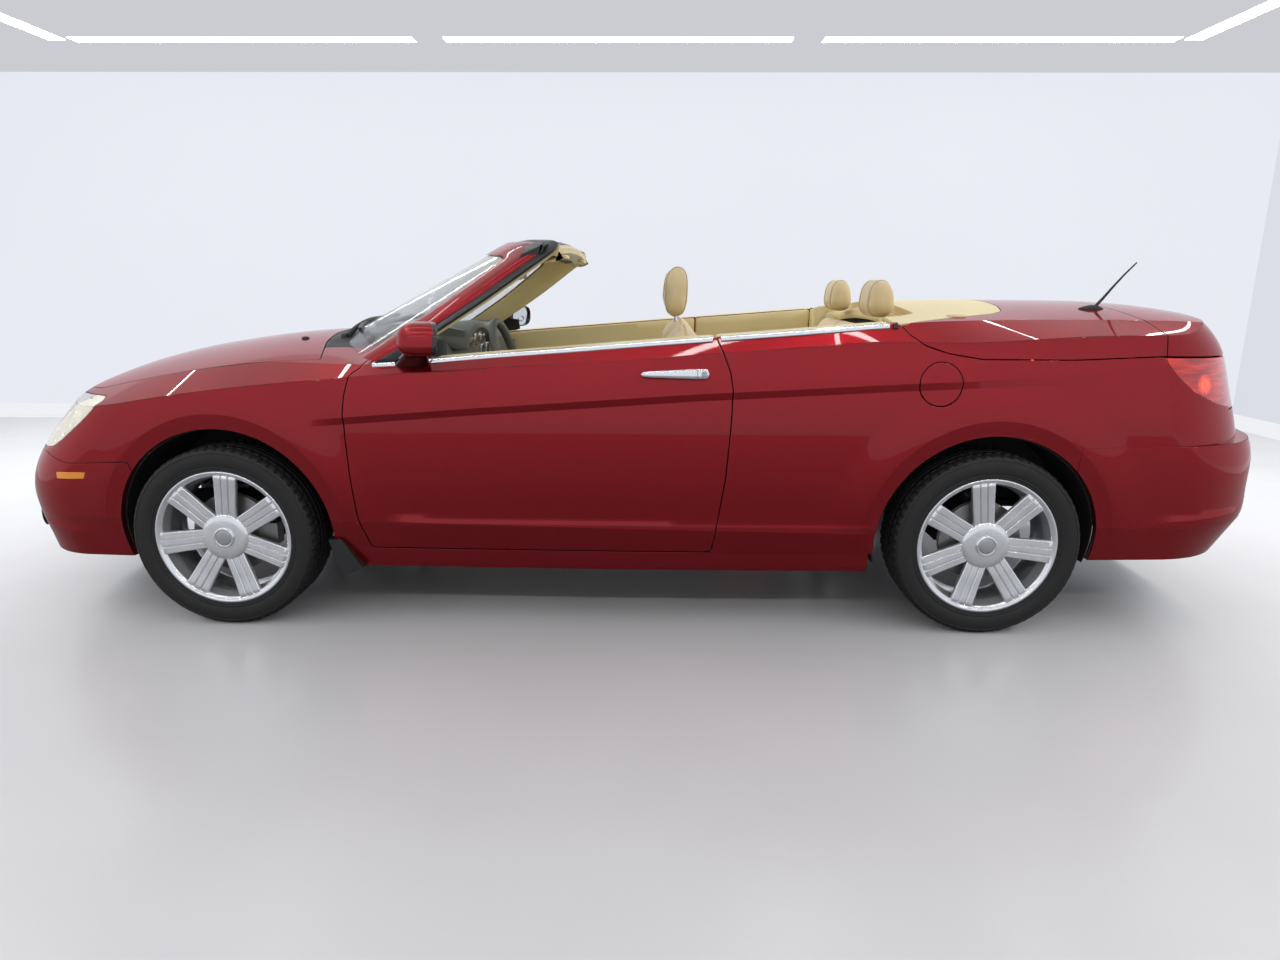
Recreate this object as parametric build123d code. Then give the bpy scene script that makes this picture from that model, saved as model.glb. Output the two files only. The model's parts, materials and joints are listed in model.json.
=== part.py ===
from build123d import *
import os
from math import cos, pi, radians, sin

os.makedirs("parts", exist_ok=True)

# ---------------------------------------------------------------- driving sizes (mm)
# X runs from the nose to the tail, Y from the car's left to its right, Z up from the road.
WHEELBASE = 2765.0
FRONT_AXLE = -1500.0
REAR_AXLE = FRONT_AXLE + WHEELBASE
TRACK = 1570.0
TYRE_RADIUS = 335.0
TYRE_WIDTH = 215.0
RIM_RADIUS = 250.0
RIM_HALF = 98.0
SPOKES = 7
STUDS = 5
STUD_CIRCLE = 57.15
ARCH_RADIUS = 402.0
LINER = 6.0
SKIN = 24.0
WALL = 110.0
SHUT = 5.5
SEAT_GAP = 0.4
CORNER_START = radians(20.0)
CORNER_END = radians(86.5)
NOSE_RADIUS = 1800.0
TAIL_RADIUS = 1600.0
SILL_TOP = 296.0
SILL_BOTTOM = 222.0
LEDGE = 700.0
FLOOR = 205.0
DECK_FLOOR = 400.0
SHEET = 24.0
FRONT_HOUSE_IN = 482.0
REAR_HOUSE_IN = 562.0
FIREWALL = -1060.0
PIN_RADIUS = 12.0
STUB_RADIUS = 20.0
FIT = 0.05
KINGPIN_INSET = 50.0
SEAT_Y = 370.0
COLUMN_ANGLE = 17.0

# Plan outline of the body side by height: height, nose, tail, tail above the bumper, half width.
SIDE_STATIONS = (
    (400.0, 2452.0, 2448.0, 2400.0, 888.0),
    (520.0, 2452.0, 2456.0, 2400.0, 898.0),
    (620.0, 2404.0, 2455.0, 2395.0, 904.0),
    (720.0, 2325.0, 2420.0, 2380.0, 907.0),
    (820.0, 2232.0, 2350.0, 2350.0, 906.0),
    (920.0, 2125.0, 2318.0, 2318.0, 895.0),
    (1040.0, 1975.0, 2270.0, 2270.0, 872.0),
    (1240.0, 1720.0, 2130.0, 2130.0, 820.0),
)
ROCKER_STATIONS = (
    (215.0, 2400.0, 2330.0, 2330.0, 850.0),
    (400.0, 2452.0, 2448.0, 2400.0, 888.0),
)

# Top sections along the car: X, centre height, upper crease Y and Z, shoulder crease Y and Z.
TOP_STATIONS = (
    (-2600.0, 640.0, 600.0, 612.0, 740.0, 570.0),
    (-2250.0, 822.0, 612.0, 790.0, 705.0, 756.0),
    (-2000.0, 940.0, 625.0, 854.0, 735.0, 820.0),
    (-1700.0, 999.0, 665.0, 912.0, 820.0, 856.0),
    (-1350.0, 1036.0, 700.0, 956.0, 858.0, 893.0),
    (-1130.0, 1036.0, 762.0, 958.0, 866.0, 914.0),
    (-920.0, 1030.0, 808.0, 962.0, 872.0, 932.0),
    (-620.0, 1045.0, 818.0, 988.0, 879.0, 953.0),
    (-300.0, 1065.0, 821.0, 1015.0, 883.0, 973.0),
    (0.0, 1087.0, 821.0, 1040.0, 883.0, 990.0),
    (300.0, 1110.0, 820.0, 1064.0, 882.0, 1009.0),
    (620.0, 1139.0, 812.0, 1089.0, 879.0, 1028.0),
    (920.0, 1165.0, 785.0, 1113.0, 870.0, 1044.0),
    (1350.0, 1178.0, 668.0, 1123.0, 850.0, 1059.0),
    (1800.0, 1179.0, 650.0, 1124.0, 812.0, 1079.0),
    (2230.0, 1136.0, 610.0, 1090.0, 720.0, 1060.0),
    (2600.0, 1020.0, 560.0, 985.0, 680.0, 955.0),
)

# Side-view outlines, X and Z.
DOOR_OUTLINE = (
    (-940, 1260), (-968, 949), (-991, 930), (-1008, 867), (-1017, 797), (-1017, 707),
    (-1010, 563), (-997, 412), (-962, 302), (272, 302), (280, 330), (317, 577),
    (323, 661), (332, 795), (334, 892), (324, 952), (302, 1010), (280, 1061), (276, 1260),
)
FENDER_OUTLINE = (
    (-1831, 614), (-2064, 600), (-2194, 631), (-2262, 625), (-2262, 1260), (-880, 1260),
    (-880, SILL_TOP), (-1700, SILL_TOP), (-1800, 500),
)
LAMP_OUTLINE = (
    (-1968, 850), (-2044, 806), (-2121, 752), (-2200, 684), (-2278, 606), (-2650, 606),
    (-2650, 950), (-1968, 950),
)
DECK_OUTLINE = (
    (912, 1290), (916, 1121), (950, 1078), (992, 1047), (1073, 1020), (1190, 1001),
    (1514, 1000), (1828, 1013), (2155, 1006), (2650, 1006), (2650, 1290),
)
TAIL_LAMP_OUTLINE = (
    (1822, 1006), (1880, 938), (1946, 886), (2050, 842), (2156, 818), (2650, 812),
    (2650, 999), (2155, 999),
)
REAR_BUMPER_OUTLINE = (
    (1562, 694), (2076, 702), (2094, 760), (2112, 812), (2156, 812), (2650, 808),
    (2650, 180), (1540, 180),
)

# Plan outlines of the left half, X and distance from the centre line.
HOOD_PLAN = (
    (-2246, 0), (-2238, 180), (-2222, 320), (-2190, 440), (-2130, 550), (-2040, 618),
    (-1700, 660), (-1350, 695), (-1160, 708), (-1180, 640), (-1245, 420), (-1285, 200), (-1298, 0),
)
LAMP_PLAN = (
    (-1900, 900), (-1950, 738), (-2060, 660), (-2150, 582), (-2205, 480), (-2238, 395),
    (-2650, 395), (-2650, 900),
)
COVER_PLAN = (
    (905, 0), (905, 792), (945, 780), (1137, 662), (1330, 545), (1385, 480), (1418, 360),
    (1440, 180), (1447, 0),
)
SEAM = 1832.0


def mirror_y(shape):
    return shape.mirror(Plane.XZ)


def both(shape):
    return Compound(children=[*shape.solids(), *mirror_y(shape).solids()])


def box(x0, x1, y0, y1, z0, z1):
    return Pos((x0 + x1) / 2, (y0 + y1) / 2, (z0 + z1) / 2) * Box(x1 - x0, y1 - y0, z1 - z0)


def side_prism(outline, y0=-1200.0, y1=1200.0, grow=0.0):
    face = Face(Wire.make_polygon([(x, z) for x, z in outline], close=True))
    if grow:
        face = offset(face, grow, kind=Kind.INTERSECTION)
    face = Plane(origin=(0, y0, 0), x_dir=(1, 0, 0), z_dir=(0, -1, 0)) * face
    return extrude(face, y1 - y0, dir=(0, 1, 0))


def plan_prism(outline, z0, z1, grow=0.0, left_only=False):
    points = [(x, -y) for x, y in outline]
    if not left_only:
        points += [(x, y) for x, y in reversed(outline) if y > 0]
    face = Face(Wire.make_polygon(points, close=True))
    if grow:
        face = offset(face, grow, kind=Kind.INTERSECTION)
    return extrude(Pos(0, 0, z0) * face, z1 - z0, dir=(0, 0, 1))


def corner_points(length, width, nose):
    """Ends and middles of the three tangent arcs from the end's centre round to the side."""
    c1, c2, s1, s2 = cos(CORNER_START), cos(CORNER_END), sin(CORNER_START), sin(CORNER_END)
    b1 = length - nose * (1 - c1)
    b2 = width - nose * s1
    det = (c1 - c2) * (1 - s2) - c2 * (s2 - s1)
    corner = (b1 * (1 - s2) - c2 * b2) / det
    flank = ((c1 - c2) * b2 - (s2 - s1) * b1) / det
    angles = (0.0, CORNER_START, CORNER_END, pi / 2)
    x, y = -length, 0.0
    points = [(x, y)]
    for radius, start, end in zip((nose, corner, flank), angles, angles[1:]):
        cx, cy = x + radius * cos(start), y + radius * sin(start)
        for angle in ((start + end) / 2, end):
            x, y = cx - radius * cos(angle), cy - radius * sin(angle)
            points.append((x, y))
    return points


def plan_wire(z, front, rear, width, inset):
    nose = corner_points(front - inset, width - inset, NOSE_RADIUS - inset)
    tail = [(-x, y) for x, y in corner_points(rear - inset, width - inset, TAIL_RADIUS - inset)]
    edges = []
    for side in (-1, 1):
        for points in (nose, tail):
            for i in (0, 2, 4):
                arc = [(points[i + k][0], side * -points[i + k][1], z) for k in range(3)]
                edges.append(Edge.make_three_point_arc(*arc))
    return Wire(edges)


def side_form(inset, ledge=False):
    """Body seen from above at every height, shrunk by the inset."""
    forms = []
    for stations in (SIDE_STATIONS, ROCKER_STATIONS):
        wires = [
            plan_wire(z, front, tail if ledge else upper, width, inset)
            for z, front, tail, upper, width in stations
        ]
        forms.append(Solid.make_loft(wires))
    return forms[0].fuse(forms[1])


def top_form(drop):
    """Body seen from the front at every station, lowered by the drop."""
    wires = []
    for x, centre, yu, zu, ys, zs in TOP_STATIONS:
        fall = (zu - zs) / (ys - yu)
        out = zu - fall * (1150.0 - yu) - drop
        low, up, mid = (x, -1150, 100), (x, -yu, zu - drop), (x, 0, centre - drop)
        edges = [
            Edge.make_line((x, 1150, 100), low),
            Edge.make_line(low, (x, -1150, out)),
            Edge.make_line((x, -1150, out), up),
            Edge.make_three_point_arc(up, mid, (x, yu, zu - drop)),
            Edge.make_line((x, yu, zu - drop), (x, 1150, out)),
            Edge.make_line((x, 1150, out), (x, 1150, 100)),
        ]
        wires.append(Wire(edges))
    return Solid.make_loft(wires)

def solids_of(shape):
    return list(shape.solids())


def write(name, shape):
    solids = solids_of(shape)
    export_step(solids[0] if len(solids) == 1 else Compound(children=solids), "parts/" + name + ".step")
    print(name, len(solids))


def wheel_ring(points):
    """Ring turned about the axle, from radius and distance inboard of the wheel's centre plane."""
    face = Face(Wire.make_polygon([(r, y, 0) for r, y in points], close=True))
    return revolve(face, Axis.Y, 360)


def rod(start, end, radius):
    start, end = Vector(*start), Vector(*end)
    return Solid.make_cylinder(radius, (end - start).length, Plane(origin=start, z_dir=end - start))


# ---------------------------------------------------------------- body forms
outer = side_form(0) & top_form(0)
inner = side_form(SKIN) & top_form(SKIN)
shell = outer - inner
wall = outer - side_form(WALL)
front_shell = shell & box(-2600, -900, -1100, 1100, 100, 1300)
rear_shell = shell & box(250, 2600, -1100, 1100, 100, 1300)
front_inner = inner & box(-2600, -900, -1100, 1100, 100, 1300)
rear_inner = inner & box(250, 2600, -1100, 1100, 100, 1300)

door_gap = side_prism(DOOR_OUTLINE, -1200, 0, SHUT)
front_arch = Pos(FRONT_AXLE, 0, TYRE_RADIUS) * Rot(90, 0, 0) * Cylinder(ARCH_RADIUS, 2400)
rear_arch = Pos(REAR_AXLE, 0, TYRE_RADIUS) * Rot(90, 0, 0) * Cylinder(ARCH_RADIUS, 2400)
hood_gap = plan_prism(HOOD_PLAN, 400, 1300, SHUT)
lamp_zone = side_prism(LAMP_OUTLINE, -1200, 0) & plan_prism(LAMP_PLAN, 500, 1000, left_only=True)
deck_zone = side_prism(DECK_OUTLINE, -1200, 1200)
deck_gap = side_prism(DECK_OUTLINE, -1200, 0, SHUT)
cover_gap = plan_prism(COVER_PLAN, 900, 1300, SHUT)

# ---------------------------------------------------------------- opening panels
door = wall & side_prism(DOOR_OUTLINE, -1200, 0)
hood = front_shell & plan_prism(HOOD_PLAN, 400, 1300)

left_front = front_shell & box(-2600, -900, -1100, 0, 100, 1300)
fender_zone = side_prism(FENDER_OUTLINE, -1200, -420)
fender = (left_front & fender_zone) - lamp_zone - hood_gap - front_arch - door_gap
fender = fender - box(-1240, -880, -735, 0, 300, 1300)
left_bumper = left_front - fender_zone - lamp_zone - hood_gap - front_arch
left_bumper = left_bumper - box(-1790, -800, -1200, 0, 100, 1300) - box(-2600, -800, -1200, 1, 100, 236)
lamp = (outer & box(-2600, -1900, -1100, 0, 500, 1000) & lamp_zone) - side_form(75) - hood_gap
lamp = lamp & box(-2600, -1900, -1100, 0, 500, 1000)

grille_mouth = Pos(-2400, 0, 0) * extrude(
    Plane(origin=(0, 0, 0), x_dir=(0, 1, 0), z_dir=(1, 0, 0))
    * make_face(Polyline((-370, 585), (370, 585), (330, 735), (-330, 735), close=True)),
    400,
    both=True,
)
lower_mouth = Pos(-2400, 0, 0) * extrude(
    Plane(origin=(0, 0, 0), x_dir=(0, 1, 0), z_dir=(1, 0, 0))
    * make_face(Polyline((-430, 300), (430, 300), (400, 420), (-400, 420), close=True)),
    400,
    both=True,
)
bumper_left = left_bumper - grille_mouth - lower_mouth
front_bumper = bumper_left.fuse(mirror_y(bumper_left))

bars = [box(-2600, -2200, -380, 380, z, z + 12) for z in range(598, 735, 26)]
lower_bars = [box(-2600, -2200, -440, 440, z, z + 10) for z in range(316, 420, 28)]
slats = [box(-2600, -2200, y - 5, y + 5, 300, 740) for y in (-270, -135, 0, 135, 270)]
grille_band = (side_form(10) - side_form(34)) & top_form(10) & box(-2600, -2200, -450, 450, 290, 745)
grille_bits = bars + lower_bars + slats
lattice = grille_bits[0].fuse(*grille_bits[1:])
grille = (grille_band & lattice).intersect(grille_mouth.fuse(lower_mouth))

quarter_zone = side_prism(
    (
        (262, SILL_TOP), (262, 1290), (912, 1290), *DECK_OUTLINE[1:8], *TAIL_LAMP_OUTLINE[:5],
        (2112, 812), (2094, 760), (2076, 702), (1562, 694), (1540, SILL_TOP),
    ),
    -1200,
    0,
)
quarter_wall = wall & box(250, 960, -1100, 0, 100, 1300) & quarter_zone
quarter_skin = rear_shell & box(950, 2600, -1100, 0, 100, 1300) & quarter_zone
quarter = quarter_wall.fuse(quarter_skin) - door_gap - rear_arch - plan_prism(COVER_PLAN, 900, 1300) - deck_gap
for x in (1400, 1700):
    stop_top = 1000 + max(0, (x - 1514) * 13 / 314) - SEAT_GAP
    quarter = quarter.fuse((side_form(8) - side_form(60)) & box(x, x + 30, -1000, 0, 950, stop_top))
quarter_left = quarter

tail_zone = side_prism(TAIL_LAMP_OUTLINE, -1200, 0) & box(1800, 2600, -1100, -540, 700, 1100)
tail_lamp = (outer & box(1800, 2600, -1100, -540, 700, 1100) & tail_zone) - side_form(60) - deck_gap

lid_face = box(2000, 2650, -534, 534, 772, 1006)
deck_cut = deck_zone.fuse(lid_face)
deck_skin = (rear_shell & deck_cut) - cover_gap
tonneau = deck_skin & box(880, SEAM, -1200, 1200, 600, 1300)
lid = deck_skin & box(SEAM + SHUT, 2650, -1200, 1200, 600, 1300)
for y in (-500, 440):
    root = (top_form(SKIN - 4) - top_form(SKIN + 14)) & box(SEAM - 60, SEAM, y, y + 60, 900, 1300)
    tongue = (top_form(SKIN + SEAT_GAP) - top_form(SKIN + 14)) & box(SEAM - 2, SEAM + 70, y, y + 60, 900, 1300)
    tonneau = tonneau.fuse(root, tongue)

ledge_outer = side_form(0, ledge=True) & box(1500, 2600, -1100, 1100, 268, LEDGE)
ledge_inner = side_form(SKIN, ledge=True) & box(1500, 2600, -1100, 1100, 100, LEDGE - SKIN)
bumper_zone = side_prism(REAR_BUMPER_OUTLINE)
upper_back = rear_shell & box(2000, 2600, -1100, 1100, LEDGE, 765) & bumper_zone
upper_corner = rear_shell & box(2000, 2600, -1100, 1100, 765, 812) & bumper_zone - box(1900, 2650, -539.5, 539.5, 765, 900)
shelf = box(2240, 2420, -700, 700, LEDGE - SKIN, LEDGE) & side_form(SKIN, ledge=True)
boot_mouth = side_form(WALL) & box(1500, 2600, -1100, 1100, LEDGE - SKIN - 20, LEDGE + 20)
rear_bumper = (ledge_outer & bumper_zone) - ledge_inner - rear_arch - boot_mouth
rear_bumper = rear_bumper.fuse(upper_back, *solids_of(upper_corner), shelf)
rear_bumper = rear_bumper - box(2438, 2600, -165, 165, 480, 640)
for side in (-1, 1):
    rear_bumper = rear_bumper - rod((2380, side * 88.9, 600), (2500, side * 88.9, 600), 3.5)

rest_notch = plan_prism(((880, 0), (880, 640), (965, 630), (1030, 568), (1030, 0)), 900, 1300)
cover = (rear_shell & plan_prism(COVER_PLAN, 900, 1300)) - rest_notch

sill = outer & box(-1100, 850, -1100, -700, SILL_BOTTOM, SILL_TOP)
sill = sill - front_arch - rear_arch

# ---------------------------------------------------------------- windscreen
RAKE = 0.543
BOW = 0.00074
SCREEN_X = -932.0
SCREEN_Z = 1211.0


def behind_screen(shift):
    """Everything behind the windscreen's curved, raked surface, moved back by the shift."""
    z0, half = 560.0, 850.0
    x0 = SCREEN_X + (z0 - SCREEN_Z) / RAKE + shift
    sag = BOW * half * half
    front = Edge.make_bezier((x0 + sag, -half, z0), (x0 - sag, 0, z0), (x0 + sag, half, z0))
    back = [(x0 + sag, half, z0), (x0 + 1500, half, z0), (x0 + 1500, -half, z0), (x0 + sag, -half, z0)]
    edges = [front] + [Edge.make_line(a, b) for a, b in zip(back, back[1:])]
    rise = 940.0
    return Solid.extrude(Face(Wire(edges)), (rise / RAKE, 0, rise))


def front_prism(outline, x0=-1600.0, x1=0.0):
    points = [(-y, z) for y, z in outline] + [(y, z) for y, z in reversed(outline) if y > 0]
    face = Plane(origin=(x0, 0, 0), x_dir=(0, 1, 0), z_dir=(1, 0, 0)) * Face(Wire.make_polygon(points, close=True))
    return extrude(face, x1 - x0, dir=(1, 0, 0))


FRAME_OUTER = ((751, 880), (751, 973), (692, 1184), (606, 1362), (540, 1392), (300, 1404), (0, 1408))
FRAME_INNER = ((712, 880), (709, 973), (645, 1184), (556, 1346), (500, 1364), (300, 1374), (0, 1378))
HEADER_BACK = -262.0
HEADER_UNDER = 1350.0

behind = behind_screen(0)
roof = top_form(-SEAT_GAP)
frame_full = front_prism(FRAME_OUTER)
glass_zone = front_prism(FRAME_INNER)
frame = ((behind - behind_screen(90)) & frame_full) - glass_zone
header = (behind & frame_full & box(-900, HEADER_BACK, -640, 640, HEADER_UNDER, 1420)) - (glass_zone - behind_screen(24))
frame = frame.fuse(header) - roof
screen = ((behind_screen(6) - behind_screen(18)) & glass_zone) - roof

COWL_PLAN = (
    (-1292, 0), (-1279, 200), (-1239, 420), (-1173, 645), (-1153, 735), (-905, 735),
    (-960, 600), (-1065, 450), (-1160, 250), (-1205, 0),
)
cowl = (front_shell & plan_prism(COWL_PLAN, 800, 1300)) - hood_gap

# ---------------------------------------------------------------- inner structure
front_frame = (box(FIREWALL - 30, FIREWALL, -900, 900, FLOOR + SHEET, 1100) & front_inner)
front_frame = front_frame - box(FIREWALL - 40, FIREWALL + 10, -900, -FRONT_HOUSE_IN, 100, 330) - box(
    FIREWALL - 40, FIREWALL + 10, FRONT_HOUSE_IN, 900, 100, 330
)
support = (box(-2140, -2112, -585, 585, 300, 740) & front_inner) - box(-2200, -2100, -330, 330, 340, 700)
rails = [box(-2120, FIREWALL - 20, s - 38, s + 38, 300, 400) for s in (-438, 438)]
cans = [box(-2460, -2130, s - 38, s + 38, 430, 500) & front_inner for s in (-438, 438)]
posts = [rod((-2126, y, 700), (-2126, y, 1000), 12) & top_form(SKIN + SEAT_GAP) for y in (-430, 430)]
pillars = []
for z in (430, 720):
    bracket = box(FIREWALL - 10, -985, -862, -790, z, z + 60) & front_inner
    bracket = bracket - side_prism(DOOR_OUTLINE, -1200, 0, SEAT_GAP)
    pillars += solids_of(both(bracket))
front_frame = front_frame.fuse(support, *rails, *cans, *posts, *pillars)

floor_pan = box(FIREWALL - 30, 404, -700, 700, FLOOR, FLOOR + SHEET)
riser = box(380, 404, -700, 700, FLOOR + SHEET, DECK_FLOOR)
tunnel = box(FIREWALL, 380, -110, 110, FLOOR + SHEET, 330) - box(FIREWALL - 40, 360, -90, 90, 100, 310)
tunnel_cut = box(FIREWALL - 40, 410, -90, 90, 100, 310)
floor_pan = floor_pan.fuse(riser, tunnel) - tunnel_cut
front_frame = front_frame - tunnel_cut

rear_frame = box(380, 2250, -REAR_HOUSE_IN, REAR_HOUSE_IN, DECK_FLOOR, DECK_FLOOR + SHEET)
seat_floor = box(380, 870, -700, 700, DECK_FLOOR, DECK_FLOOR + SHEET) - rear_arch
boot_sides = (box(1660, 2250, -860, 860, DECK_FLOOR, DECK_FLOOR + SHEET) & rear_inner) - rear_arch
bulkhead = (box(1020, 1044, -REAR_HOUSE_IN, REAR_HOUSE_IN, DECK_FLOOR, 1250) & rear_inner)
back_panel = (box(2240, 2264, -780, 780, DECK_FLOOR, LEDGE - SKIN) & side_form(SKIN))
rear_frame = rear_frame.fuse(seat_floor, boot_sides, bulkhead, back_panel)

houses = []
for axle, inside in ((FRONT_AXLE, FRONT_HOUSE_IN), (REAR_AXLE, REAR_HOUSE_IN)):
    arch = Pos(axle, 0, TYRE_RADIUS) * Rot(90, 0, 0) * Cylinder(ARCH_RADIUS, 2400)
    hole = Pos(axle, 0, TYRE_RADIUS) * Rot(90, 0, 0) * Cylinder(ARCH_RADIUS - LINER, 2400)
    zone = box(axle - 500, axle + 500, -895, -inside, 250, 800)
    tube = (arch - hole) & zone
    web = arch & box(axle - 500, axle + 500, -inside - LINER, -inside, 440, 800)
    house = tube.fuse(web) & inner
    houses.append(house)

# ---------------------------------------------------------------- wheels at the origin, outboard is -Y
rim = wheel_ring(
    (
        (RIM_RADIUS, -RIM_HALF), (RIM_RADIUS, RIM_HALF), (RIM_RADIUS - 20, RIM_HALF),
        (RIM_RADIUS - 20, 8 - RIM_HALF), (RIM_RADIUS - 12, -RIM_HALF),
    )
)
tyre = wheel_ring(
    (
        (RIM_RADIUS, -RIM_HALF), (TYRE_RADIUS - 37, -TYRE_WIDTH / 2),
        (TYRE_RADIUS - 9, 8.5 - TYRE_WIDTH / 2), (TYRE_RADIUS, 27.5 - TYRE_WIDTH / 2),
        (TYRE_RADIUS, TYRE_WIDTH / 2 - 27.5), (TYRE_RADIUS - 9, TYRE_WIDTH / 2 - 8.5),
        (TYRE_RADIUS - 37, TYRE_WIDTH / 2), (RIM_RADIUS, RIM_HALF),
    )
)
hub_plate = Pos(0, -72, 0) * Rot(90, 0, 0) * Cylinder(76, 28)
pieces = [hub_plate]
for k in range(SPOKES):
    spoke = make_face(Polyline((40, -27), (RIM_RADIUS - 15, -41), (RIM_RADIUS - 15, 41), (40, 27), close=True))
    bar = extrude(Plane(origin=(0, -62, 0), x_dir=(1, 0, 0), z_dir=(0, -1, 0)) * spoke, 26)
    for off in (-13, 13):
        groove = Pos(150, -88, off) * Box(170, 8, 7)
        bar = bar - groove
    pieces.append(Rot(0, k * 360 / SPOKES, 0) * bar)
rim = rim.fuse(*pieces)
rim = rim - Pos(0, -70, 0) * Rot(90, 0, 0) * Cylinder(30, 80)
cap = Pos(0, -76, 0) * Rot(90, 0, 0) * Cylinder(30, 30)
for k in range(STUDS):
    angle = radians(k * 360 / STUDS + 18)
    rim = rim - Pos(STUD_CIRCLE * cos(angle), -80, STUD_CIRCLE * sin(angle)) * Rot(90, 0, 0) * Cylinder(11, 14)
rim = rim.fuse(cap)

disc = Pos(0, -10, 0) * Rot(90, 0, 0) * Cylinder(148, 24)
hub = Pos(0, -30, 0) * Rot(90, 0, 0) * Cylinder(70, 56)
hub = hub.fuse(disc)
hub = hub - Pos(0, -14, 0) * Rot(90, 0, 0) * Cylinder(STUB_RADIUS + FIT, 60)

caliper = box(-40, 40, -34, -27, 100, 172).fuse(box(-40, 40, -34, 14, 154, 172), box(-40, 40, 7, 14, 60, 172))
caliper = Rot(0, 90, 0) * caliper

knuckle = Pos(0, KINGPIN_INSET, 0) * Cylinder(28, 170)
plate = Pos(0, KINGPIN_INSET - 16, 0) * Rot(90, 0, 0) * Cylinder(60, 20)
stub = Pos(0, 8, 0) * Rot(90, 0, 0) * Cylinder(STUB_RADIUS, 60)
knuckle = knuckle.fuse(plate, stub, Rot(0, 90, 0) * box(-25, 25, 7, KINGPIN_INSET - 20, 30, 100), caliper)
knuckle = knuckle - Pos(0, KINGPIN_INSET, 0) * Cylinder(PIN_RADIUS + FIT, 240)

# ---------------------------------------------------------------- suspension
pin_y = TRACK / 2 - KINGPIN_INSET
beam = box(FRONT_AXLE - 80, FRONT_AXLE + 80, -FRONT_HOUSE_IN + 20, FRONT_HOUSE_IN - 20, 222, 300)
front_suspension = beam
liner_hole = Pos(FRONT_AXLE, 0, TYRE_RADIUS) * Rot(90, 0, 0) * Cylinder(ARCH_RADIUS - LINER, 2400)
rear_hole = Pos(REAR_AXLE, 0, TYRE_RADIUS) * Rot(90, 0, 0) * Cylinder(ARCH_RADIUS - LINER, 2400)
for side in (-1, 1):
    lower = box(FRONT_AXLE - 32, FRONT_AXLE + 32, -pin_y, -440, 222, 242)
    eye = Pos(FRONT_AXLE, -pin_y, 232) * Cylinder(32, 20)
    upper = box(FRONT_AXLE - 20, FRONT_AXLE + 20, -pin_y, -590, 428, 448)
    cap_eye = Pos(FRONT_AXLE, -pin_y, 438) * Cylinder(22, 20)
    pin = Pos(FRONT_AXLE, -pin_y, 335) * Cylinder(PIN_RADIUS, 226)
    strut = (Pos(FRONT_AXLE, -600, 620) * Cylinder(25, 384)) & liner_hole
    arm = lower.fuse(eye, upper, cap_eye, pin, strut)
    front_suspension = front_suspension.fuse(arm if side < 0 else mirror_y(arm))

rear_suspension = box(REAR_AXLE - 70, REAR_AXLE + 70, -540, 540, 250, 330)
for side in (-1, 1):
    arm = box(REAR_AXLE - 30, REAR_AXLE + 30, -700, -500, 290, 325)
    upright = box(REAR_AXLE - 45, REAR_AXLE + 45, -735, -700, 250, 420)
    axle = Pos(REAR_AXLE, -770, TYRE_RADIUS) * Rot(90, 0, 0) * Cylinder(STUB_RADIUS, 80)
    strut = (Pos(REAR_AXLE, -625, 520) * Cylinder(25, 460)) & rear_hole
    arm = arm.fuse(upright, axle, strut)
    rear_suspension = rear_suspension.fuse(arm if side < 0 else mirror_y(arm))
mount_posts = box(REAR_AXLE - 60, REAR_AXLE + 60, -480, -400, 330, DECK_FLOOR)
rear_suspension = rear_suspension.fuse(mount_posts, mirror_y(mount_posts))

engine = box(-1900, -1350, -400, 400, 300, 460).fuse(box(-1880, -1400, -330, 330, 460, 850))
fuel_tank = box(430, 860, -520, -60, 230, DECK_FLOOR)
route = ((-1340, 0, 320), (-1160, 0, 240), (420, 0, 240), (760, 300, 222), (1500, 300, 222), (1760, 320, 300))
exhaust = rod(route[0], route[1], 25)
for start, end in zip(route[1:], route[2:]):
    exhaust = exhaust.fuse(rod(start, end, 25), Pos(*start) * Sphere(25))
muffler = box(1700, 2150, 120, 520, 262, DECK_FLOOR)
exhaust = exhaust.fuse(muffler, box(-500, -480, -12, 12, 250, 310)) - engine

# ---------------------------------------------------------------- cabin
dash = side_prism(
    (
        (-1225, 1052), (-1225, 1040), (FIREWALL, 1040), (FIREWALL, 610), (-860, 600), (-740, 690),
        (-700, 900), (-700, 985), (-735, 1045), (-880, 1052),
    ),
    -735,
    735,
)
console_block = side_prism(((-860, 330), (-860, 700), (-700, 690), (-640, 500), (-300, 470), (150, 520), (150, 330)), -105, 105)
pod = side_prism(((-800, 1040), (-700, 1000), (-655, 1000), (-662, 1068), (-740, 1082), (-800, 1075)), -SEAT_Y - 190, -SEAT_Y + 190)
DASH_PLAN = ((-1185, 0), (-1165, 150), (-1100, 320), (-1010, 470), (-925, 580), (-850, 672), (-600, 672), (-600, 0))
dash = dash.fuse(pod) & plan_prism(DASH_PLAN, 500, 1150)
dash = dash.fuse(console_block)

wheel_centre = (-525.0, -SEAT_Y, 925.0)
column = Plane(origin=wheel_centre, x_dir=(0, 1, 0), z_dir=(cos(radians(COLUMN_ANGLE)), 0, sin(radians(COLUMN_ANGLE))))
ring = Solid.make_torus(176, 15)
boss = Pos(0, 0, -12) * Cylinder(72, 46)
steer = ring.fuse(boss)
for angle in (0, 180, 270):
    steer = steer.fuse(Rot(0, 0, angle) * Pos(115, 0, -6) * Box(110, 34, 18))
shaft = Pos(0, 0, -85) * Cylinder(16, 110)
steer = column.location * steer.fuse(shaft)
column_tube = column.location * (Pos(0, 0, -180) * Cylinder(42, 170) - Pos(0, 0, -120) * Cylinder(16 + FIT, 60))
dash = dash.fuse(column_tube)


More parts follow.
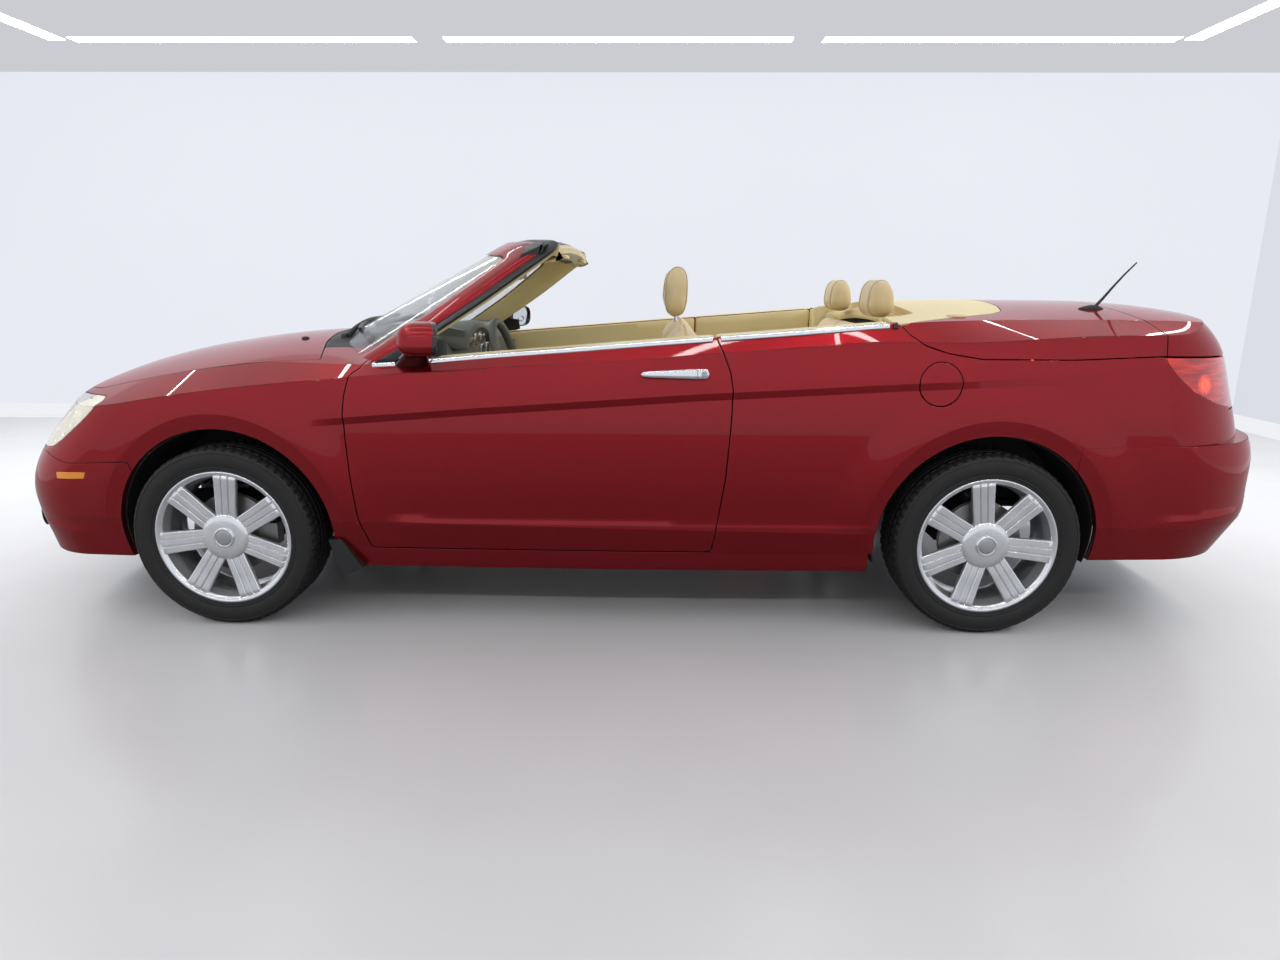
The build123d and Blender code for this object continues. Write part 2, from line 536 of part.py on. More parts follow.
def seat(y):
    cushion = side_prism(((-420, 400), (-440, 500), (-400, 555), (60, 500), (60, 400)), y - 260, y + 260)
    back = side_prism(((40, 410), (-20, 480), (110, 1050), (150, 1105), (215, 1100), (250, 1050), (190, 410)), y - 255, y + 255)
    rest = side_prism(((92, 1150), (100, 1290), (135, 1322), (180, 1318), (200, 1290), (190, 1140), (140, 1125)), y - 140, y + 140)
    posts = [rod((150, y + s, 1080), (150, y + s, 1150), 7) for s in (-60, 60)]
    base = box(-360, 120, y - 220, y + 220, FLOOR + SHEET, 400)
    return base, cushion.fuse(back), rest, posts


bases, seats, rests, posts = [], [], [], []
for y in (-SEAT_Y, SEAT_Y):
    base, cushion, rest, post = seat(y)
    bases.append(base)
    seats.append(cushion)
    rests.append(rest)
    posts += [p - cushion - rest for p in post]

rear_floor_top = DECK_FLOOR + SHEET
rear_cushion = box(430, 860, -600, 600, rear_floor_top, 545)
rear_back = side_prism(((835, 545), (850, 1050), (885, 1110), (960, 1112), (1020, 1060), (1020, rear_floor_top), (860, rear_floor_top), (860, 545)), -555, 555)
rear_rests = []
for y in (-360, 360):
    rear_rests.append(side_prism(((890, 1112), (895, 1240), (925, 1268), (975, 1262), (985, 1112)), y - 130, y + 130) - rear_back)

# ---------------------------------------------------------------- fittings
handle = (side_form(-34) - side_form(-14)) & box(21, 253, -1000, 0, 932, 952)
for x in (40, 234):
    foot = (side_form(-20) - side_form(0)) & box(x - 16, x + 16, -1000, 0, 932, 952)
    handle = handle.fuse(foot)

mirror_head = Pos(-735, -930, 1062) * Box(95, 190, 118)
mirror_head = fillet(mirror_head.edges(), 25)
mirror_arm = box(-790, -700, -872, -825, 930, 1040)
mirror = mirror_head.fuse(mirror_arm) - door

antenna = rod((1780, -420, 1140), (1912, -420, 1334), 4) - tonneau

flap_x, flap_z, flap_r = 1049.0, 915.0, 72.0
flap_bar = Pos(flap_x, -900, flap_z) * Rot(90, 0, 0) * Cylinder(flap_r, 400)
flap_hole = Pos(flap_x, -900, flap_z) * Rot(90, 0, 0) * Cylinder(flap_r + SHUT, 400)
pot_wall = Pos(flap_x, -840, flap_z) * Rot(90, 0, 0) * Cylinder(flap_r + SHUT + 4, 90)
pot_hole = Pos(flap_x, -860, flap_z) * Rot(90, 0, 0) * Cylinder(flap_r + SHUT, 120)
pot = (pot_wall - pot_hole) & inner
fuel_flap = (outer - side_form(8)) & flap_bar & box(900, 1200, -1100, -700, 800, 1000)
flap_stop = (Pos(flap_x + 68, -840, flap_z) * Rot(90, 0, 0) * Cylinder(10, 120)) & side_form(8 + SEAT_GAP)
quarter_left = (quarter_left - flap_hole).fuse(pot, flap_stop)
quarter_right = mirror_y(quarter)

# ---------------------------------------------------------------- placing and writing
write("floor_pan", floor_pan)
write("front_frame", front_frame)
write("rear_frame", rear_frame)
write("sills", both(sill))
write("front_bumper", front_bumper)
write("grille", grille)
write("hood", hood)
write("fenders", both(fender))
write("door_left", door)
write("door_right", mirror_y(door))
write("quarters", Compound(children=solids_of(quarter_left) + solids_of(quarter_right)))
write("tonneau", tonneau)
write("trunk_lid", lid)
write("rear_bumper", rear_bumper)
write("headlamps", both(lamp))
write("tail_lamps", both(tail_lamp))
write("windscreen_frame", frame)
write("windscreen", screen)
write("cowl", cowl)
write("deck_cover", cover)
write("dashboard", dash)
write("steering_wheel", steer)
write("seat_bases", Compound(children=bases))
write("front_seats", Compound(children=seats))
write("front_headrests", Compound(children=rests))
write("headrest_posts", Compound(children=posts))
write("rear_seat", rear_cushion.fuse(rear_back))
write("rear_headrests", Compound(children=rear_rests))
write("wheel_houses", Compound(children=[s for h in houses for s in solids_of(both(h))]))
write("front_suspension", front_suspension)
write("rear_suspension", rear_suspension)
write("engine", engine)
write("fuel_tank", fuel_tank)
write("exhaust", exhaust)
write("handle_left", handle)
write("handle_right", mirror_y(handle))
write("mirror_left", mirror)
write("mirror_right", mirror_y(mirror))
write("antenna", antenna)
write("fuel_flap", fuel_flap)
CORNERS = (("fl", FRONT_AXLE, -1), ("fr", FRONT_AXLE, 1), ("rl", REAR_AXLE, -1), ("rr", REAR_AXLE, 1))
for corner, axle, side in CORNERS:
    for name, shape in (("rim", rim), ("tyre", tyre), ("hub", hub)):
        placed = Pos(axle, -TRACK / 2, TYRE_RADIUS) * shape
        write(name + "_" + corner, placed if side < 0 else mirror_y(placed))
    if axle == FRONT_AXLE:
        placed = Pos(axle, -TRACK / 2, TYRE_RADIUS) * knuckle
        write("knuckle_" + corner, placed if side < 0 else mirror_y(placed))
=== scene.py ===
"""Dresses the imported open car: painted skins, wheels, cabin, lamps, studio and camera."""

import json
import logging
import math
from dataclasses import dataclass, field
from enum import Enum

import bmesh
import bpy
import numpy as np
from mathutils import Matrix, Vector
from mathutils.bvhtree import BVHTree

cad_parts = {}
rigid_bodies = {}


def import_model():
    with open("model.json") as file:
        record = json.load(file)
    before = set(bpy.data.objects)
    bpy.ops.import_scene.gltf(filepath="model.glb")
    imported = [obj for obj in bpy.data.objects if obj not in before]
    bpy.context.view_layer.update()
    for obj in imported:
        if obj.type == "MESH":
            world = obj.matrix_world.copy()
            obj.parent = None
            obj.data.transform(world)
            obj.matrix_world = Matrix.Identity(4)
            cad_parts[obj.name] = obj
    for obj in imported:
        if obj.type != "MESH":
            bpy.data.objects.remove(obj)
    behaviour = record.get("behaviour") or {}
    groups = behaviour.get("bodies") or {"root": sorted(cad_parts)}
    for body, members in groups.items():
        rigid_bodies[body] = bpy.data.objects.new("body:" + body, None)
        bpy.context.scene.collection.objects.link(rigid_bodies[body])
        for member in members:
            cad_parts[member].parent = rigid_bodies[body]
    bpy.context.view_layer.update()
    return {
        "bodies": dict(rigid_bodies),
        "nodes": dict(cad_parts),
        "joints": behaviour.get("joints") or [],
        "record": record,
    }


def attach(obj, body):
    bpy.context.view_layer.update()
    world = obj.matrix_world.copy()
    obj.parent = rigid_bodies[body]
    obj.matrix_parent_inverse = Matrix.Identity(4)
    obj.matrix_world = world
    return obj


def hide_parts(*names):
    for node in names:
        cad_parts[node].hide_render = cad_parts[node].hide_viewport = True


logging.basicConfig(level=logging.INFO, format="%(message)s")
LOG = logging.getLogger("car")

Array = np.ndarray
Points = tuple[tuple[float, float], ...]

# Sizes in metres, the same as in the solids.
FRONT_AXLE = -1.5
REAR_AXLE = 1.265
TRACK = 1.57
TYRE_RADIUS = 0.335
ARCH_RADIUS = 0.402
CORNER_START = math.radians(20.0)
CORNER_END = math.radians(86.5)
NOSE_RADIUS = 1.8
TAIL_RADIUS = 1.6
SHUT = 0.0055
SEAM = 1.832
PROUD = 0.0022
MIRROR = Matrix.Diagonal((1, -1, 1, 1))
DRIVER_Y = -0.370
DECK_FRONT = 0.912
FUEL_FLAP = (1.049, 0.915, 0.072)

# Height, nose, tail with the ledge, tail above it, half width.
SIDE_TABLE = np.array(
    (
        (0.400, 2.4520, 2.4480, 2.4000, 0.8880), (0.420, 2.4557, 2.4547, 2.4024, 0.8891),
        (0.440, 2.4583, 2.4573, 2.4030, 0.8907), (0.480, 2.4588, 2.4570, 2.4019, 0.8944),
        (0.520, 2.4520, 2.4560, 2.4000, 0.8980), (0.560, 2.4378, 2.4565, 2.3982, 0.9009),
        (0.600, 2.4168, 2.4564, 2.3963, 0.9031), (0.640, 2.3900, 2.4522, 2.3933, 0.9048),
        (0.680, 2.3589, 2.4405, 2.3880, 0.9061), (0.720, 2.3250, 2.4200, 2.3800, 0.9070),
        (0.760, 2.2891, 2.3923, 2.3693, 0.9074), (0.800, 2.2515, 2.3631, 2.3567, 0.9068),
        (0.840, 2.2120, 2.3389, 2.3433, 0.9048), (0.890, 2.1590, 2.3219, 2.3272, 0.8996),
        (0.920, 2.1250, 2.3180, 2.3180, 0.8950), (0.980, 2.0518, 2.3123, 2.2987, 0.8834),
        (1.040, 1.9750, 2.2700, 2.2700, 0.8720), (1.100, 1.9018, 2.2192, 2.2192, 0.8656),
        (1.150, 1.8469, 2.1608, 2.1608, 0.8635),
    )
)
ROCKER_FOOT = (0.215, 2.400, 2.330, 2.330, 0.850)
# X, centre height, upper crease Y and Z, height of the facet carried out to 1.15 m.
TOP_TABLE = np.array(
    (
        (-2.45, 0.6853, 0.7147, 0.6853, 0.4502), (-2.31, 0.7688, 0.6442, 0.7626, 0.5491),
        (-2.17, 0.8754, 0.5968, 0.8171, 0.6379), (-2.03, 0.9316, 0.6181, 0.8483, 0.6849),
        (-1.89, 0.9660, 0.6452, 0.8755, 0.7119), (-1.75, 0.9913, 0.6612, 0.9028, 0.7308),
        (-1.61, 1.0118, 0.6704, 0.9274, 0.7476), (-1.47, 1.0278, 0.6812, 0.9465, 0.7640),
        (-1.33, 1.0368, 0.7045, 0.9568, 0.7785), (-1.26, 1.0380, 0.7231, 0.9583, 0.7846),
        (-1.19, 1.0375, 0.7441, 0.9583, 0.7899), (-1.12, 1.0357, 0.7649, 0.9580, 0.7944),
        (-1.05, 1.0330, 0.7834, 0.9582, 0.7980), (-0.98, 1.0307, 0.7985, 0.9596, 0.8006),
        (-0.91, 1.0300, 0.8092, 0.9625, 0.8018), (-0.84, 1.0316, 0.8154, 0.9673, 0.8016),
        (-0.77, 1.0350, 0.8179, 0.9734, 0.8005), (-0.70, 1.0395, 0.8184, 0.9801, 0.7990),
        (-0.63, 1.0443, 0.8180, 0.9870, 0.7977), (-0.56, 1.0489, 0.8181, 0.9935, 0.7968),
        (-0.49, 1.0532, 0.8187, 0.9996, 0.7962), (-0.42, 1.0575, 0.8196, 1.0053, 0.7954),
        (-0.35, 1.0618, 0.8205, 1.0110, 0.7939), (-0.28, 1.0663, 0.8211, 1.0166, 0.7912),
        (-0.21, 1.0713, 0.8214, 1.0224, 0.7874), (-0.14, 1.0764, 0.8213, 1.0283, 0.7829),
        (-0.07, 1.0817, 0.8212, 1.0342, 0.7784), (0.00, 1.0870, 0.8210, 1.0400, 0.7747),
        (0.07, 1.0922, 0.8209, 1.0458, 0.7722), (0.14, 1.0975, 0.8209, 1.0514, 0.7709),
        (0.21, 1.1028, 0.8207, 1.0570, 0.7706), (0.28, 1.1084, 0.8202, 1.0625, 0.7710),
        (0.35, 1.1142, 0.8193, 1.0678, 0.7720), (0.42, 1.1203, 0.8179, 1.0731, 0.7735),
        (0.49, 1.1267, 0.8162, 1.0785, 0.7756), (0.56, 1.1333, 0.8140, 1.0840, 0.7784),
        (0.63, 1.1400, 0.8116, 1.0898, 0.7818), (0.70, 1.1467, 0.8087, 1.0959, 0.7862),
        (0.77, 1.1532, 0.8043, 1.1019, 0.7924), (0.84, 1.1592, 0.7974, 1.1076, 0.8015),
        (0.91, 1.1643, 0.7869, 1.1124, 0.8145), (0.98, 1.1685, 0.7719, 1.1162, 0.8321),
        (1.05, 1.1717, 0.7532, 1.1188, 0.8536), (1.12, 1.1740, 0.7324, 1.1207, 0.8774),
        (1.19, 1.1757, 0.7109, 1.1219, 0.9021), (1.26, 1.1769, 0.6904, 1.1225, 0.9261),
        (1.33, 1.1778, 0.6725, 1.1229, 0.9479), (1.47, 1.1792, 0.6485, 1.1235, 0.9800),
        (1.61, 1.1799, 0.6403, 1.1238, 0.9946), (1.75, 1.1795, 0.6454, 1.1240, 0.9910),
        (1.89, 1.1773, 0.6605, 1.1236, 0.9692), (2.03, 1.1697, 0.6685, 1.1188, 0.9425),
        (2.17, 1.1500, 0.6410, 1.1025, 0.9341), (2.31, 1.1112, 0.5494, 1.0672, 0.9665),
        (2.45, 1.0612, 0.4689, 1.0211, 0.9786),
    )
)
DOOR_OUTLINE: Points = (
    (-0.940, 1.260), (-0.968, 0.949), (-0.991, 0.930), (-1.008, 0.867), (-1.017, 0.797), (-1.017, 0.707),
    (-1.010, 0.563), (-0.997, 0.412), (-0.962, 0.302), (0.272, 0.302), (0.280, 0.330), (0.317, 0.577),
    (0.323, 0.661), (0.332, 0.795), (0.334, 0.892), (0.324, 0.952), (0.302, 1.010), (0.280, 1.061),
    (0.276, 1.260),
)
FENDER_OUTLINE: Points = (
    (-1.831, 0.614), (-2.064, 0.600), (-2.194, 0.631), (-2.262, 0.625), (-2.262, 1.260), (-0.880, 1.260),
    (-0.880, 0.296), (-1.700, 0.296), (-1.800, 0.500),
)
LAMP_CAVITY: Points = (
    (-1.968, 0.850), (-2.044, 0.806), (-2.121, 0.752), (-2.200, 0.684), (-2.278, 0.606), (-2.650, 0.606),
    (-2.650, 0.950), (-1.968, 0.950),
)
LAMP_OUTLINE: Points = (
    (-1.938, 0.950), (-1.937, 0.822), (-1.946, 0.798), (-2.004, 0.747), (-2.059, 0.706), (-2.106, 0.672),
    (-2.150, 0.648), (-2.215, 0.640), (-2.300, 0.636), (-2.650, 0.636), (-2.650, 0.950),
)
DECK_OUTLINE: Points = (
    (0.912, 1.290), (0.916, 1.121), (0.950, 1.078), (0.992, 1.047), (1.073, 1.020), (1.190, 1.001),
    (1.514, 1.000), (1.828, 1.013), (2.155, 1.006), (2.650, 1.006), (2.650, 1.290),
)
TAIL_LAMP_OUTLINE: Points = (
    (1.822, 1.006), (1.880, 0.938), (1.946, 0.886), (2.050, 0.842), (2.156, 0.818), (2.650, 0.812),
    (2.650, 0.999), (2.155, 0.999),
)
QUARTER_OUTLINE: Points = (
    (0.262, 0.296), (0.262, 1.290), (0.912, 1.290), *DECK_OUTLINE[1:8], *TAIL_LAMP_OUTLINE[:5],
    (2.112, 0.812), (2.094, 0.760), (2.076, 0.702), (1.562, 0.694), (1.540, 0.296),
)
REAR_BUMPER_OUTLINE: Points = (
    (1.562, 0.694), (2.076, 0.702), (2.094, 0.760), (2.112, 0.812), (2.156, 0.812), (2.650, 0.808),
    (2.650, 0.180), (1.540, 0.180),
)
HOOD_PLAN: Points = (
    (-2.246, 0.0), (-2.238, 0.180), (-2.222, 0.320), (-2.190, 0.440), (-2.130, 0.550), (-2.040, 0.618),
    (-1.700, 0.660), (-1.350, 0.695), (-1.160, 0.708), (-1.180, 0.640), (-1.245, 0.420), (-1.285, 0.200),
    (-1.298, 0.0),
)
LAMP_PLAN: Points = (
    (-1.900, 0.900), (-1.950, 0.738), (-2.060, 0.660), (-2.150, 0.582), (-2.205, 0.480), (-2.238, 0.395),
    (-2.650, 0.395), (-2.650, 0.900),
)
COVER_PLAN: Points = (
    (0.905, 0.0), (0.905, 0.792), (0.945, 0.780), (1.137, 0.662), (1.330, 0.545), (1.385, 0.480),
    (1.418, 0.360),
    (1.440, 0.180), (1.447, 0.0),
)


# ---------------------------------------------------------------- smooth curves and forms
class Spline:
    """Cubic spline through knots, with the not-a-knot end rule, for one or several columns."""

    def __init__(self, knots: Array, values: Array) -> None:
        """Fits the spline.

        Args:
            knots: increasing parameter values.
            values: one row of values per knot.
        """
        self.knots = np.asarray(knots, float)
        self.values = np.asarray(values, float).reshape(len(self.knots), -1)
        count = len(self.knots)
        step = np.diff(self.knots)[:, None]
        slope = np.diff(self.values, axis=0) / step
        system = np.zeros((count, count))
        right = np.zeros((count, self.values.shape[1]))
        for i in range(1, count - 1):
            system[i, i - 1 : i + 2] = step[i - 1, 0], 2 * (step[i - 1, 0] + step[i, 0]), step[i, 0]
            right[i] = 6 * (slope[i] - slope[i - 1])
        system[0, :3] = step[1, 0], -(step[0, 0] + step[1, 0]), step[0, 0]
        system[-1, -3:] = step[-1, 0], -(step[-2, 0] + step[-1, 0]), step[-2, 0]
        self.bend = np.linalg.solve(system, right)

    def __call__(self, where: Array) -> Array:
        """Values of the spline.

        Args:
            where: parameter values.

        Returns:
            One row of values for each parameter value.
        """
        where = np.asarray(where, float)
        i = np.clip(np.searchsorted(self.knots, where) - 1, 0, len(self.knots) - 2)
        step = (self.knots[i + 1] - self.knots[i])[..., None]
        a = (self.knots[i + 1][..., None] - where[..., None]) / step
        b = 1 - a
        cubic = ((a**3 - a) * self.bend[i] + (b**3 - b) * self.bend[i + 1]) * step**2 / 6
        return a * self.values[i] + b * self.values[i + 1] + cubic


class Form:
    """The body's surface: plan outlines by height, cut by top sections along the car."""

    def __init__(self, ledge: bool = False) -> None:
        """Prepares the tables.

        Args:
            ledge: whether the tail follows the bumper's ledge instead of the panels above it.
        """
        self.tail_column = 2 if ledge else 3
        self.side = Spline(SIDE_TABLE[:, 0], SIDE_TABLE[:, 1:])
        self.top = Spline(TOP_TABLE[:, 0], TOP_TABLE[:, 1:])
        self.levels = np.concatenate((np.linspace(0.215, 0.4, 12)[:-1], np.linspace(0.4, 1.2, 61)))
        self.polar = np.linspace(0, math.pi, 721)
        self.reach = np.array([self._reach(z) for z in self.levels])

    def sizes(self, z: float) -> tuple[float, float, float]:
        """Nose, tail and half width at a height.

        Args:
            z: height.

        Returns:
            Distance to the nose, distance to the tail and half width.
        """
        if z < 0.4:
            t = (z - ROCKER_FOOT[0]) / (0.4 - ROCKER_FOOT[0])
            low, high = np.array(ROCKER_FOOT[1:]), SIDE_TABLE[0, 1:]
            row = low + (high - low) * t
        else:
            row = self.side(np.array([z]))[0]
        return float(row[0]), float(row[self.tail_column - 1]), float(row[3])

    def outline(self, z: float, counts: tuple[int, int, int] = (40, 30, 130)) -> Array:
        """Left plan outline from nose to tail.

        Args:
            z: height.
            counts: steps on the nose, corner and flank arcs.

        Returns:
            Points of the outline, X and distance from the centre line.
        """
        nose, tail, width = self.sizes(z)
        front = quarter_arcs(nose, width, NOSE_RADIUS, counts)
        back = quarter_arcs(tail, width, TAIL_RADIUS, counts)
        return np.vstack((front * (1, -1), (back * (-1, -1))[::-1][1:]))

    def _reach(self, z: float) -> Array:
        """Distances from the middle to the outline, by direction.

        Args:
            z: height.

        Returns:
            One distance for each direction in the table.
        """
        points = self.outline(z)
        angle = np.arctan2(points[:, 1], points[:, 0])
        order = np.argsort(angle)
        return np.interp(self.polar, angle[order], np.hypot(points[:, 0], points[:, 1])[order])

    def inside(self, points: Array) -> Array:
        """How far points lie inside the plan outline at their height.

        Args:
            points: rows of X, Y, Z.

        Returns:
            Distance along the ray from the middle, positive inside.
        """
        angle = np.arctan2(np.abs(points[:, 1]), points[:, 0])
        a = np.clip(angle / math.pi * 720, 0, 719.999)
        row = np.clip(np.interp(points[:, 2], self.levels, np.arange(len(self.levels))), 0,
            len(self.levels) - 1.001)
        i, j = row.astype(int), a.astype(int)
        s, t = row - i, a - j
        r = self.reach
        value = (r[i, j] * (1 - t) + r[i, j + 1] * t) * (1 - s) + (r[i + 1, j] * (1 - t) + r[i + 1,
                j + 1] * t) * s
        return value - np.hypot(points[:, 0], points[:, 1])

    def roof(self, x: Array, y: Array) -> Array:
        """Height of the upper surface.

        Args:
            x: places along the car.
            y: distances from the centre line.

        Returns:
            Heights.
        """
        row = self.top(np.asarray(x, float))
        centre, crease, height, out = np.moveaxis(row, -1, 0)
        rise = centre - height
        radius = (crease**2 + rise**2) / (2 * rise)
        y = np.abs(y)
        crown = centre - radius + np.sqrt(np.maximum(radius**2 - np.minimum(y, crease) ** 2, 0))
        fall = height + (out - height) * (y - crease) / (1.15 - crease)
        return np.where(y <= crease, crown, fall)


def quarter_arcs(length: float, width: float, nose: float, counts: tuple[int, int, int]) -> Array:
    """Points on the three tangent arcs from an end's centre to the side.

    Args:
        length: distance from the middle to the end.
        width: half width.
        nose: radius of the end's arc.
        counts: steps on the three arcs.

    Returns:
        Rows of X and distance from the centre line.
    """
    c1, c2, s1, s2 = math.cos(CORNER_START), math.cos(CORNER_END), math.sin(CORNER_START), math.sin(
        CORNER_END)
    b1, b2 = length - nose * (1 - c1), width - nose * s1
    det = (c1 - c2) * (1 - s2) - c2 * (s2 - s1)
    radii = (nose, (b1 * (1 - s2) - c2 * b2) / det, ((c1 - c2) * b2 - (s2 - s1) * b1) / det)
    angles = (0.0, CORNER_START, CORNER_END, math.pi / 2)
    place = np.array([-length, 0.0])
    rows = [place[None]]
    for radius, start, end, count in zip(radii, angles, angles[1:], counts):
        centre = place + radius * np.array([math.cos(start), math.sin(start)])
        turn = np.linspace(start, end, count + 1)[1:]
        rows.append(centre - radius * np.column_stack((np.cos(turn), np.sin(turn))))
        place = rows[-1][-1]
    return np.vstack(rows)


def polygon_depth(points: Array, outline: Points) -> Array:
    """Signed distance to a polygon, positive inside.

    Args:
        points: rows of two coordinates.
        outline: the polygon's corners.

    Returns:
        One distance per point.
    """
    corners = np.array(outline)
    best = np.full(len(points), 1e9)
    within = np.zeros(len(points), bool)
    for a, b in zip(corners, np.roll(corners, -1, axis=0)):
        edge = b - a
        t = np.clip(((points - a) @ edge) / max(edge @ edge, 1e-12), 0, 1)
        best = np.minimum(best, np.hypot(*(points - a - t[:, None] * edge).T))
        crosses = (a[1] > points[:, 1]) != (b[1] > points[:, 1])
        span = b[1] - a[1] if abs(b[1] - a[1]) > 1e-12 else 1e-12
        within ^= crosses & (points[:, 0] < a[0] + (points[:, 1] - a[1]) * edge[0] / span)
    return np.where(within, best, -best)


# ---------------------------------------------------------------- skins
class View(Enum):
    """Direction a trimming outline is drawn in."""

    SIDE = "side"
    PLAN = "plan"
    FRONT = "front"


@dataclass(frozen=True)
class Trim:
    """One cut of a skin by an outline.

    Attributes:
        outline: corners of the outline.
        view: direction it is drawn in.
        keep: whether the skin inside it stays.
        margin: distance the outline is grown by.
    """

    outline: Points
    view: View
    keep: bool = True
    margin: float = 0.0

    def depth(self, points: Array) -> Array:
        """Signed room of points on the kept side.

        Args:
            points: rows of X, Y, Z.

        Returns:
            Positive where the skin stays.
        """
        if self.view is View.SIDE:
            flat = points[:, (0, 2)]
        elif self.view is View.PLAN:
            flat = np.column_stack((points[:, 0], np.abs(points[:, 1])))
        else:
            flat = np.column_stack((np.abs(points[:, 1]), points[:, 2]))
        value = polygon_depth(flat, self.outline) + self.margin
        return value if self.keep else -value


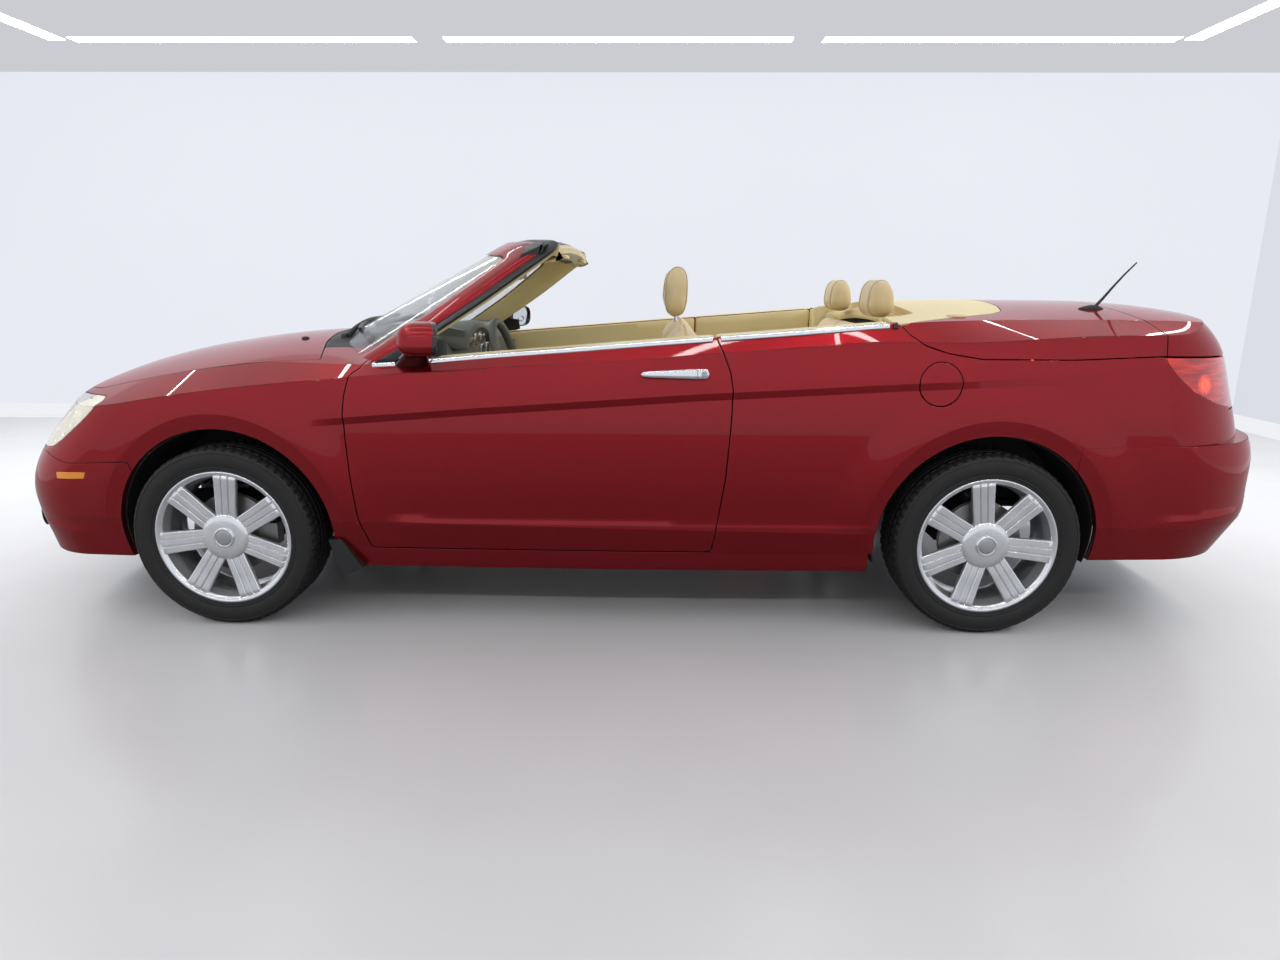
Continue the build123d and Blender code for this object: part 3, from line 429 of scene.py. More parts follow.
@dataclass
class Skin:
    """A patch of body surface as triangles with exact normals.

    Attributes:
        points: rows of X, Y, Z.
        normals: outward normals.
        faces: rows of three corner numbers.
    """

    points: Array
    normals: Array
    faces: Array

    def cut(self, room: Array) -> "Skin":
        """Keeps the part where the room is positive.

        Args:
            room: signed room at every point.

        Returns:
            The trimmed patch, with new points on the cut line.
        """
        room = np.where(np.abs(room) < 1e-7, 1e-7, room)
        inside = room > 0
        count = inside[self.faces].sum(axis=1)
        whole = self.faces[count == 3]
        mixed = self.faces[(count == 1) | (count == 2)]
        if not len(mixed):
            return Skin(self.points, self.normals, whole).tidy()
        one = inside[mixed].sum(axis=1) == 1
        lone = np.where(one[:, None], inside[mixed], ~inside[mixed]).argmax(axis=1)
        rows = np.arange(len(mixed))
        a, b, c = mixed[rows, lone], mixed[rows, (lone + 1) % 3], mixed[rows, (lone + 2) % 3]
        pairs = np.sort(np.vstack((np.column_stack((a, b)), np.column_stack((a, c)))), axis=1)
        unique, back = np.unique(pairs, axis=0, return_inverse=True)
        back = back.ravel()
        p, q = unique.T
        t = (room[p] / (room[p] - room[q]))[:, None]
        fresh = self.points[p] * (1 - t) + self.points[q] * t
        turned = self.normals[p] * (1 - t) + self.normals[q] * t
        base = len(self.points)
        ab, ac = back[: len(mixed)] + base, back[len(mixed) :] + base
        tips = np.column_stack((a, ab, ac))[one]
        quads = ~one
        first = np.column_stack((ab, b, c))[quads]
        second = np.column_stack((ab, c, ac))[quads]
        faces = np.vstack((whole, tips, first, second))
        return Skin(np.vstack((self.points, fresh)), np.vstack((self.normals, turned)), faces).tidy()

    def tidy(self) -> "Skin":
        """Drops unused points.

        Returns:
            The same patch with only the points it uses.
        """
        used, faces = np.unique(self.faces, return_inverse=True)
        normals = self.normals[used]
        length = np.linalg.norm(normals, axis=1, keepdims=True)
        return Skin(self.points[used], normals / np.maximum(length, 1e-9), faces.reshape(-1, 3))

    def trimmed(self, trims: tuple[Trim, ...]) -> "Skin":
        """Applies a series of cuts.

        Args:
            trims: the cuts in order.

        Returns:
            The patch left.
        """
        skin = self
        for trim in trims:
            if len(skin.faces):
                skin = skin.cut(trim.depth(skin.points))
        return skin

    def mirrored(self) -> "Skin":
        """The patch on the other side of the car.

        Returns:
            The mirrored patch.
        """
        flip = np.array([1.0, -1.0, 1.0])
        return Skin(self.points * flip, self.normals * flip, self.faces[:, ::-1])

    def joined(self, other: "Skin") -> "Skin":
        """Both patches as one.

        Args:
            other: the patch to add.

        Returns:
            One patch.
        """
        return Skin(
            np.vstack((self.points, other.points)),
            np.vstack((self.normals, other.normals)),
            np.vstack((self.faces, other.faces + len(self.points))),
        )

    def welded_centre(self) -> "Skin":
        """Joins points that meet on the centre line with the same normal.

        Returns:
            The welded patch.
        """
        middle = np.abs(self.points[:, 1]) < 1e-6
        key = np.column_stack((np.round(self.points * 1e5), np.where(middle, 0, np.arange(len(self.points)))))
        key[:, 1] = np.where(middle, 0, key[:, 1])
        _, first, back = np.unique(key.astype(np.int64), axis=0, return_index=True, return_inverse=True)
        faces = back.ravel()[self.faces]
        good = (faces[:, 0] != faces[:, 1]) & (faces[:, 1] != faces[:, 2]) & (faces[:, 0] != faces[:, 2])
        return Skin(self.points[first], self.normals[first], faces[good])

    def build(self, name: str, material: bpy.types.Material, depth: float = 0.009,
        edge: bpy.types.Material | None = None) -> bpy.types.Object:
        """Makes the mesh with a turned-in rim.

        Args:
            name: object name.
            material: finish.
            depth: how far the rim goes in.
            edge: finish of the rim, where it differs; on painted skins it is the black seal finish, as
                painted shade in the shut gaps.

        Returns:
            The new object.
        """
        points = self.points + self.normals * PROUD
        _, weld = np.unique(np.round(self.points * 1e6).astype(np.int64), axis=0, return_inverse=True)
        directed = np.vstack((self.faces[:, (0, 1)], self.faces[:, (1, 2)], self.faces[:, (2, 0)]))
        edges = np.sort(weld.ravel()[directed], axis=1)
        _, first, count = np.unique(edges, axis=0, return_index=True, return_counts=True)
        rim = directed[first[count == 1]]
        rim_points, back = np.unique(rim, return_inverse=True)
        back = back.reshape(-1, 2)
        inner = points[rim_points] - self.normals[rim_points] * depth
        total = len(points)
        quads = np.column_stack((rim[:, 1], rim[:, 0], back[:, 0] + total, back[:, 1] + total))
        everything = np.vstack((points, inner))
        mesh = bpy.data.meshes.new(name)
        mesh.vertices.add(len(everything))
        mesh.vertices.foreach_set("co", everything.astype(np.float32).ravel())
        loops = np.concatenate((self.faces.ravel(), quads.ravel()))
        mesh.loops.add(len(loops))
        mesh.loops.foreach_set("vertex_index", loops.astype(np.int32))
        starts = np.concatenate((np.arange(len(self.faces)) * 3,
                len(self.faces) * 3 + np.arange(len(quads)) * 4))
        mesh.polygons.add(len(starts))
        mesh.polygons.foreach_set("loop_start", starts.astype(np.int32))
        mesh.update(calc_edges=True)
        mesh.validate()
        mesh.shade_smooth()
        corner = everything[quads]
        across = np.cross(corner[:, 1] - corner[:, 0], corner[:, 3] - corner[:, 0])
        across /= np.maximum(np.linalg.norm(across, axis=1, keepdims=True), 1e-9)
        if len(mesh.loops) == len(loops):
            split = np.vstack((self.normals[self.faces.ravel()], np.repeat(across, 4, axis=0)))
            mesh.normals_split_custom_set([tuple(n) for n in split.tolist()])
        mesh.materials.append(material)
        # Painted shade: the rim faces take the edge finish, black on painted skins, so the gaps between
        # panels read dark.
        if edge is not None and len(mesh.polygons) == len(starts):
            mesh.materials.append(edge)
            mesh.polygons.foreach_set("material_index",
                (np.arange(len(starts)) >= len(self.faces)).astype(np.int32))
        obj = bpy.data.objects.new(name, mesh)
        bpy.context.scene.collection.objects.link(obj)
        return obj


def grid_skin(points: Array) -> Skin:
    """Turns a grid of points into a patch with normals from the grid.

    Args:
        points: array of rows by columns by three.

    Returns:
        The patch, with its normals to the left of the rows' direction.
    """
    along = np.gradient(points, axis=0)
    across = np.gradient(points, axis=1)
    normals = np.cross(along, across)
    normals /= np.maximum(np.linalg.norm(normals, axis=2, keepdims=True), 1e-12)
    rows, columns = points.shape[:2]
    number = np.arange(rows * columns).reshape(rows, columns)
    a, b, c, d = number[:-1, :-1], number[1:, :-1], number[1:, 1:], number[:-1, 1:]
    faces = np.vstack((np.column_stack((a.ravel(), b.ravel(), c.ravel())),
            np.column_stack((a.ravel(), c.ravel(), d.ravel()))))
    return Skin(points.reshape(-1, 3), normals.reshape(-1, 3), faces)


class BodySurface:
    """Left half of the whole outer surface, as one side patch and one upper patch."""

    def __init__(self, ledge: bool = False) -> None:
        """Builds both patches.

        Args:
            ledge: whether to follow the bumper's ledge at the tail.
        """
        self.form = Form(ledge)
        low = np.linspace(0.236, 0.4, 12)
        high = np.linspace(0.4, 1.14, 54)
        self.lower = self._side(low)
        self.side = self._side(high)
        self.top = self._top()
        self.side = self.side.cut(self.form.roof(self.side.points[:, 0],
                self.side.points[:, 1]) - self.side.points[:, 2])

    def _side(self, heights: Array) -> Skin:
        """Side patch between heights.

        Args:
            heights: heights of its rows.

        Returns:
            The patch, facing outwards.
        """
        rows = []
        for z in heights:
            outline = self.form.outline(float(z), (36, 30, 120))
            rows.append(np.column_stack((outline[:, 0], -outline[:, 1], np.full(len(outline), z))))
        skin = grid_skin(np.array(rows))
        middle = skin.points.mean(axis=0) * (1, 0, 1)
        if ((skin.points - middle) * skin.normals).sum() < 0:
            skin = Skin(skin.points, -skin.normals, skin.faces[:, ::-1])
        return skin

    def _top(self) -> Skin:
        """Upper patch: the crown and the facet outside its crease.

        Returns:
            The patch, cut where it leaves the plan outline.
        """
        xs = np.linspace(-2.33, 2.40, 330)
        grid = []
        for x, crease in zip(xs, self.form.top(xs)[:, 1]):
            inner = np.linspace(0, crease, 46)
            outer = np.linspace(crease, 1.0, 26)[1:]
            y = np.concatenate((inner, outer))
            z = self.form.roof(np.full(len(y), x), y)
            grid.append(np.column_stack((np.full(len(y), x), -y, z)))
        points = np.array(grid)
        crown = self._upward(grid_skin(points[:, :46]))
        facet = self._upward(grid_skin(points[:, 45:]))
        both = crown.joined(facet)
        return both.cut(self.form.inside(both.points))

    @staticmethod
    def _upward(skin: Skin) -> Skin:
        """Turns a patch to face up.

        Args:
            skin: the patch.

        Returns:
            The patch, facing up.
        """
        if skin.normals[:, 2].sum() < 0:
            return Skin(skin.points, -skin.normals, skin.faces[:, ::-1])
        return skin


def circle(x: float, z: float, radius: float, steps: int = 96) -> Points:
    """Corners of a circle.

    Args:
        x: centre's first coordinate.
        z: centre's second coordinate.
        radius: radius.
        steps: number of corners.

    Returns:
        The corners.
    """
    return tuple(
        (x + radius * math.cos(2 * math.pi * i / steps), z + radius * math.sin(2 * math.pi * i / steps))
        for i in range(steps)
    )


# ---------------------------------------------------------------- materials
def new_group(name: str, inputs: tuple[tuple[str, str, object], ...],
    outputs: tuple[tuple[str, str], ...]) -> bpy.types.NodeTree:
    """Makes an empty shader group.

    Args:
        name: group name.
        inputs: name, socket type and default of each input.
        outputs: name and socket type of each output.

    Returns:
        The group with its input and output nodes.
    """
    group = bpy.data.node_groups.new(name, "ShaderNodeTree")
    for label, kind, default in inputs:
        socket = group.interface.new_socket(name=label, in_out="INPUT", socket_type=kind)
        socket.default_value = default
    for label, kind in outputs:
        group.interface.new_socket(name=label, in_out="OUTPUT", socket_type=kind)
    group.nodes.new("NodeGroupInput").name = "in"
    group.nodes.new("NodeGroupOutput").name = "out"
    return group


class Effects:
    """Shader groups shared by the finishes."""

    def __init__(self) -> None:
        """Builds the groups."""
        self.grain = self._grain()
        self.mottle = self._mottle()
        self.flake = self._flake()

    @staticmethod
    def _grain() -> bpy.types.NodeTree:
        """Fine relief of grains and cells, with rounded edges.

        Returns:
            The group.
        """
        group = new_group(
            "grain",
            (("Scale", "NodeSocketFloat", 300.0), ("Strength", "NodeSocketFloat", 0.2),
            ("Depth", "NodeSocketFloat", 0.001),
             ("Cells", "NodeSocketFloat", 0.5), ("Edge", "NodeSocketFloat", 0.002)),
            (("Normal", "NodeSocketVector"), ("Height", "NodeSocketFloat")),
        )
        nodes, links = group.nodes, group.links
        place = nodes.new("ShaderNodeTexCoord")
        noise = nodes.new("ShaderNodeTexNoise")
        noise.inputs["Detail"].default_value = 3.0
        cells = nodes.new("ShaderNodeTexVoronoi")
        cells.feature = "F1"
        mix = nodes.new("ShaderNodeMix")
        bump = nodes.new("ShaderNodeBump")
        bevel = nodes.new("ShaderNodeBevel")
        bevel.samples = 4
        for node in (noise, cells):
            links.new(place.outputs["Object"], node.inputs["Vector"])
            links.new(nodes["in"].outputs["Scale"], node.inputs["Scale"])
        links.new(nodes["in"].outputs["Cells"], mix.inputs["Factor"])
        links.new(noise.outputs["Fac"], mix.inputs[2])
        links.new(cells.outputs["Distance"], mix.inputs[3])
        links.new(mix.outputs[0], bump.inputs["Height"])
        links.new(nodes["in"].outputs["Strength"], bump.inputs["Strength"])
        links.new(nodes["in"].outputs["Depth"], bump.inputs["Distance"])
        links.new(nodes["in"].outputs["Edge"], bevel.inputs["Radius"])
        links.new(bevel.outputs["Normal"], bump.inputs["Normal"])
        links.new(bump.outputs["Normal"], nodes["out"].inputs["Normal"])
        links.new(mix.outputs[0], nodes["out"].inputs["Height"])
        return group

    @staticmethod
    def _mottle() -> bpy.types.NodeTree:
        """Slow change of colour and roughness.

        Returns:
            The group.
        """
        group = new_group(
            "mottle",
            (("Scale", "NodeSocketFloat", 8.0), ("Dark", "NodeSocketColor", (0.1, 0.1, 0.1, 1)),
             ("Light", "NodeSocketColor", (0.2, 0.2, 0.2, 1)), ("Smooth", "NodeSocketFloat", 0.3),
             ("Rough", "NodeSocketFloat", 0.5)),
            (("Color", "NodeSocketColor"), ("Roughness", "NodeSocketFloat")),
        )
        nodes, links = group.nodes, group.links
        place = nodes.new("ShaderNodeTexCoord")
        noise = nodes.new("ShaderNodeTexNoise")
        noise.inputs["Detail"].default_value = 5.0
        mix = nodes.new("ShaderNodeMix")
        mix.data_type = "RGBA"
        span = nodes.new("ShaderNodeMapRange")
        span.inputs["From Min"].default_value = 0.3
        span.inputs["From Max"].default_value = 0.7
        links.new(place.outputs["Object"], noise.inputs["Vector"])
        links.new(nodes["in"].outputs["Scale"], noise.inputs["Scale"])
        links.new(noise.outputs["Fac"], mix.inputs["Factor"])
        links.new(nodes["in"].outputs["Dark"], mix.inputs[6])
        links.new(nodes["in"].outputs["Light"], mix.inputs[7])
        links.new(noise.outputs["Fac"], span.inputs["Value"])
        links.new(nodes["in"].outputs["Smooth"], span.inputs["To Min"])
        links.new(nodes["in"].outputs["Rough"], span.inputs["To Max"])
        links.new(mix.outputs[2], nodes["out"].inputs["Color"])
        links.new(span.outputs["Result"], nodes["out"].inputs["Roughness"])
        return group

    @staticmethod
    def _flake() -> bpy.types.NodeTree:
        """Small tilted flakes under a clear coat.

        Returns:
            The group.
        """
        group = new_group(
            "flake",
            (("Scale", "NodeSocketFloat", 1800.0), ("Strength", "NodeSocketFloat", 0.06)),
            (("Normal", "NodeSocketVector"), ("Mask", "NodeSocketFloat")),
        )
        nodes, links = group.nodes, group.links
        place = nodes.new("ShaderNodeTexCoord")
        cells = nodes.new("ShaderNodeTexVoronoi")
        tilt = nodes.new("ShaderNodeVectorMath")
        tilt.operation = "SUBTRACT"
        tilt.inputs[1].default_value = (0.5, 0.5, 0.5)
        scale = nodes.new("ShaderNodeVectorMath")
        scale.operation = "SCALE"
        bevel = nodes.new("ShaderNodeBevel")
        bevel.samples = 4
        bevel.inputs["Radius"].default_value = 0.0035
        add = nodes.new("ShaderNodeVectorMath")
        add.operation = "ADD"
        unit = nodes.new("ShaderNodeVectorMath")
        unit.operation = "NORMALIZE"
        split = nodes.new("ShaderNodeSeparateColor")
        links.new(place.outputs["Object"], cells.inputs["Vector"])
        links.new(nodes["in"].outputs["Scale"], cells.inputs["Scale"])
        links.new(cells.outputs["Color"], tilt.inputs[0])
        links.new(tilt.outputs["Vector"], scale.inputs[0])
        links.new(nodes["in"].outputs["Strength"], scale.inputs["Scale"])
        links.new(bevel.outputs["Normal"], add.inputs[0])
        links.new(scale.outputs["Vector"], add.inputs[1])
        links.new(add.outputs["Vector"], unit.inputs[0])
        links.new(unit.outputs["Vector"], nodes["out"].inputs["Normal"])
        links.new(cells.outputs["Color"], split.inputs["Color"])
        links.new(split.outputs["Red"], nodes["out"].inputs["Mask"])
        return group


@dataclass(frozen=True)
class Finish:
    """Recipe of one surface finish.

    Attributes:
        dark: darker colour of the variation.
        light: lighter colour of the variation.
        smooth: lowest roughness.
        rough: highest roughness.
        patch: scale of the colour variation.
        grain: scale of the surface grain.
        relief: strength of the grain.
        cells: share of pebbled cells in the grain.
        edge: radius that edges are softened by.
        metallic: metallic share.
        coat: clear coat weight.
        sheen: sheen weight.
        transmission: transmission weight.
        alpha: opacity.
        glow: emission strength.
        gloss: strength of plain reflections.
    """

    dark: tuple[float, float, float]
    light: tuple[float, float, float]
    smooth: float = 0.35
    rough: float = 0.5
    patch: float = 9.0
    grain: float = 400.0
    relief: float = 0.15
    cells: float = 0.5
    edge: float = 0.0015
    metallic: float = 0.0
    coat: float = 0.0
    sheen: float = 0.0
    transmission: float = 0.0
    alpha: float = 1.0
    glow: float = 0.0
    gloss: float = 0.5


FINISHES = {
    "black_trim": Finish((0.010, 0.010, 0.011), (0.020, 0.020, 0.021), 0.42, 0.6, relief=0.35, grain=900,
    cells=0.8),
    # The seal finish serves real rubber seals and, on the rims of painted skins, painted shade in the shut
    # gaps.
    "seal": Finish((0.008, 0.008, 0.009), (0.014, 0.014, 0.014), 0.3, 0.42, relief=0.1),
    "gloss_black": Finish((0.006, 0.006, 0.007), (0.010, 0.010, 0.010), 0.08, 0.14, relief=0.02, coat=0.5),
    "underbody": Finish((0.006, 0.006, 0.006), (0.014, 0.013, 0.012), 0.6, 0.85, relief=0.5, grain=250),
    "chrome": Finish((0.80, 0.81, 0.83), (0.90, 0.91, 0.92), 0.05, 0.12, relief=0.01, metallic=1.0,
    edge=0.001),
    "rim": Finish((0.80, 0.81, 0.83), (0.90, 0.91, 0.93), 0.15, 0.24, relief=0.02, metallic=0.8, edge=0.0022,
    patch=20),
    "satin": Finish((0.42, 0.43, 0.44), (0.55, 0.56, 0.57), 0.28, 0.38, relief=0.04, metallic=0.9),
    "tyre": Finish((0.008, 0.008, 0.008), (0.015, 0.0145, 0.014), 0.5, 0.68, relief=0.3, grain=500, cells=0.2,
    patch=14),
    "cream": Finish((0.80, 0.68, 0.36), (0.86, 0.735, 0.405), 0.38, 0.5, relief=0.22, grain=700, cells=0.9,
    patch=5),
    "leather": Finish((0.70, 0.545, 0.29), (0.77, 0.61, 0.345), 0.36, 0.5, relief=0.45, grain=420, cells=0.75,
    patch=7, edge=0.003, sheen=0.08),
    "thread": Finish((0.60, 0.47, 0.30), (0.70, 0.56, 0.37), 0.6, 0.8, relief=0.3, grain=1500),
    "dash": Finish((0.092, 0.100, 0.088), (0.125, 0.134, 0.120), 0.45, 0.6, relief=0.35, grain=650,
    cells=0.9),
    "dash_low": Finish((0.50, 0.42, 0.29), (0.57, 0.48, 0.34), 0.45, 0.6, relief=0.3, grain=650, cells=0.9),
    "carpet": Finish((0.30, 0.25, 0.17), (0.42, 0.35, 0.25), 0.85, 0.98, relief=0.9, grain=900, cells=0.2,
    sheen=0.3),
    "iron": Finish((0.22, 0.215, 0.21), (0.36, 0.35, 0.34), 0.32, 0.5, relief=0.2, metallic=0.9),
    "alloy": Finish((0.38, 0.38, 0.39), (0.5, 0.5, 0.51), 0.4, 0.6, relief=0.3, metallic=0.85),
    "steel": Finish((0.36, 0.35, 0.34), (0.5, 0.49, 0.48), 0.3, 0.5, relief=0.2, metallic=0.9),
    "bowl": Finish((0.86, 0.87, 0.88), (0.95, 0.95, 0.95), 0.06, 0.12, relief=0.03, grain=60, metallic=1.0),
    "bulb": Finish((1.0, 0.85, 0.62), (1.0, 0.9, 0.7), 0.3, 0.4, glow=3.5),
    "amber": Finish((0.85, 0.28, 0.02), (0.95, 0.36, 0.04), 0.12, 0.2, relief=0.25, grain=220, cells=1.0,
    coat=0.6),
    "red_core": Finish((0.45, 0.004, 0.006), (0.62, 0.012, 0.008), 0.25, 0.4, relief=0.6, grain=160,
    cells=1.0),
    "red_bulb": Finish((1.0, 0.10, 0.02), (1.0, 0.16, 0.04), 0.3, 0.4, glow=4.0),
    "lens": Finish((0.93, 0.94, 0.95), (0.97, 0.97, 0.98), 0.02, 0.04, relief=0.01, transmission=1.0,
    coat=0.3),
    "screen": Finish((0.62, 0.69, 0.68), (0.66, 0.73, 0.72), 0.01, 0.02, relief=0.0, transmission=1.0,
    alpha=0.35, gloss=0.02),
    "mirror": Finish((0.62, 0.64, 0.66), (0.66, 0.68, 0.70), 0.02, 0.03, relief=0.0, metallic=1.0),
    "liner": Finish((0.72, 0.66, 0.50), (0.92, 0.89, 0.80), 0.12, 0.3, relief=0.5, grain=110, cells=1.0,
    metallic=0.6, patch=30),
    "dial": Finish((0.010, 0.010, 0.012), (0.018, 0.018, 0.020), 0.3, 0.4, relief=0.05),
}


class Palette:
    """Makes each finish once, as a node material."""

    def __init__(self) -> None:
        """Starts with the shared effects and no materials."""
        self.effects = Effects()
        self.made: dict[str, bpy.types.Material] = {}

    def get(self, name: str) -> bpy.types.Material:
        """The material of a finish.

        Args:
            name: finish name, or "paint".

        Returns:
            The material.
        """
        if name not in self.made:
            special = {"paint": self._paint, "tail_lens": self._tail_lens}
            self.made[name] = special[name]() if name in special else self._plain(name, FINISHES[name])
        return self.made[name]

    def _group(self, material: bpy.types.Material, tree: bpy.types.NodeTree) -> bpy.types.Node:
        """Places a shared group in a material.

        Args:
            material: the material.
            tree: the group.

        Returns:
            The new node.
        """
        node = material.node_tree.nodes.new("ShaderNodeGroup")
        node.node_tree = tree
        return node

    def _plain(self, name: str, finish: Finish) -> bpy.types.Material:
        """Makes a material from a finish.

        Args:
            name: its name.
            finish: its values.

        Returns:
            The material.
        """
        material = bpy.data.materials.new(name)
        material.use_nodes = True
        links = material.node_tree.links
        shader = material.node_tree.nodes["Principled BSDF"]
        mottle = self._group(material, self.effects.mottle)
        mottle.inputs["Scale"].default_value = finish.patch
        mottle.inputs["Dark"].default_value = (*finish.dark, 1)
        mottle.inputs["Light"].default_value = (*finish.light, 1)
        mottle.inputs["Smooth"].default_value = finish.smooth
        mottle.inputs["Rough"].default_value = finish.rough
        links.new(mottle.outputs["Color"], shader.inputs["Base Color"])
        links.new(mottle.outputs["Roughness"], shader.inputs["Roughness"])
        grain = self._group(material, self.effects.grain)
        grain.inputs["Scale"].default_value = finish.grain
        grain.inputs["Strength"].default_value = finish.relief
        grain.inputs["Cells"].default_value = finish.cells
        grain.inputs["Edge"].default_value = finish.edge
        links.new(grain.outputs["Normal"], shader.inputs["Normal"])
        shader.inputs["Metallic"].default_value = finish.metallic
        shader.inputs["Coat Weight"].default_value = finish.coat
        shader.inputs["Coat Roughness"].default_value = 0.03
        shader.inputs["Sheen Weight"].default_value = finish.sheen
        shader.inputs["Transmission Weight"].default_value = finish.transmission
        shader.inputs["Alpha"].default_value = finish.alpha
        shader.inputs["Specular IOR Level"].default_value = finish.gloss
        if finish.glow:
            shader.inputs["Emission Color"].default_value = (*finish.light, 1)
            shader.inputs["Emission Strength"].default_value = finish.glow
        if finish.transmission:
            self._let_light_through(material, shader)
        return material

    def _let_light_through(self, material: bpy.types.Material, shader: bpy.types.Node) -> None:
        """Lets light through clear parts without a dark shadow.

        Args:
            material: the material.
            shader: its shader.
        """
        nodes, links = material.node_tree.nodes, material.node_tree.links
        shader.inputs["IOR"].default_value = 1.3
        path = nodes.new("ShaderNodeLightPath")
        clear = nodes.new("ShaderNodeBsdfTransparent")
        clear.inputs["Color"].default_value = shader.inputs["Base Color"].links[0].from_node.inputs[
            "Light"].default_value
        mix = nodes.new("ShaderNodeMixShader")
        output = nodes["Material Output"]
        links.new(path.outputs["Is Shadow Ray"], mix.inputs["Fac"])
        links.new(shader.outputs["BSDF"], mix.inputs[1])
        links.new(clear.outputs["BSDF"], mix.inputs[2])
        links.new(mix.outputs["Shader"], output.inputs["Surface"])

    def _tail_lens(self) -> bpy.types.Material:
        """Red lens with level streaks and a lit bulb behind it.

        Returns:
            The material.
        """
        material = bpy.data.materials.new("tail_lens")
        material.use_nodes = True
        nodes, links = material.node_tree.nodes, material.node_tree.links
        shader = nodes["Principled BSDF"]
        place = nodes.new("ShaderNodeTexCoord")
        split = nodes.new("ShaderNodeSeparateXYZ")
        fold = nodes.new("ShaderNodeMath")
        fold.operation = "ABSOLUTE"
        join = nodes.new("ShaderNodeCombineXYZ")
        links.new(place.outputs["Object"], split.inputs["Vector"])
        links.new(split.outputs["Y"], fold.inputs[0])
        links.new(split.outputs["X"], join.inputs["X"])
        links.new(fold.outputs[0], join.inputs["Y"])
        links.new(split.outputs["Z"], join.inputs["Z"])
        stretch = nodes.new("ShaderNodeVectorMath")
        stretch.operation = "MULTIPLY"
        stretch.inputs[1].default_value = (9.0, 9.0, 75.0)
        streak = nodes.new("ShaderNodeTexNoise")
        streak.inputs["Scale"].default_value = 1.0
        span = nodes.new("ShaderNodeMapRange")
        span.inputs["From Min"].default_value = 0.42
        span.inputs["From Max"].default_value = 0.72
        mix = nodes.new("ShaderNodeMix")
        mix.data_type = "RGBA"
        mix.inputs[6].default_value = (0.30, 0.0020, 0.003, 1)
        mix.inputs[7].default_value = (0.78, 0.020, 0.012, 1)
        links.new(join.outputs["Vector"], stretch.inputs[0])
        links.new(stretch.outputs["Vector"], streak.inputs["Vector"])
        links.new(streak.outputs["Fac"], span.inputs["Value"])
        links.new(span.outputs["Result"], mix.inputs["Factor"])
        links.new(mix.outputs[2], shader.inputs["Base Color"])
        far = nodes.new("ShaderNodeVectorMath")
        far.operation = "DISTANCE"
        far.inputs[1].default_value = (1.992, 0.800, 0.912)
        lit = nodes.new("ShaderNodeMapRange")
        lit.inputs["From Min"].default_value = 0.040
        lit.inputs["From Max"].default_value = 0.010
        cells = nodes.new("ShaderNodeTexVoronoi")
        cells.inputs["Scale"].default_value = 110.0
        glow = nodes.new("ShaderNodeMath")
        glow.operation = "MULTIPLY_ADD"
        glow.inputs[2].default_value = 0.02
        links.new(join.outputs["Vector"], far.inputs[0])
        links.new(join.outputs["Vector"], cells.inputs["Vector"])
        links.new(far.outputs["Value"], lit.inputs["Value"])
        links.new(lit.outputs["Result"], glow.inputs[0])
        links.new(cells.outputs["Distance"], glow.inputs[1])
        boost = nodes.new("ShaderNodeMath")
        boost.operation = "MULTIPLY"
        boost.inputs[1].default_value = 2.6
        links.new(glow.outputs[0], boost.inputs[0])
        links.new(boost.outputs[0], shader.inputs["Emission Strength"])
        shader.inputs["Emission Color"].default_value = (1.0, 0.085, 0.030, 1)
        shader.inputs["Roughness"].default_value = 0.22
        shader.inputs["Coat Weight"].default_value = 1.0
        return material

    def _paint(self) -> bpy.types.Material:
        """Red paint with flakes under a clear coat.

        Returns:
            The material.
        """
        material = bpy.data.materials.new("paint")
        material.use_nodes = True
        nodes, links = material.node_tree.nodes, material.node_tree.links
        shader = nodes["Principled BSDF"]
        flake = self._group(material, self.effects.flake)
        flake.inputs["Scale"].default_value = 1500.0
        flake.inputs["Strength"].default_value = 0.05
        place = nodes.new("ShaderNodeTexCoord")
        cloud = nodes.new("ShaderNodeTexNoise")
        cloud.inputs["Scale"].default_value = 2.5
        links.new(place.outputs["Object"], cloud.inputs["Vector"])
        mix = nodes.new("ShaderNodeMix")
        mix.data_type = "RGBA"
        mix.inputs[6].default_value = (0.258, 0.0022, 0.0070, 1)
        mix.inputs[7].default_value = (0.338, 0.0033, 0.0100, 1)
        links.new(flake.outputs["Mask"], mix.inputs["Factor"])
        links.new(mix.outputs[2], shader.inputs["Base Color"])
        peel = nodes.new("ShaderNodeTexNoise")
        peel.inputs["Scale"].default_value = 260.0
        links.new(place.outputs["Object"], peel.inputs["Vector"])
        bevel = nodes.new("ShaderNodeBevel")
        bevel.samples = 4
        bevel.inputs["Radius"].default_value = 0.0035
        skin = nodes.new("ShaderNodeBump")
        skin.inputs["Strength"].default_value = 0.02
        skin.inputs["Distance"].default_value = 0.0005
        links.new(peel.outputs["Fac"], skin.inputs["Height"])
        links.new(bevel.outputs["Normal"], skin.inputs["Normal"])
        links.new(skin.outputs["Normal"], shader.inputs["Coat Normal"])
        links.new(flake.outputs["Normal"], shader.inputs["Normal"])
        span = nodes.new("ShaderNodeMapRange")
        span.inputs["To Min"].default_value = 0.30
        span.inputs["To Max"].default_value = 0.38
        links.new(cloud.outputs["Fac"], span.inputs["Value"])
        links.new(span.outputs["Result"], shader.inputs["Roughness"])
        shader.inputs["Metallic"].default_value = 0.82
        shader.inputs["Specular Tint"].default_value = (0.85, 0.05, 0.08, 1)
        shader.inputs["Coat Weight"].default_value = 0.8
        shader.inputs["Coat Roughness"].default_value = 0.015
        shader.inputs["Coat IOR"].default_value = 1.45
        shader.inputs["Specular IOR Level"].default_value = 0.05
        return material


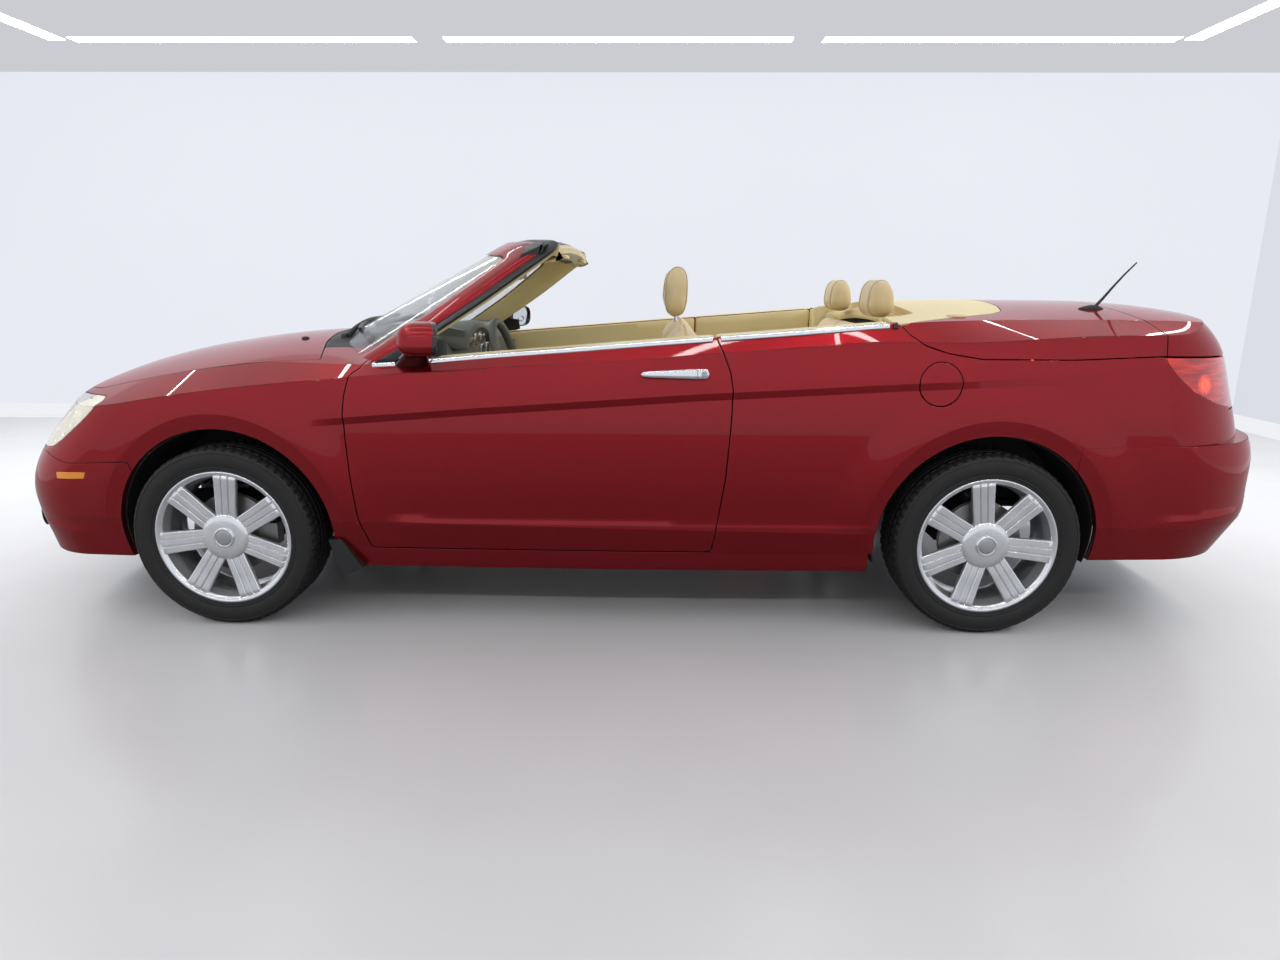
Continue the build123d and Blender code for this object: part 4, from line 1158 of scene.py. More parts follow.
# ---------------------------------------------------------------- mesh helpers
def new_object(name: str, points: Array, faces: list, material: bpy.types.Material,
    angle: float = 0.6) -> bpy.types.Object:
    """Makes a mesh object at the origin.

    Args:
        name: object name.
        points: rows of X, Y, Z.
        faces: corner numbers of each face.
        material: finish.
        angle: edges sharper than this stay sharp.

    Returns:
        The new object.
    """
    mesh = bpy.data.meshes.new(name)
    mesh.from_pydata([tuple(p) for p in np.asarray(points, float).tolist()], [], [tuple(f) for f in faces])
    mesh.update()
    mesh.validate()
    bm = bmesh.new()
    bm.from_mesh(mesh)
    bmesh.ops.remove_doubles(bm, verts=bm.verts, dist=1e-6)
    bmesh.ops.recalc_face_normals(bm, faces=bm.faces)
    bm.to_mesh(mesh)
    bm.free()
    mesh.shade_smooth()
    mesh.set_sharp_from_angle(angle=angle)
    mesh.materials.append(material)
    obj = bpy.data.objects.new(name, mesh)
    bpy.context.scene.collection.objects.link(obj)
    return obj


def grid_faces(rows: int, columns: int, ring: bool = False, loop: bool = False,
    offset: int = 0) -> list[tuple[int, ...]]:
    """Quads of a grid.

    Args:
        rows: number of rows.
        columns: number of points in a row.
        ring: whether each row closes on itself.
        loop: whether the last row joins the first.
        offset: number of the first point.

    Returns:
        Corner numbers of the quads.
    """
    faces = []
    for i in range(rows if loop else rows - 1):
        for j in range(columns if ring else columns - 1):
            a, b = i * columns + j, i * columns + (j + 1) % columns
            k = (i + 1) % rows * columns
            faces.append((a + offset, b + offset, k + (j + 1) % columns + offset, k + j + offset))
    return faces


def loft(name: str, rings: Array, material: bpy.types.Material, caps: bool = True,
    angle: float = 0.6) -> bpy.types.Object:
    """Closed skin over a series of rings.

    Args:
        name: object name.
        rings: array of rings by points by three.
        material: finish.
        caps: whether the end rings are closed.
        angle: edges sharper than this stay sharp.

    Returns:
        The new object.
    """
    rings = np.asarray(rings, float)
    rows, columns = rings.shape[:2]
    faces = grid_faces(rows, columns, ring=True)
    if caps:
        faces.append(tuple(range(columns)))
        faces.append(tuple(range((rows - 1) * columns, rows * columns)))
    return new_object(name, rings.reshape(-1, 3), faces, material, angle)


def superellipse(count: int, power: float) -> Array:
    """Points round a unit rounded square.

    Args:
        count: number of points.
        power: two for a circle, larger for squarer corners.

    Returns:
        Rows of two coordinates.
    """
    turn = np.arange(count) * 2 * math.pi / count
    c, s = np.cos(turn), np.sin(turn)
    return np.column_stack((np.sign(c) * np.abs(c) ** (2 / power), np.sign(s) * np.abs(s) ** (2 / power)))


def tube(name: str, path: list, radius: float, material: bpy.types.Material, sides: int = 12,
    radii: list | None = None) -> bpy.types.Object:
    """Round bar along a path.

    Args:
        name: object name.
        path: points of the centre line.
        radius: radius of the bar.
        material: finish.
        sides: points round it.
        radii: radius at each point, in place of one radius.

    Returns:
        The new object.
    """
    path = np.asarray(path, float)
    ahead = np.gradient(path, axis=0)
    ahead /= np.linalg.norm(ahead, axis=1, keepdims=True)
    side = np.cross(ahead[0], (0.123, 0.992, 0.02))
    rings = []
    for i, (point, forward) in enumerate(zip(path, ahead)):
        side = side - forward * (side @ forward)
        side /= np.linalg.norm(side)
        up = np.cross(forward, side)
        r = radii[i] if radii else radius
        turn = np.arange(sides) * 2 * math.pi / sides
        rings.append(point + r * (np.cos(turn)[:, None] * side + np.sin(turn)[:, None] * up))
    return loft(name, np.array(rings), material)


def ribbon(name: str, path: Array, across: Array, up: Array, section: Array, material: bpy.types.Material,
    angle: float = 0.6) -> bpy.types.Object:
    """Sweeps a closed section along a path with given directions.

    Args:
        name: object name.
        path: points of the path.
        across: direction of the section's first coordinate at each point.
        up: direction of its second coordinate at each point.
        section: closed section.
        material: finish.
        angle: edges sharper than this stay sharp.

    Returns:
        The new object.
    """
    rings = path[:, None] + section[None, :, :1] * across[:, None] + section[None, :, 1:] * up[:, None]
    return loft(name, rings, material, angle=angle)


def merge(name: str, parts: list[bpy.types.Object]) -> bpy.types.Object:
    """Joins objects into one.

    Args:
        name: name of the result.
        parts: objects to join.

    Returns:
        The joined object.
    """
    bpy.ops.object.select_all(action="DESELECT")
    for part in parts:
        part.select_set(True)
    bpy.context.view_layer.objects.active = parts[0]
    if len(parts) > 1:
        bpy.ops.object.join()
    parts[0].name = name
    parts[0].data.name = name
    bpy.ops.object.select_all(action="DESELECT")
    return parts[0]


def apply_modifiers(obj: bpy.types.Object) -> None:
    """Replaces an object's mesh by what its modifiers make of it.

    Args:
        obj: the object.
    """
    graph = bpy.context.evaluated_depsgraph_get()
    mesh = bpy.data.meshes.new_from_object(obj.evaluated_get(graph))
    obj.modifiers.clear()
    obj.data = mesh


def mirrored_copy(obj: bpy.types.Object, name: str) -> bpy.types.Object:
    """Copies an object to the other side of the car.

    Args:
        obj: object on the left side.
        name: name of the copy.

    Returns:
        The copy.
    """
    mesh = obj.data.copy()
    mesh.transform(MIRROR)
    mesh.flip_normals()
    copy = bpy.data.objects.new(name, mesh)
    bpy.context.scene.collection.objects.link(copy)
    return copy


def to_side(obj: bpy.types.Object, side: int) -> None:
    """Mirrors a piece made on the left when it belongs on the right.

    Args:
        obj: the piece.
        side: minus one on the left, one on the right.
    """
    if side > 0:
        obj.data.transform(MIRROR)
        obj.data.flip_normals()


def ride(obj: bpy.types.Object, body: str, slot: str, *nodes: str) -> bpy.types.Object:
    """Places a piece on a body.

    Args:
        obj: the piece.
        body: the body it moves with.
        slot: material slot the piece is meant for; not used.
        nodes: nodes it replaces.

    Returns:
        The piece.
    """
    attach(obj, body)
    if nodes:
        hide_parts(*nodes)
    LOG.info("piece %s on %s", obj.name, body)
    return obj


def dense(outline: Points, step: float = 0.02) -> Points:
    """Adds corners along an outline's edges.

    Args:
        outline: closed outline.
        step: longest edge left.

    Returns:
        The denser outline.
    """
    result = []
    for a, b in zip(outline, (*outline[1:], outline[0])):
        count = max(1, int(math.dist(a, b) / step))
        result += [(a[0] + (b[0] - a[0]) * i / count, a[1] + (b[1] - a[1]) * i / count) for i in range(count)]
    return tuple(result)


# ---------------------------------------------------------------- painted body
GROW = 0.0007
BODY_LINE = ((-1.160, 0.773), (-1.005, 0.787), (-0.550, 0.824), (0.217, 0.878), (0.904, 0.914),
    (1.658, 0.945))
FLANK_RIDGES = ((0.404, -0.883, -0.0157, (-0.90, -0.83), (0.81, 0.86), 0.0052),
    (0.349, -2.169, -0.153, (-2.60, -2.50), (-2.11, -2.02), 0.0060),
                (0.4165, 1.861, 0.0755, (1.85, 1.95), (2.60, 2.70), 0.0060))
ARCH_LIP = 0.455


def creases(points: Array) -> list[Array]:
    """Signed room from every sharp line of the flanks.

    Args:
        points: rows of X, Y, Z.

    Returns:
        One array for each line, zero on it.
    """
    x, z = points[:, 0], points[:, 2]
    line = z - np.interp(x, *np.array(BODY_LINE).T)
    rooms = [line, line + 0.024]
    rooms += [z - (at + slope * (x - start)) for at, start, slope, *_ in FLANK_RIDGES]
    return rooms + [np.hypot(x - axle, z - TYRE_RADIUS) - ARCH_LIP for axle in (FRONT_AXLE, REAR_AXLE)]


def detail_depth(points: Array) -> Array:
    """Shallow relief of the flanks: the body line, the arch lips and the lower creases.

    Args:
        points: rows of X, Y, Z on the left half's side patch.

    Returns:
        Outward shift at each point.
    """
    x, z = points[:, 0], points[:, 2]
    fade = np.clip((x + 1.165) / 0.16, 0, 1) * np.clip((1.70 - x) / 0.7, 0, 1)
    above = z - np.interp(x, *np.array(BODY_LINE).T)
    ease = np.clip(1 - above / 0.20, 0, 1)
    shift = 0.0086 * fade * np.where(above < 0, np.clip(1 + above / 0.024, 0, 1),
        ease * ease * (3 - 2 * ease))
    for at, start, slope, rise, fall, tall in FLANK_RIDGES:
        over = z - (at + slope * (x - start))
        ends = np.clip((x - rise[0]) / (rise[1] - rise[0]), 0,
            1) * np.clip((fall[1] - x) / (fall[1] - fall[0]), 0, 1)
        shift = shift + tall * ends * np.where(over > 0, np.clip(1 - over / 0.026, 0, 1),
            np.clip(1 + over / 0.10, 0, 1))
    for axle in (FRONT_AXLE, REAR_AXLE):
        r = np.hypot(x - axle, z - TYRE_RADIUS)
        out = np.clip(1 - (r - ARCH_LIP) / 0.15, 0, 1)
        inner = np.clip((r - ARCH_RADIUS - 0.002) / (ARCH_LIP - ARCH_RADIUS - 0.002), 0, 1)
        shift = shift + 0.0078 * np.where(r < ARCH_LIP, inner,
            out * out * (3 - 2 * out)) * np.clip((z - 0.30) / 0.15, 0, 1)
    return shift


def raised(skin: Skin) -> Skin:
    """Moves a side patch by the relief of the flanks and turns its normals to suit.

    Args:
        skin: side patch.

    Returns:
        The patch with its relief, split at the sharp lines.
    """
    pieces = [skin]
    for number in range(len(creases(skin.points[:1]))):
        halves = []
        for piece in pieces:
            room = creases(piece.points)[number]
            halves += [half for half in (piece.cut(room), piece.cut(-room)) if len(half.faces)]
        pieces = halves
    result = None
    for piece in pieces:
        points, normals = piece.points, piece.normals
        middle = points[piece.faces].mean(axis=1)
        total = np.zeros_like(points)
        np.add.at(total, piece.faces.ravel(), np.repeat(middle, 3, axis=0))
        place = points + 0.4 * (total / np.bincount(piece.faces.ravel(), minlength=len(points))[:,
                None] - points)
        u = np.cross(normals, np.array([0.0, 0.0, 1.0]))
        u /= np.maximum(np.linalg.norm(u, axis=1, keepdims=True), 1e-9)
        v = np.cross(u, normals)
        h = 0.0004
        side = np.clip((np.abs(points[:, 1]) - 0.70) / 0.08, 0, 1)
        du = (detail_depth(place + u * h) - detail_depth(place - u * h)) / (2 * h) * side
        dv = (detail_depth(place + v * h) - detail_depth(place - v * h)) / (2 * h) * side
        turned = normals - u * du[:, None] - v * dv[:, None]
        turned /= np.linalg.norm(turned, axis=1, keepdims=True)
        moved = Skin(points + normals * (detail_depth(points) * side)[:, None], turned, piece.faces)
        result = moved if result is None else result.joined(moved)
    return result or skin


@dataclass
class PaintedBody:
    """All painted and moulded outer skins.

    Attributes:
        palette: finishes.
        upper: surface above the bumper's ledge.
        ledge: surface of the rear bumper.
    """

    palette: Palette
    upper: BodySurface = field(default_factory=BodySurface)
    ledge: BodySurface = field(default_factory=lambda: BodySurface(True))

    def arches(self, margin: float = 0.0) -> tuple[Trim, ...]:
        """Cuts for both wheel openings.

        Args:
            margin: how much larger than the opening the cut is.

        Returns:
            Two cuts.
        """
        return tuple(
            Trim(circle(axle, TYRE_RADIUS, ARCH_RADIUS + margin), View.SIDE, False)
            for axle in (FRONT_AXLE, REAR_AXLE)
        )

    def patch(self, trims: tuple[Trim, ...], low: bool = True, top: bool = True) -> Skin:
        """Left patch of the upper surface inside a set of cuts.

        Args:
            trims: the cuts.
            low: whether the part under the lowest station counts.
            top: whether the upper patch counts.

        Returns:
            The patch.
        """
        parts = [raised(self.upper.side.trimmed(trims))]
        if low:
            parts.append(raised(self.upper.lower.trimmed(trims)))
        if top:
            parts.append(self.upper.top.trimmed(trims))
        parts = [p for p in parts if len(p.faces)]
        skin = parts[0]
        for part in parts[1:]:
            skin = skin.joined(part)
        return skin

    def build(self) -> None:
        """Makes every skin."""
        # The rims of the painted skins take the black seal finish as painted shade: the shut gaps between
        # panels read dark.
        paint, seal = self.palette.get("paint"), self.palette.get("seal")
        gap = SHUT - 2 * GROW
        lamp = (Trim(LAMP_OUTLINE, View.SIDE, True, GROW), Trim(LAMP_PLAN, View.PLAN, True, GROW))
        hood_gap = Trim(HOOD_PLAN, View.PLAN, False, gap + GROW)
        door_gap = Trim(DOOR_OUTLINE, View.SIDE, False, gap + GROW)
        deck_gap = Trim(DECK_OUTLINE, View.SIDE, False, gap + GROW)
        cover_gap = Trim(COVER_PLAN, View.PLAN, False, gap + GROW)
        front = Trim(((-2.7, -1), (-0.9, -1), (-0.9, 2), (-2.7, 2)), View.SIDE)
        arches = self.arches()

        hood = self.patch((front, Trim(HOOD_PLAN, View.PLAN, True, GROW)))
        self._pair(hood, "hood_skin", "hood", "paint")

        zone = Trim(FENDER_OUTLINE, View.SIDE)
        outboard = Trim(((-3, 0.42), (3, 0.42), (3, 1.2), (-3, 1.2)), View.PLAN)
        fender = self.patch((front, zone, outboard, hood_gap, door_gap, *arches))
        fender = self._without_both(fender, lamp[0].outline, lamp[1].outline)
        cowl_plan = ((-1.292, 0), (-1.279, 0.2), (-1.239, 0.42), (-1.206, 0.535), (-1.000, 0.535),
            (-1.065, 0.45), (-1.16, 0.25), (-1.205, 0.0))
        fender = fender.cut(Trim(cowl_plan, View.PLAN, False).depth(fender.points))
        fender = fender.cut(Trim(((-1.24, -1), (-0.88, -1), (-0.88, 0.735), (-0.905, 0.735), (-0.96, 0.6),
                    (-1.0, 0.535), (-1.24, 0.535)), View.PLAN, False).depth(fender.points))
        self._pair(fender, "fender_skin", "body", "paint")

        bumper = self.patch((front, hood_gap, *arches,
                Trim(((-2.7, 0.24), (-1.79, 0.24), (-1.79, 1.3), (-2.7, 1.3)), View.SIDE),
                             Trim(((-0.01, 0.585), (0.37, 0.585), (0.33, 0.735), (-0.01, 0.735)), View.FRONT,
                             False),
                             Trim(((-0.01, 0.300), (0.43, 0.300), (0.40, 0.420), (-0.01, 0.420)), View.FRONT,
                             False)))
        bumper = self._without_both(bumper, LAMP_OUTLINE, LAMP_PLAN)
        depth_zone = np.minimum(Trim(FENDER_OUTLINE, View.SIDE, True, 0.0035).depth(bumper.points),
            outboard.depth(bumper.points))
        bumper = bumper.cut(-depth_zone)
        self._pair(bumper, "front_bumper_skin", "body", "paint")

        belt = self._outboard_of_belt
        door = belt(self.patch((Trim(DOOR_OUTLINE, View.SIDE, True, GROW),), low=True))
        for side, name in ((door, "door_left"), (door.mirrored(), "door_right")):
            ride(side.build(name + "_skin", paint, edge=seal), name, "paint")

        quarter = self.patch((Trim(QUARTER_OUTLINE, View.SIDE, True, GROW), door_gap, deck_gap,
                              Trim(COVER_PLAN, View.PLAN, False), *arches))
        front_part = quarter.cut(DECK_FRONT - quarter.points[:, 0])
        back_part = quarter.cut(quarter.points[:, 0] - DECK_FRONT)
        quarter = belt(front_part).joined(back_part)
        flap = circle(*FUEL_FLAP)
        with_hole = quarter.cut(Trim(flap, View.SIDE, False, gap + GROW).depth(quarter.points))
        ride(with_hole.build("quarter_left_skin", paint, edge=seal), "body", "paint")
        ride(quarter.mirrored().build("quarter_right_skin", paint, edge=seal), "body", "paint")
        disc = self.patch((Trim(flap, View.SIDE, True, GROW),), low=False, top=False)
        disc = disc.cut(1.2 - disc.points[:, 0])
        ride(disc.build("fuel_flap_skin", paint, 0.006, seal), "fuel_flap", "paint")

        deck = self.patch((Trim(DECK_OUTLINE, View.SIDE, True, GROW), cover_gap), low=False)
        front_deck = deck.cut(SEAM + GROW - deck.points[:, 0])
        self._pair(front_deck, "deck_skin", "tonneau", "paint")
        lid_face = ((2.0, 0.772), (2.65, 0.772), (2.65, 1.006), (2.0, 1.006))
        face = self.patch((Trim(lid_face, View.SIDE, True, GROW),
                Trim(((2.0, -1), (2.7, -1), (2.7, 0.534 + GROW), (2.0, 0.534 + GROW)), View.PLAN)), low=False)
        lid = deck.cut(deck.points[:, 0] - (SEAM + SHUT - GROW)).joined(face)
        self._pair(lid, "lid_skin", "trunk_lid", "paint")

        rear = self.ledge.side.cut(0.6995 - self.ledge.side.points[:, 2]).joined(
            self.ledge.lower.cut(self.ledge.lower.points[:, 2] - 0.268))
        rear = raised(rear.trimmed((Trim(REAR_BUMPER_OUTLINE, View.SIDE, True, GROW), *arches)))
        plate = np.minimum(0.165 - np.abs(rear.points[:, 1]),
            np.minimum(rear.points[:, 2] - 0.48, 0.64 - rear.points[:, 2]))
        rear = rear.cut(-np.where(rear.points[:, 0] > 2.2, plate, -1.0))
        above = self.patch((Trim(REAR_BUMPER_OUTLINE, View.SIDE, True, GROW),), low=False, top=False)
        above = above.cut(above.points[:, 2] - 0.700)
        corner = np.maximum(0.765 - above.points[:, 2], np.abs(above.points[:, 1]) - 0.5395)
        above = above.cut(corner)
        shelf = self._shelf()
        self._pair(rear.joined(above).joined(shelf), "rear_bumper_skin", "body", "paint")

        lens = self.patch((front, hood_gap), low=False).trimmed(
            (Trim(LAMP_OUTLINE, View.SIDE, True, -0.003), Trim(LAMP_PLAN, View.PLAN, True, -0.003)))
        self._pair(lens, "headlamp_lens", "body", "lamp_clear", "lens", 0.006)
        room = np.minimum(Trim(LAMP_CAVITY, View.SIDE).depth(lens.points),
            Trim(LAMP_PLAN, View.PLAN).depth(lens.points))
        liner = lens.cut(0.003 - room)
        liner = Skin(liner.points - liner.normals * 0.0014, liner.normals, liner.faces)
        self._pair(liner, "headlamp_liner", "body", "lamp_clear", "liner", 0.0006)
        tail = self.patch((Trim(TAIL_LAMP_OUTLINE, View.SIDE, True, -0.002), deck_gap,
                           Trim(((1.8, 0.5405), (2.7, 0.5405), (2.7, 1.2), (1.8, 1.2)), View.PLAN)),
                           low=False)
        self._pair(tail, "tail_lamp_lens", "body", "lamp_red", "tail_lens", 0.006)

        notch = ((0.880, 0), (0.880, 0.640), (0.965, 0.630), (1.030, 0.568), (1.030, 0.0))
        cover = self.patch((Trim(COVER_PLAN, View.PLAN, True, GROW), Trim(notch, View.PLAN, False)),
            low=False)
        self._pair(cover, "deck_cover_skin", "body", "cream", "cream", 0.012)
        cowl = self.patch((front, Trim(cowl_plan, View.PLAN), hood_gap), low=False)
        self._pair(cowl, "cowl_skin", "body", "black_trim", "black_trim", 0.006)
        sill = self.upper.lower.cut(0.296 + GROW - self.upper.lower.points[:, 2])
        sill = sill.trimmed((Trim(((-1.1, 0), (0.85, 0), (0.85, 1), (-1.1, 1)), View.SIDE), *arches))
        self._pair(sill, "sill_skin", "body", "paint")

    def _pair(self, skin: Skin, name: str, body: str, slot: str, finish: str = "paint",
        depth: float = 0.009) -> None:
        """Makes one piece of a patch and its mirror image.

        Args:
            skin: left patch.
            name: piece name.
            body: body it rides on.
            slot: material slot.
            finish: name of its finish.
            depth: depth of its rim.
        """
        whole = skin.joined(skin.mirrored()).welded_centre()
        # Painted shade: painted skins get black rims, so their shut gaps read dark.
        edge = self.palette.get("seal") if finish == "paint" else None
        ride(whole.build(name, self.palette.get(finish), depth, edge), body, slot)

    @staticmethod
    def _without_both(skin: Skin, side: Points, plan: Points) -> Skin:
        """Cuts away what lies in a side outline and a plan outline at once.

        Args:
            skin: the patch.
            side: side outline.
            plan: plan outline.

        Returns:
            What is left.
        """
        room = np.minimum(Trim(side, View.SIDE, True, 0.0025).depth(skin.points),
            Trim(plan, View.PLAN, True, 0.0025).depth(skin.points))
        return skin.cut(-room)

    def _outboard_of_belt(self, skin: Skin) -> Skin:
        """Keeps what lies outside the cabin opening.

        Args:
            skin: the patch.

        Returns:
            What is left.
        """
        crease = self.upper.form.top(skin.points[:, 0])[:, 1]
        width = np.array([self.upper.form.sizes(1.0)[2]])
        belt = np.minimum(crease, width - 0.045)
        cabin = (skin.points[:, 0] > -0.96) & (skin.points[:, 2] > 0.9)
        return skin.cut(np.where(cabin, np.abs(skin.points[:, 1]) - belt + 0.004, 1.0))

    def _shelf(self) -> Skin:
        """Top of the rear bumper's ledge.

        Returns:
            The patch.
        """
        low = self.ledge.form.outline(0.7, (36, 30, 120))
        high = self.upper.form.outline(0.7, (36, 30, 120))
        rows = []
        for t in np.linspace(0, 1, 4):
            mid = high * (1 - t) + low * t
            rows.append(np.column_stack((mid[:, 0], -mid[:, 1], np.full(len(mid), 0.6985 + 0.0005 * t))))
        skin = grid_skin(np.array(rows))
        if skin.normals[:, 2].sum() < 0:
            skin = Skin(skin.points, -skin.normals, skin.faces[:, ::-1])
        wide = np.hypot(*(low - high).T) > 0.004
        keep = np.tile(wide, 4)
        skin = Skin(skin.points, skin.normals, skin.faces[keep[skin.faces].all(axis=1)]).tidy()
        return skin.cut(skin.points[:, 0] - 2.08)


# ---------------------------------------------------------------- wheels
@dataclass(frozen=True)
class Corner:
    """One wheel's place.

    Attributes:
        code: node ending.
        body: body it turns with.
        axle: place along the car.
        side: minus one on the left, one on the right.
        phase: turn of the spokes in degrees.
    """

    code: str
    body: str
    axle: float
    side: int
    phase: float

    def place(self, obj: bpy.types.Object) -> bpy.types.Object:
        """Moves a piece modelled at the origin, outboard towards -Y, to this corner.

        Args:
            obj: the piece.

        Returns:
            The placed piece.
        """
        turn = Matrix.Rotation(math.radians(self.phase), 4, "Y")
        flip = Matrix.Diagonal((1, 1 if self.side < 0 else -1, 1, 1))
        shift = Matrix.Translation((self.axle, self.side * TRACK / 2, TYRE_RADIUS))
        obj.data.transform(shift @ flip @ turn)
        if self.side > 0:
            obj.data.flip_normals()
        return obj


CORNERS = (
    Corner("fl", "wheel_front_left", FRONT_AXLE, -1, -83.5),
    Corner("fr", "wheel_front_right", FRONT_AXLE, 1, -70.0),
    Corner("rl", "wheel_rear_left", REAR_AXLE, -1, -98.0),
    Corner("rr", "wheel_rear_right", REAR_AXLE, 1, -60.0),
)


def lathe(name: str, profile: Array, steps: int, material: bpy.types.Material,
    angle: float = 0.5) -> bpy.types.Object:
    """Turns a closed profile about the axle.

    Args:
        name: object name.
        profile: rows of radius and Y.
        steps: number of steps round the axle.
        material: finish.
        angle: edges sharper than this stay sharp.

    Returns:
        The turned object.
    """
    turn = np.arange(steps) * 2 * math.pi / steps
    profile = np.asarray(profile, float)
    points = np.zeros((steps, len(profile), 3))
    points[..., 0] = profile[None, :, 0] * np.cos(turn)[:, None]
    points[..., 1] = profile[None, :, 1]
    points[..., 2] = profile[None, :, 0] * np.sin(turn)[:, None]
    return new_object(name, points.reshape(-1, 3), grid_faces(steps, len(profile), ring=True, loop=True),
        material, angle)


@dataclass
class Wheels:
    """Detailed tyres, rims and brakes for the four corners.

    Attributes:
        palette: finishes.
        spokes: number of spokes.
    """

    palette: Palette
    spokes: int = 7

    def build(self) -> None:
        """Makes the pieces of every corner."""
        for corner in CORNERS:
            tyre = corner.place(self._tyre(f"tyre_detail_{corner.code}"))
            ride(tyre, corner.body, "tyre", f"tyre_{corner.code}")
            rim = corner.place(self._rim(f"rim_detail_{corner.code}"))
            ride(rim, corner.body, "rim", f"rim_{corner.code}")
            cap = corner.place(self._cap(f"wheel_cap_{corner.code}"))
            ride(cap, corner.body, "rim")
            disc = corner.place(self._disc(f"brake_disc_{corner.code}"))
            ride(disc, corner.body, "iron", f"hub_{corner.code}")

    def _tyre(self, name: str) -> bpy.types.Object:
        """Tyre with raised rings, grooves and shoulder blocks.

        Args:
            name: object name.

        Returns:
            The tyre at the origin.
        """
        half = [(0.2485, 0.0900), (0.2500, 0.0975), (0.2545, 0.1005), (0.2590, 0.1000), (0.2615, 0.1030),
            (0.2640, 0.1034),
                (0.2665, 0.1018), (0.2760, 0.1055), (0.2870, 0.1072), (0.2985, 0.1075), (0.3090, 0.1062),
                (0.3150, 0.1048),
                (0.3165, 0.1062), (0.3190, 0.1056), (0.3205, 0.1030), (0.3255, 0.0995), (0.3292, 0.0950),
                (0.3315, 0.0890)]
        tread = []
        edges = (0.0835, 0.0640, 0.0560, 0.0290, 0.0220)
        for outer, inner in ((edges[0], edges[1]), (edges[2], edges[3])):
            tread += [(0.3350 - 0.9 * outer**3 * 2.2, outer), (0.3350 - 0.9 * inner**3 * 2.2, inner)]
            floor = edges[2] if outer == edges[0] else edges[4]
            tread += [(0.3275, inner - 0.0008), (0.3275, floor + 0.0008)]
        tread += [(0.3350, edges[4]), (0.3350, 0.0035), (0.3290, 0.0030)]
        side = np.array(half + tread)
        profile = np.vstack((side * (1, -1), side[::-1], ((0.2440, 0.085), (0.2440, -0.085))))
        steps = 252
        turn = np.arange(steps) * 2 * math.pi / steps
        radius = np.tile(profile[:, 0], (steps, 1))
        width = np.tile(profile[:, 1], (steps, 1))
        shoulder = (np.abs(profile[:, 1]) > 0.063) & (profile[:, 0] > 0.3285)
        middle = (np.abs(profile[:, 1]) < 0.0575) & (np.abs(profile[:, 1]) > 0.0285) & (profile[:, 0] > 0.333)
        slot = np.arange(steps) % 4 == 0
        radius[np.ix_(slot, shoulder)] -= 0.0045
        radius[np.ix_(np.roll(slot, 2), middle)] -= 0.0040
        points = np.stack((radius * np.cos(turn)[:, None], width, radius * np.sin(turn)[:, None]), axis=2)
        faces = grid_faces(steps, len(profile), ring=True, loop=True)
        return new_object(name, points.reshape(-1, 3), faces, self.palette.get("tyre"), 0.45)

    def _rim(self, name: str) -> bpy.types.Object:
        """Rim, spokes and hub of one wheel.

        Args:
            name: object name.

        Returns:
            The rim at the origin.
        """
        material = self.palette.get("rim")
        barrel = lathe("barrel", np.array((
            (0.2500, -0.0930), (0.2502, -0.0965), (0.2488, -0.0990), (0.2460, -0.0998), (0.2425, -0.0992),
            (0.2392, -0.0972),
            (0.2365, -0.0942), (0.2335, -0.0925), (0.2305, -0.0905), (0.2290, -0.0870), (0.2255, -0.0700),
            (0.2195, -0.0600),
            (0.2165, -0.0450), (0.2150, 0.0000), (0.2160, 0.0500), (0.2260, 0.0720), (0.2330, 0.0860),
            (0.2440, 0.0950),
            (0.2490, 0.0960), (0.2492, 0.0900), (0.2380, 0.0820), (0.2250, 0.0500), (0.2200, 0.0000),
            (0.2230, -0.0500),
            (0.2350, -0.0800), (0.2450, -0.0870))), 140, material, 0.7)
        parts = [barrel]
        parts += [self._spoke(k * 2 * math.pi / self.spokes) for k in range(self.spokes)]
        hub = lathe("hub", np.array((
            (0.0200, -0.0900), (0.0400, -0.0902), (0.0640, -0.0893), (0.0780, -0.0872), (0.0838, -0.0845),
            (0.0852, -0.0815),
            (0.0852, -0.0600), (0.0700, -0.0520), (0.0200, -0.0520))), 96, material, 0.7)
        return merge(name, [*parts, hub])

    def _spoke(self, angle: float) -> bpy.types.Object:
        """One spoke with two grooves.

        Args:
            angle: its direction.

        Returns:
            The spoke.
        """
        along = np.array((0.0750, 0.0900, 0.1100, 0.1400, 0.1700, 0.2000, 0.2180, 0.2270, 0.2320, 0.2345))
        half = np.interp(along, (0.075, 0.12, 0.2345), (0.0355, 0.0368, 0.0410))
        face = np.interp(along, (0.075, 0.11, 0.17, 0.222, 0.229, 0.2345),
            (-0.0800, -0.0835, -0.0872, -0.0935, -0.0940, -0.0900))
        back = np.interp(along, (0.075, 0.15, 0.2345), (-0.054, -0.060, -0.072))
        section = ((-1.00, 1.0), (-1.06, 0.0), (-1.00, -0.0022), (-0.93, -0.0038), (-0.42, -0.0040),
            (-0.37, -0.0026),
                   (-0.345, 0.0016), (-0.30, 0.0016), (-0.275, -0.0034), (-0.24, -0.0052), (0.24, -0.0052),
                   (0.275, -0.0034),
                   (0.30, 0.0016), (0.345, 0.0016), (0.37, -0.0026), (0.42, -0.0040), (0.93, -0.0038),
                   (1.00, -0.0022),
                   (1.06, 0.0), (1.00, 1.0))
        rings = []
        for r, wide, front, rear in zip(along, half, face, back):
            ring = []
            for w, rise in section:
                if rise == 1.0:
                    ring.append((r, rear, w * wide * 0.86))
                elif abs(w) >= 1.0 and rise == 0.0:
                    ring.append((r, front + 0.010, w * wide))
                else:
                    ring.append((r, front + rise + 0.0025, w * wide))
            rings.append(ring)
        obj = loft("spoke", np.array(rings), self.palette.get("rim"), angle=0.5)
        obj.data.transform(Matrix.Rotation(-angle, 4, "Y"))
        return obj

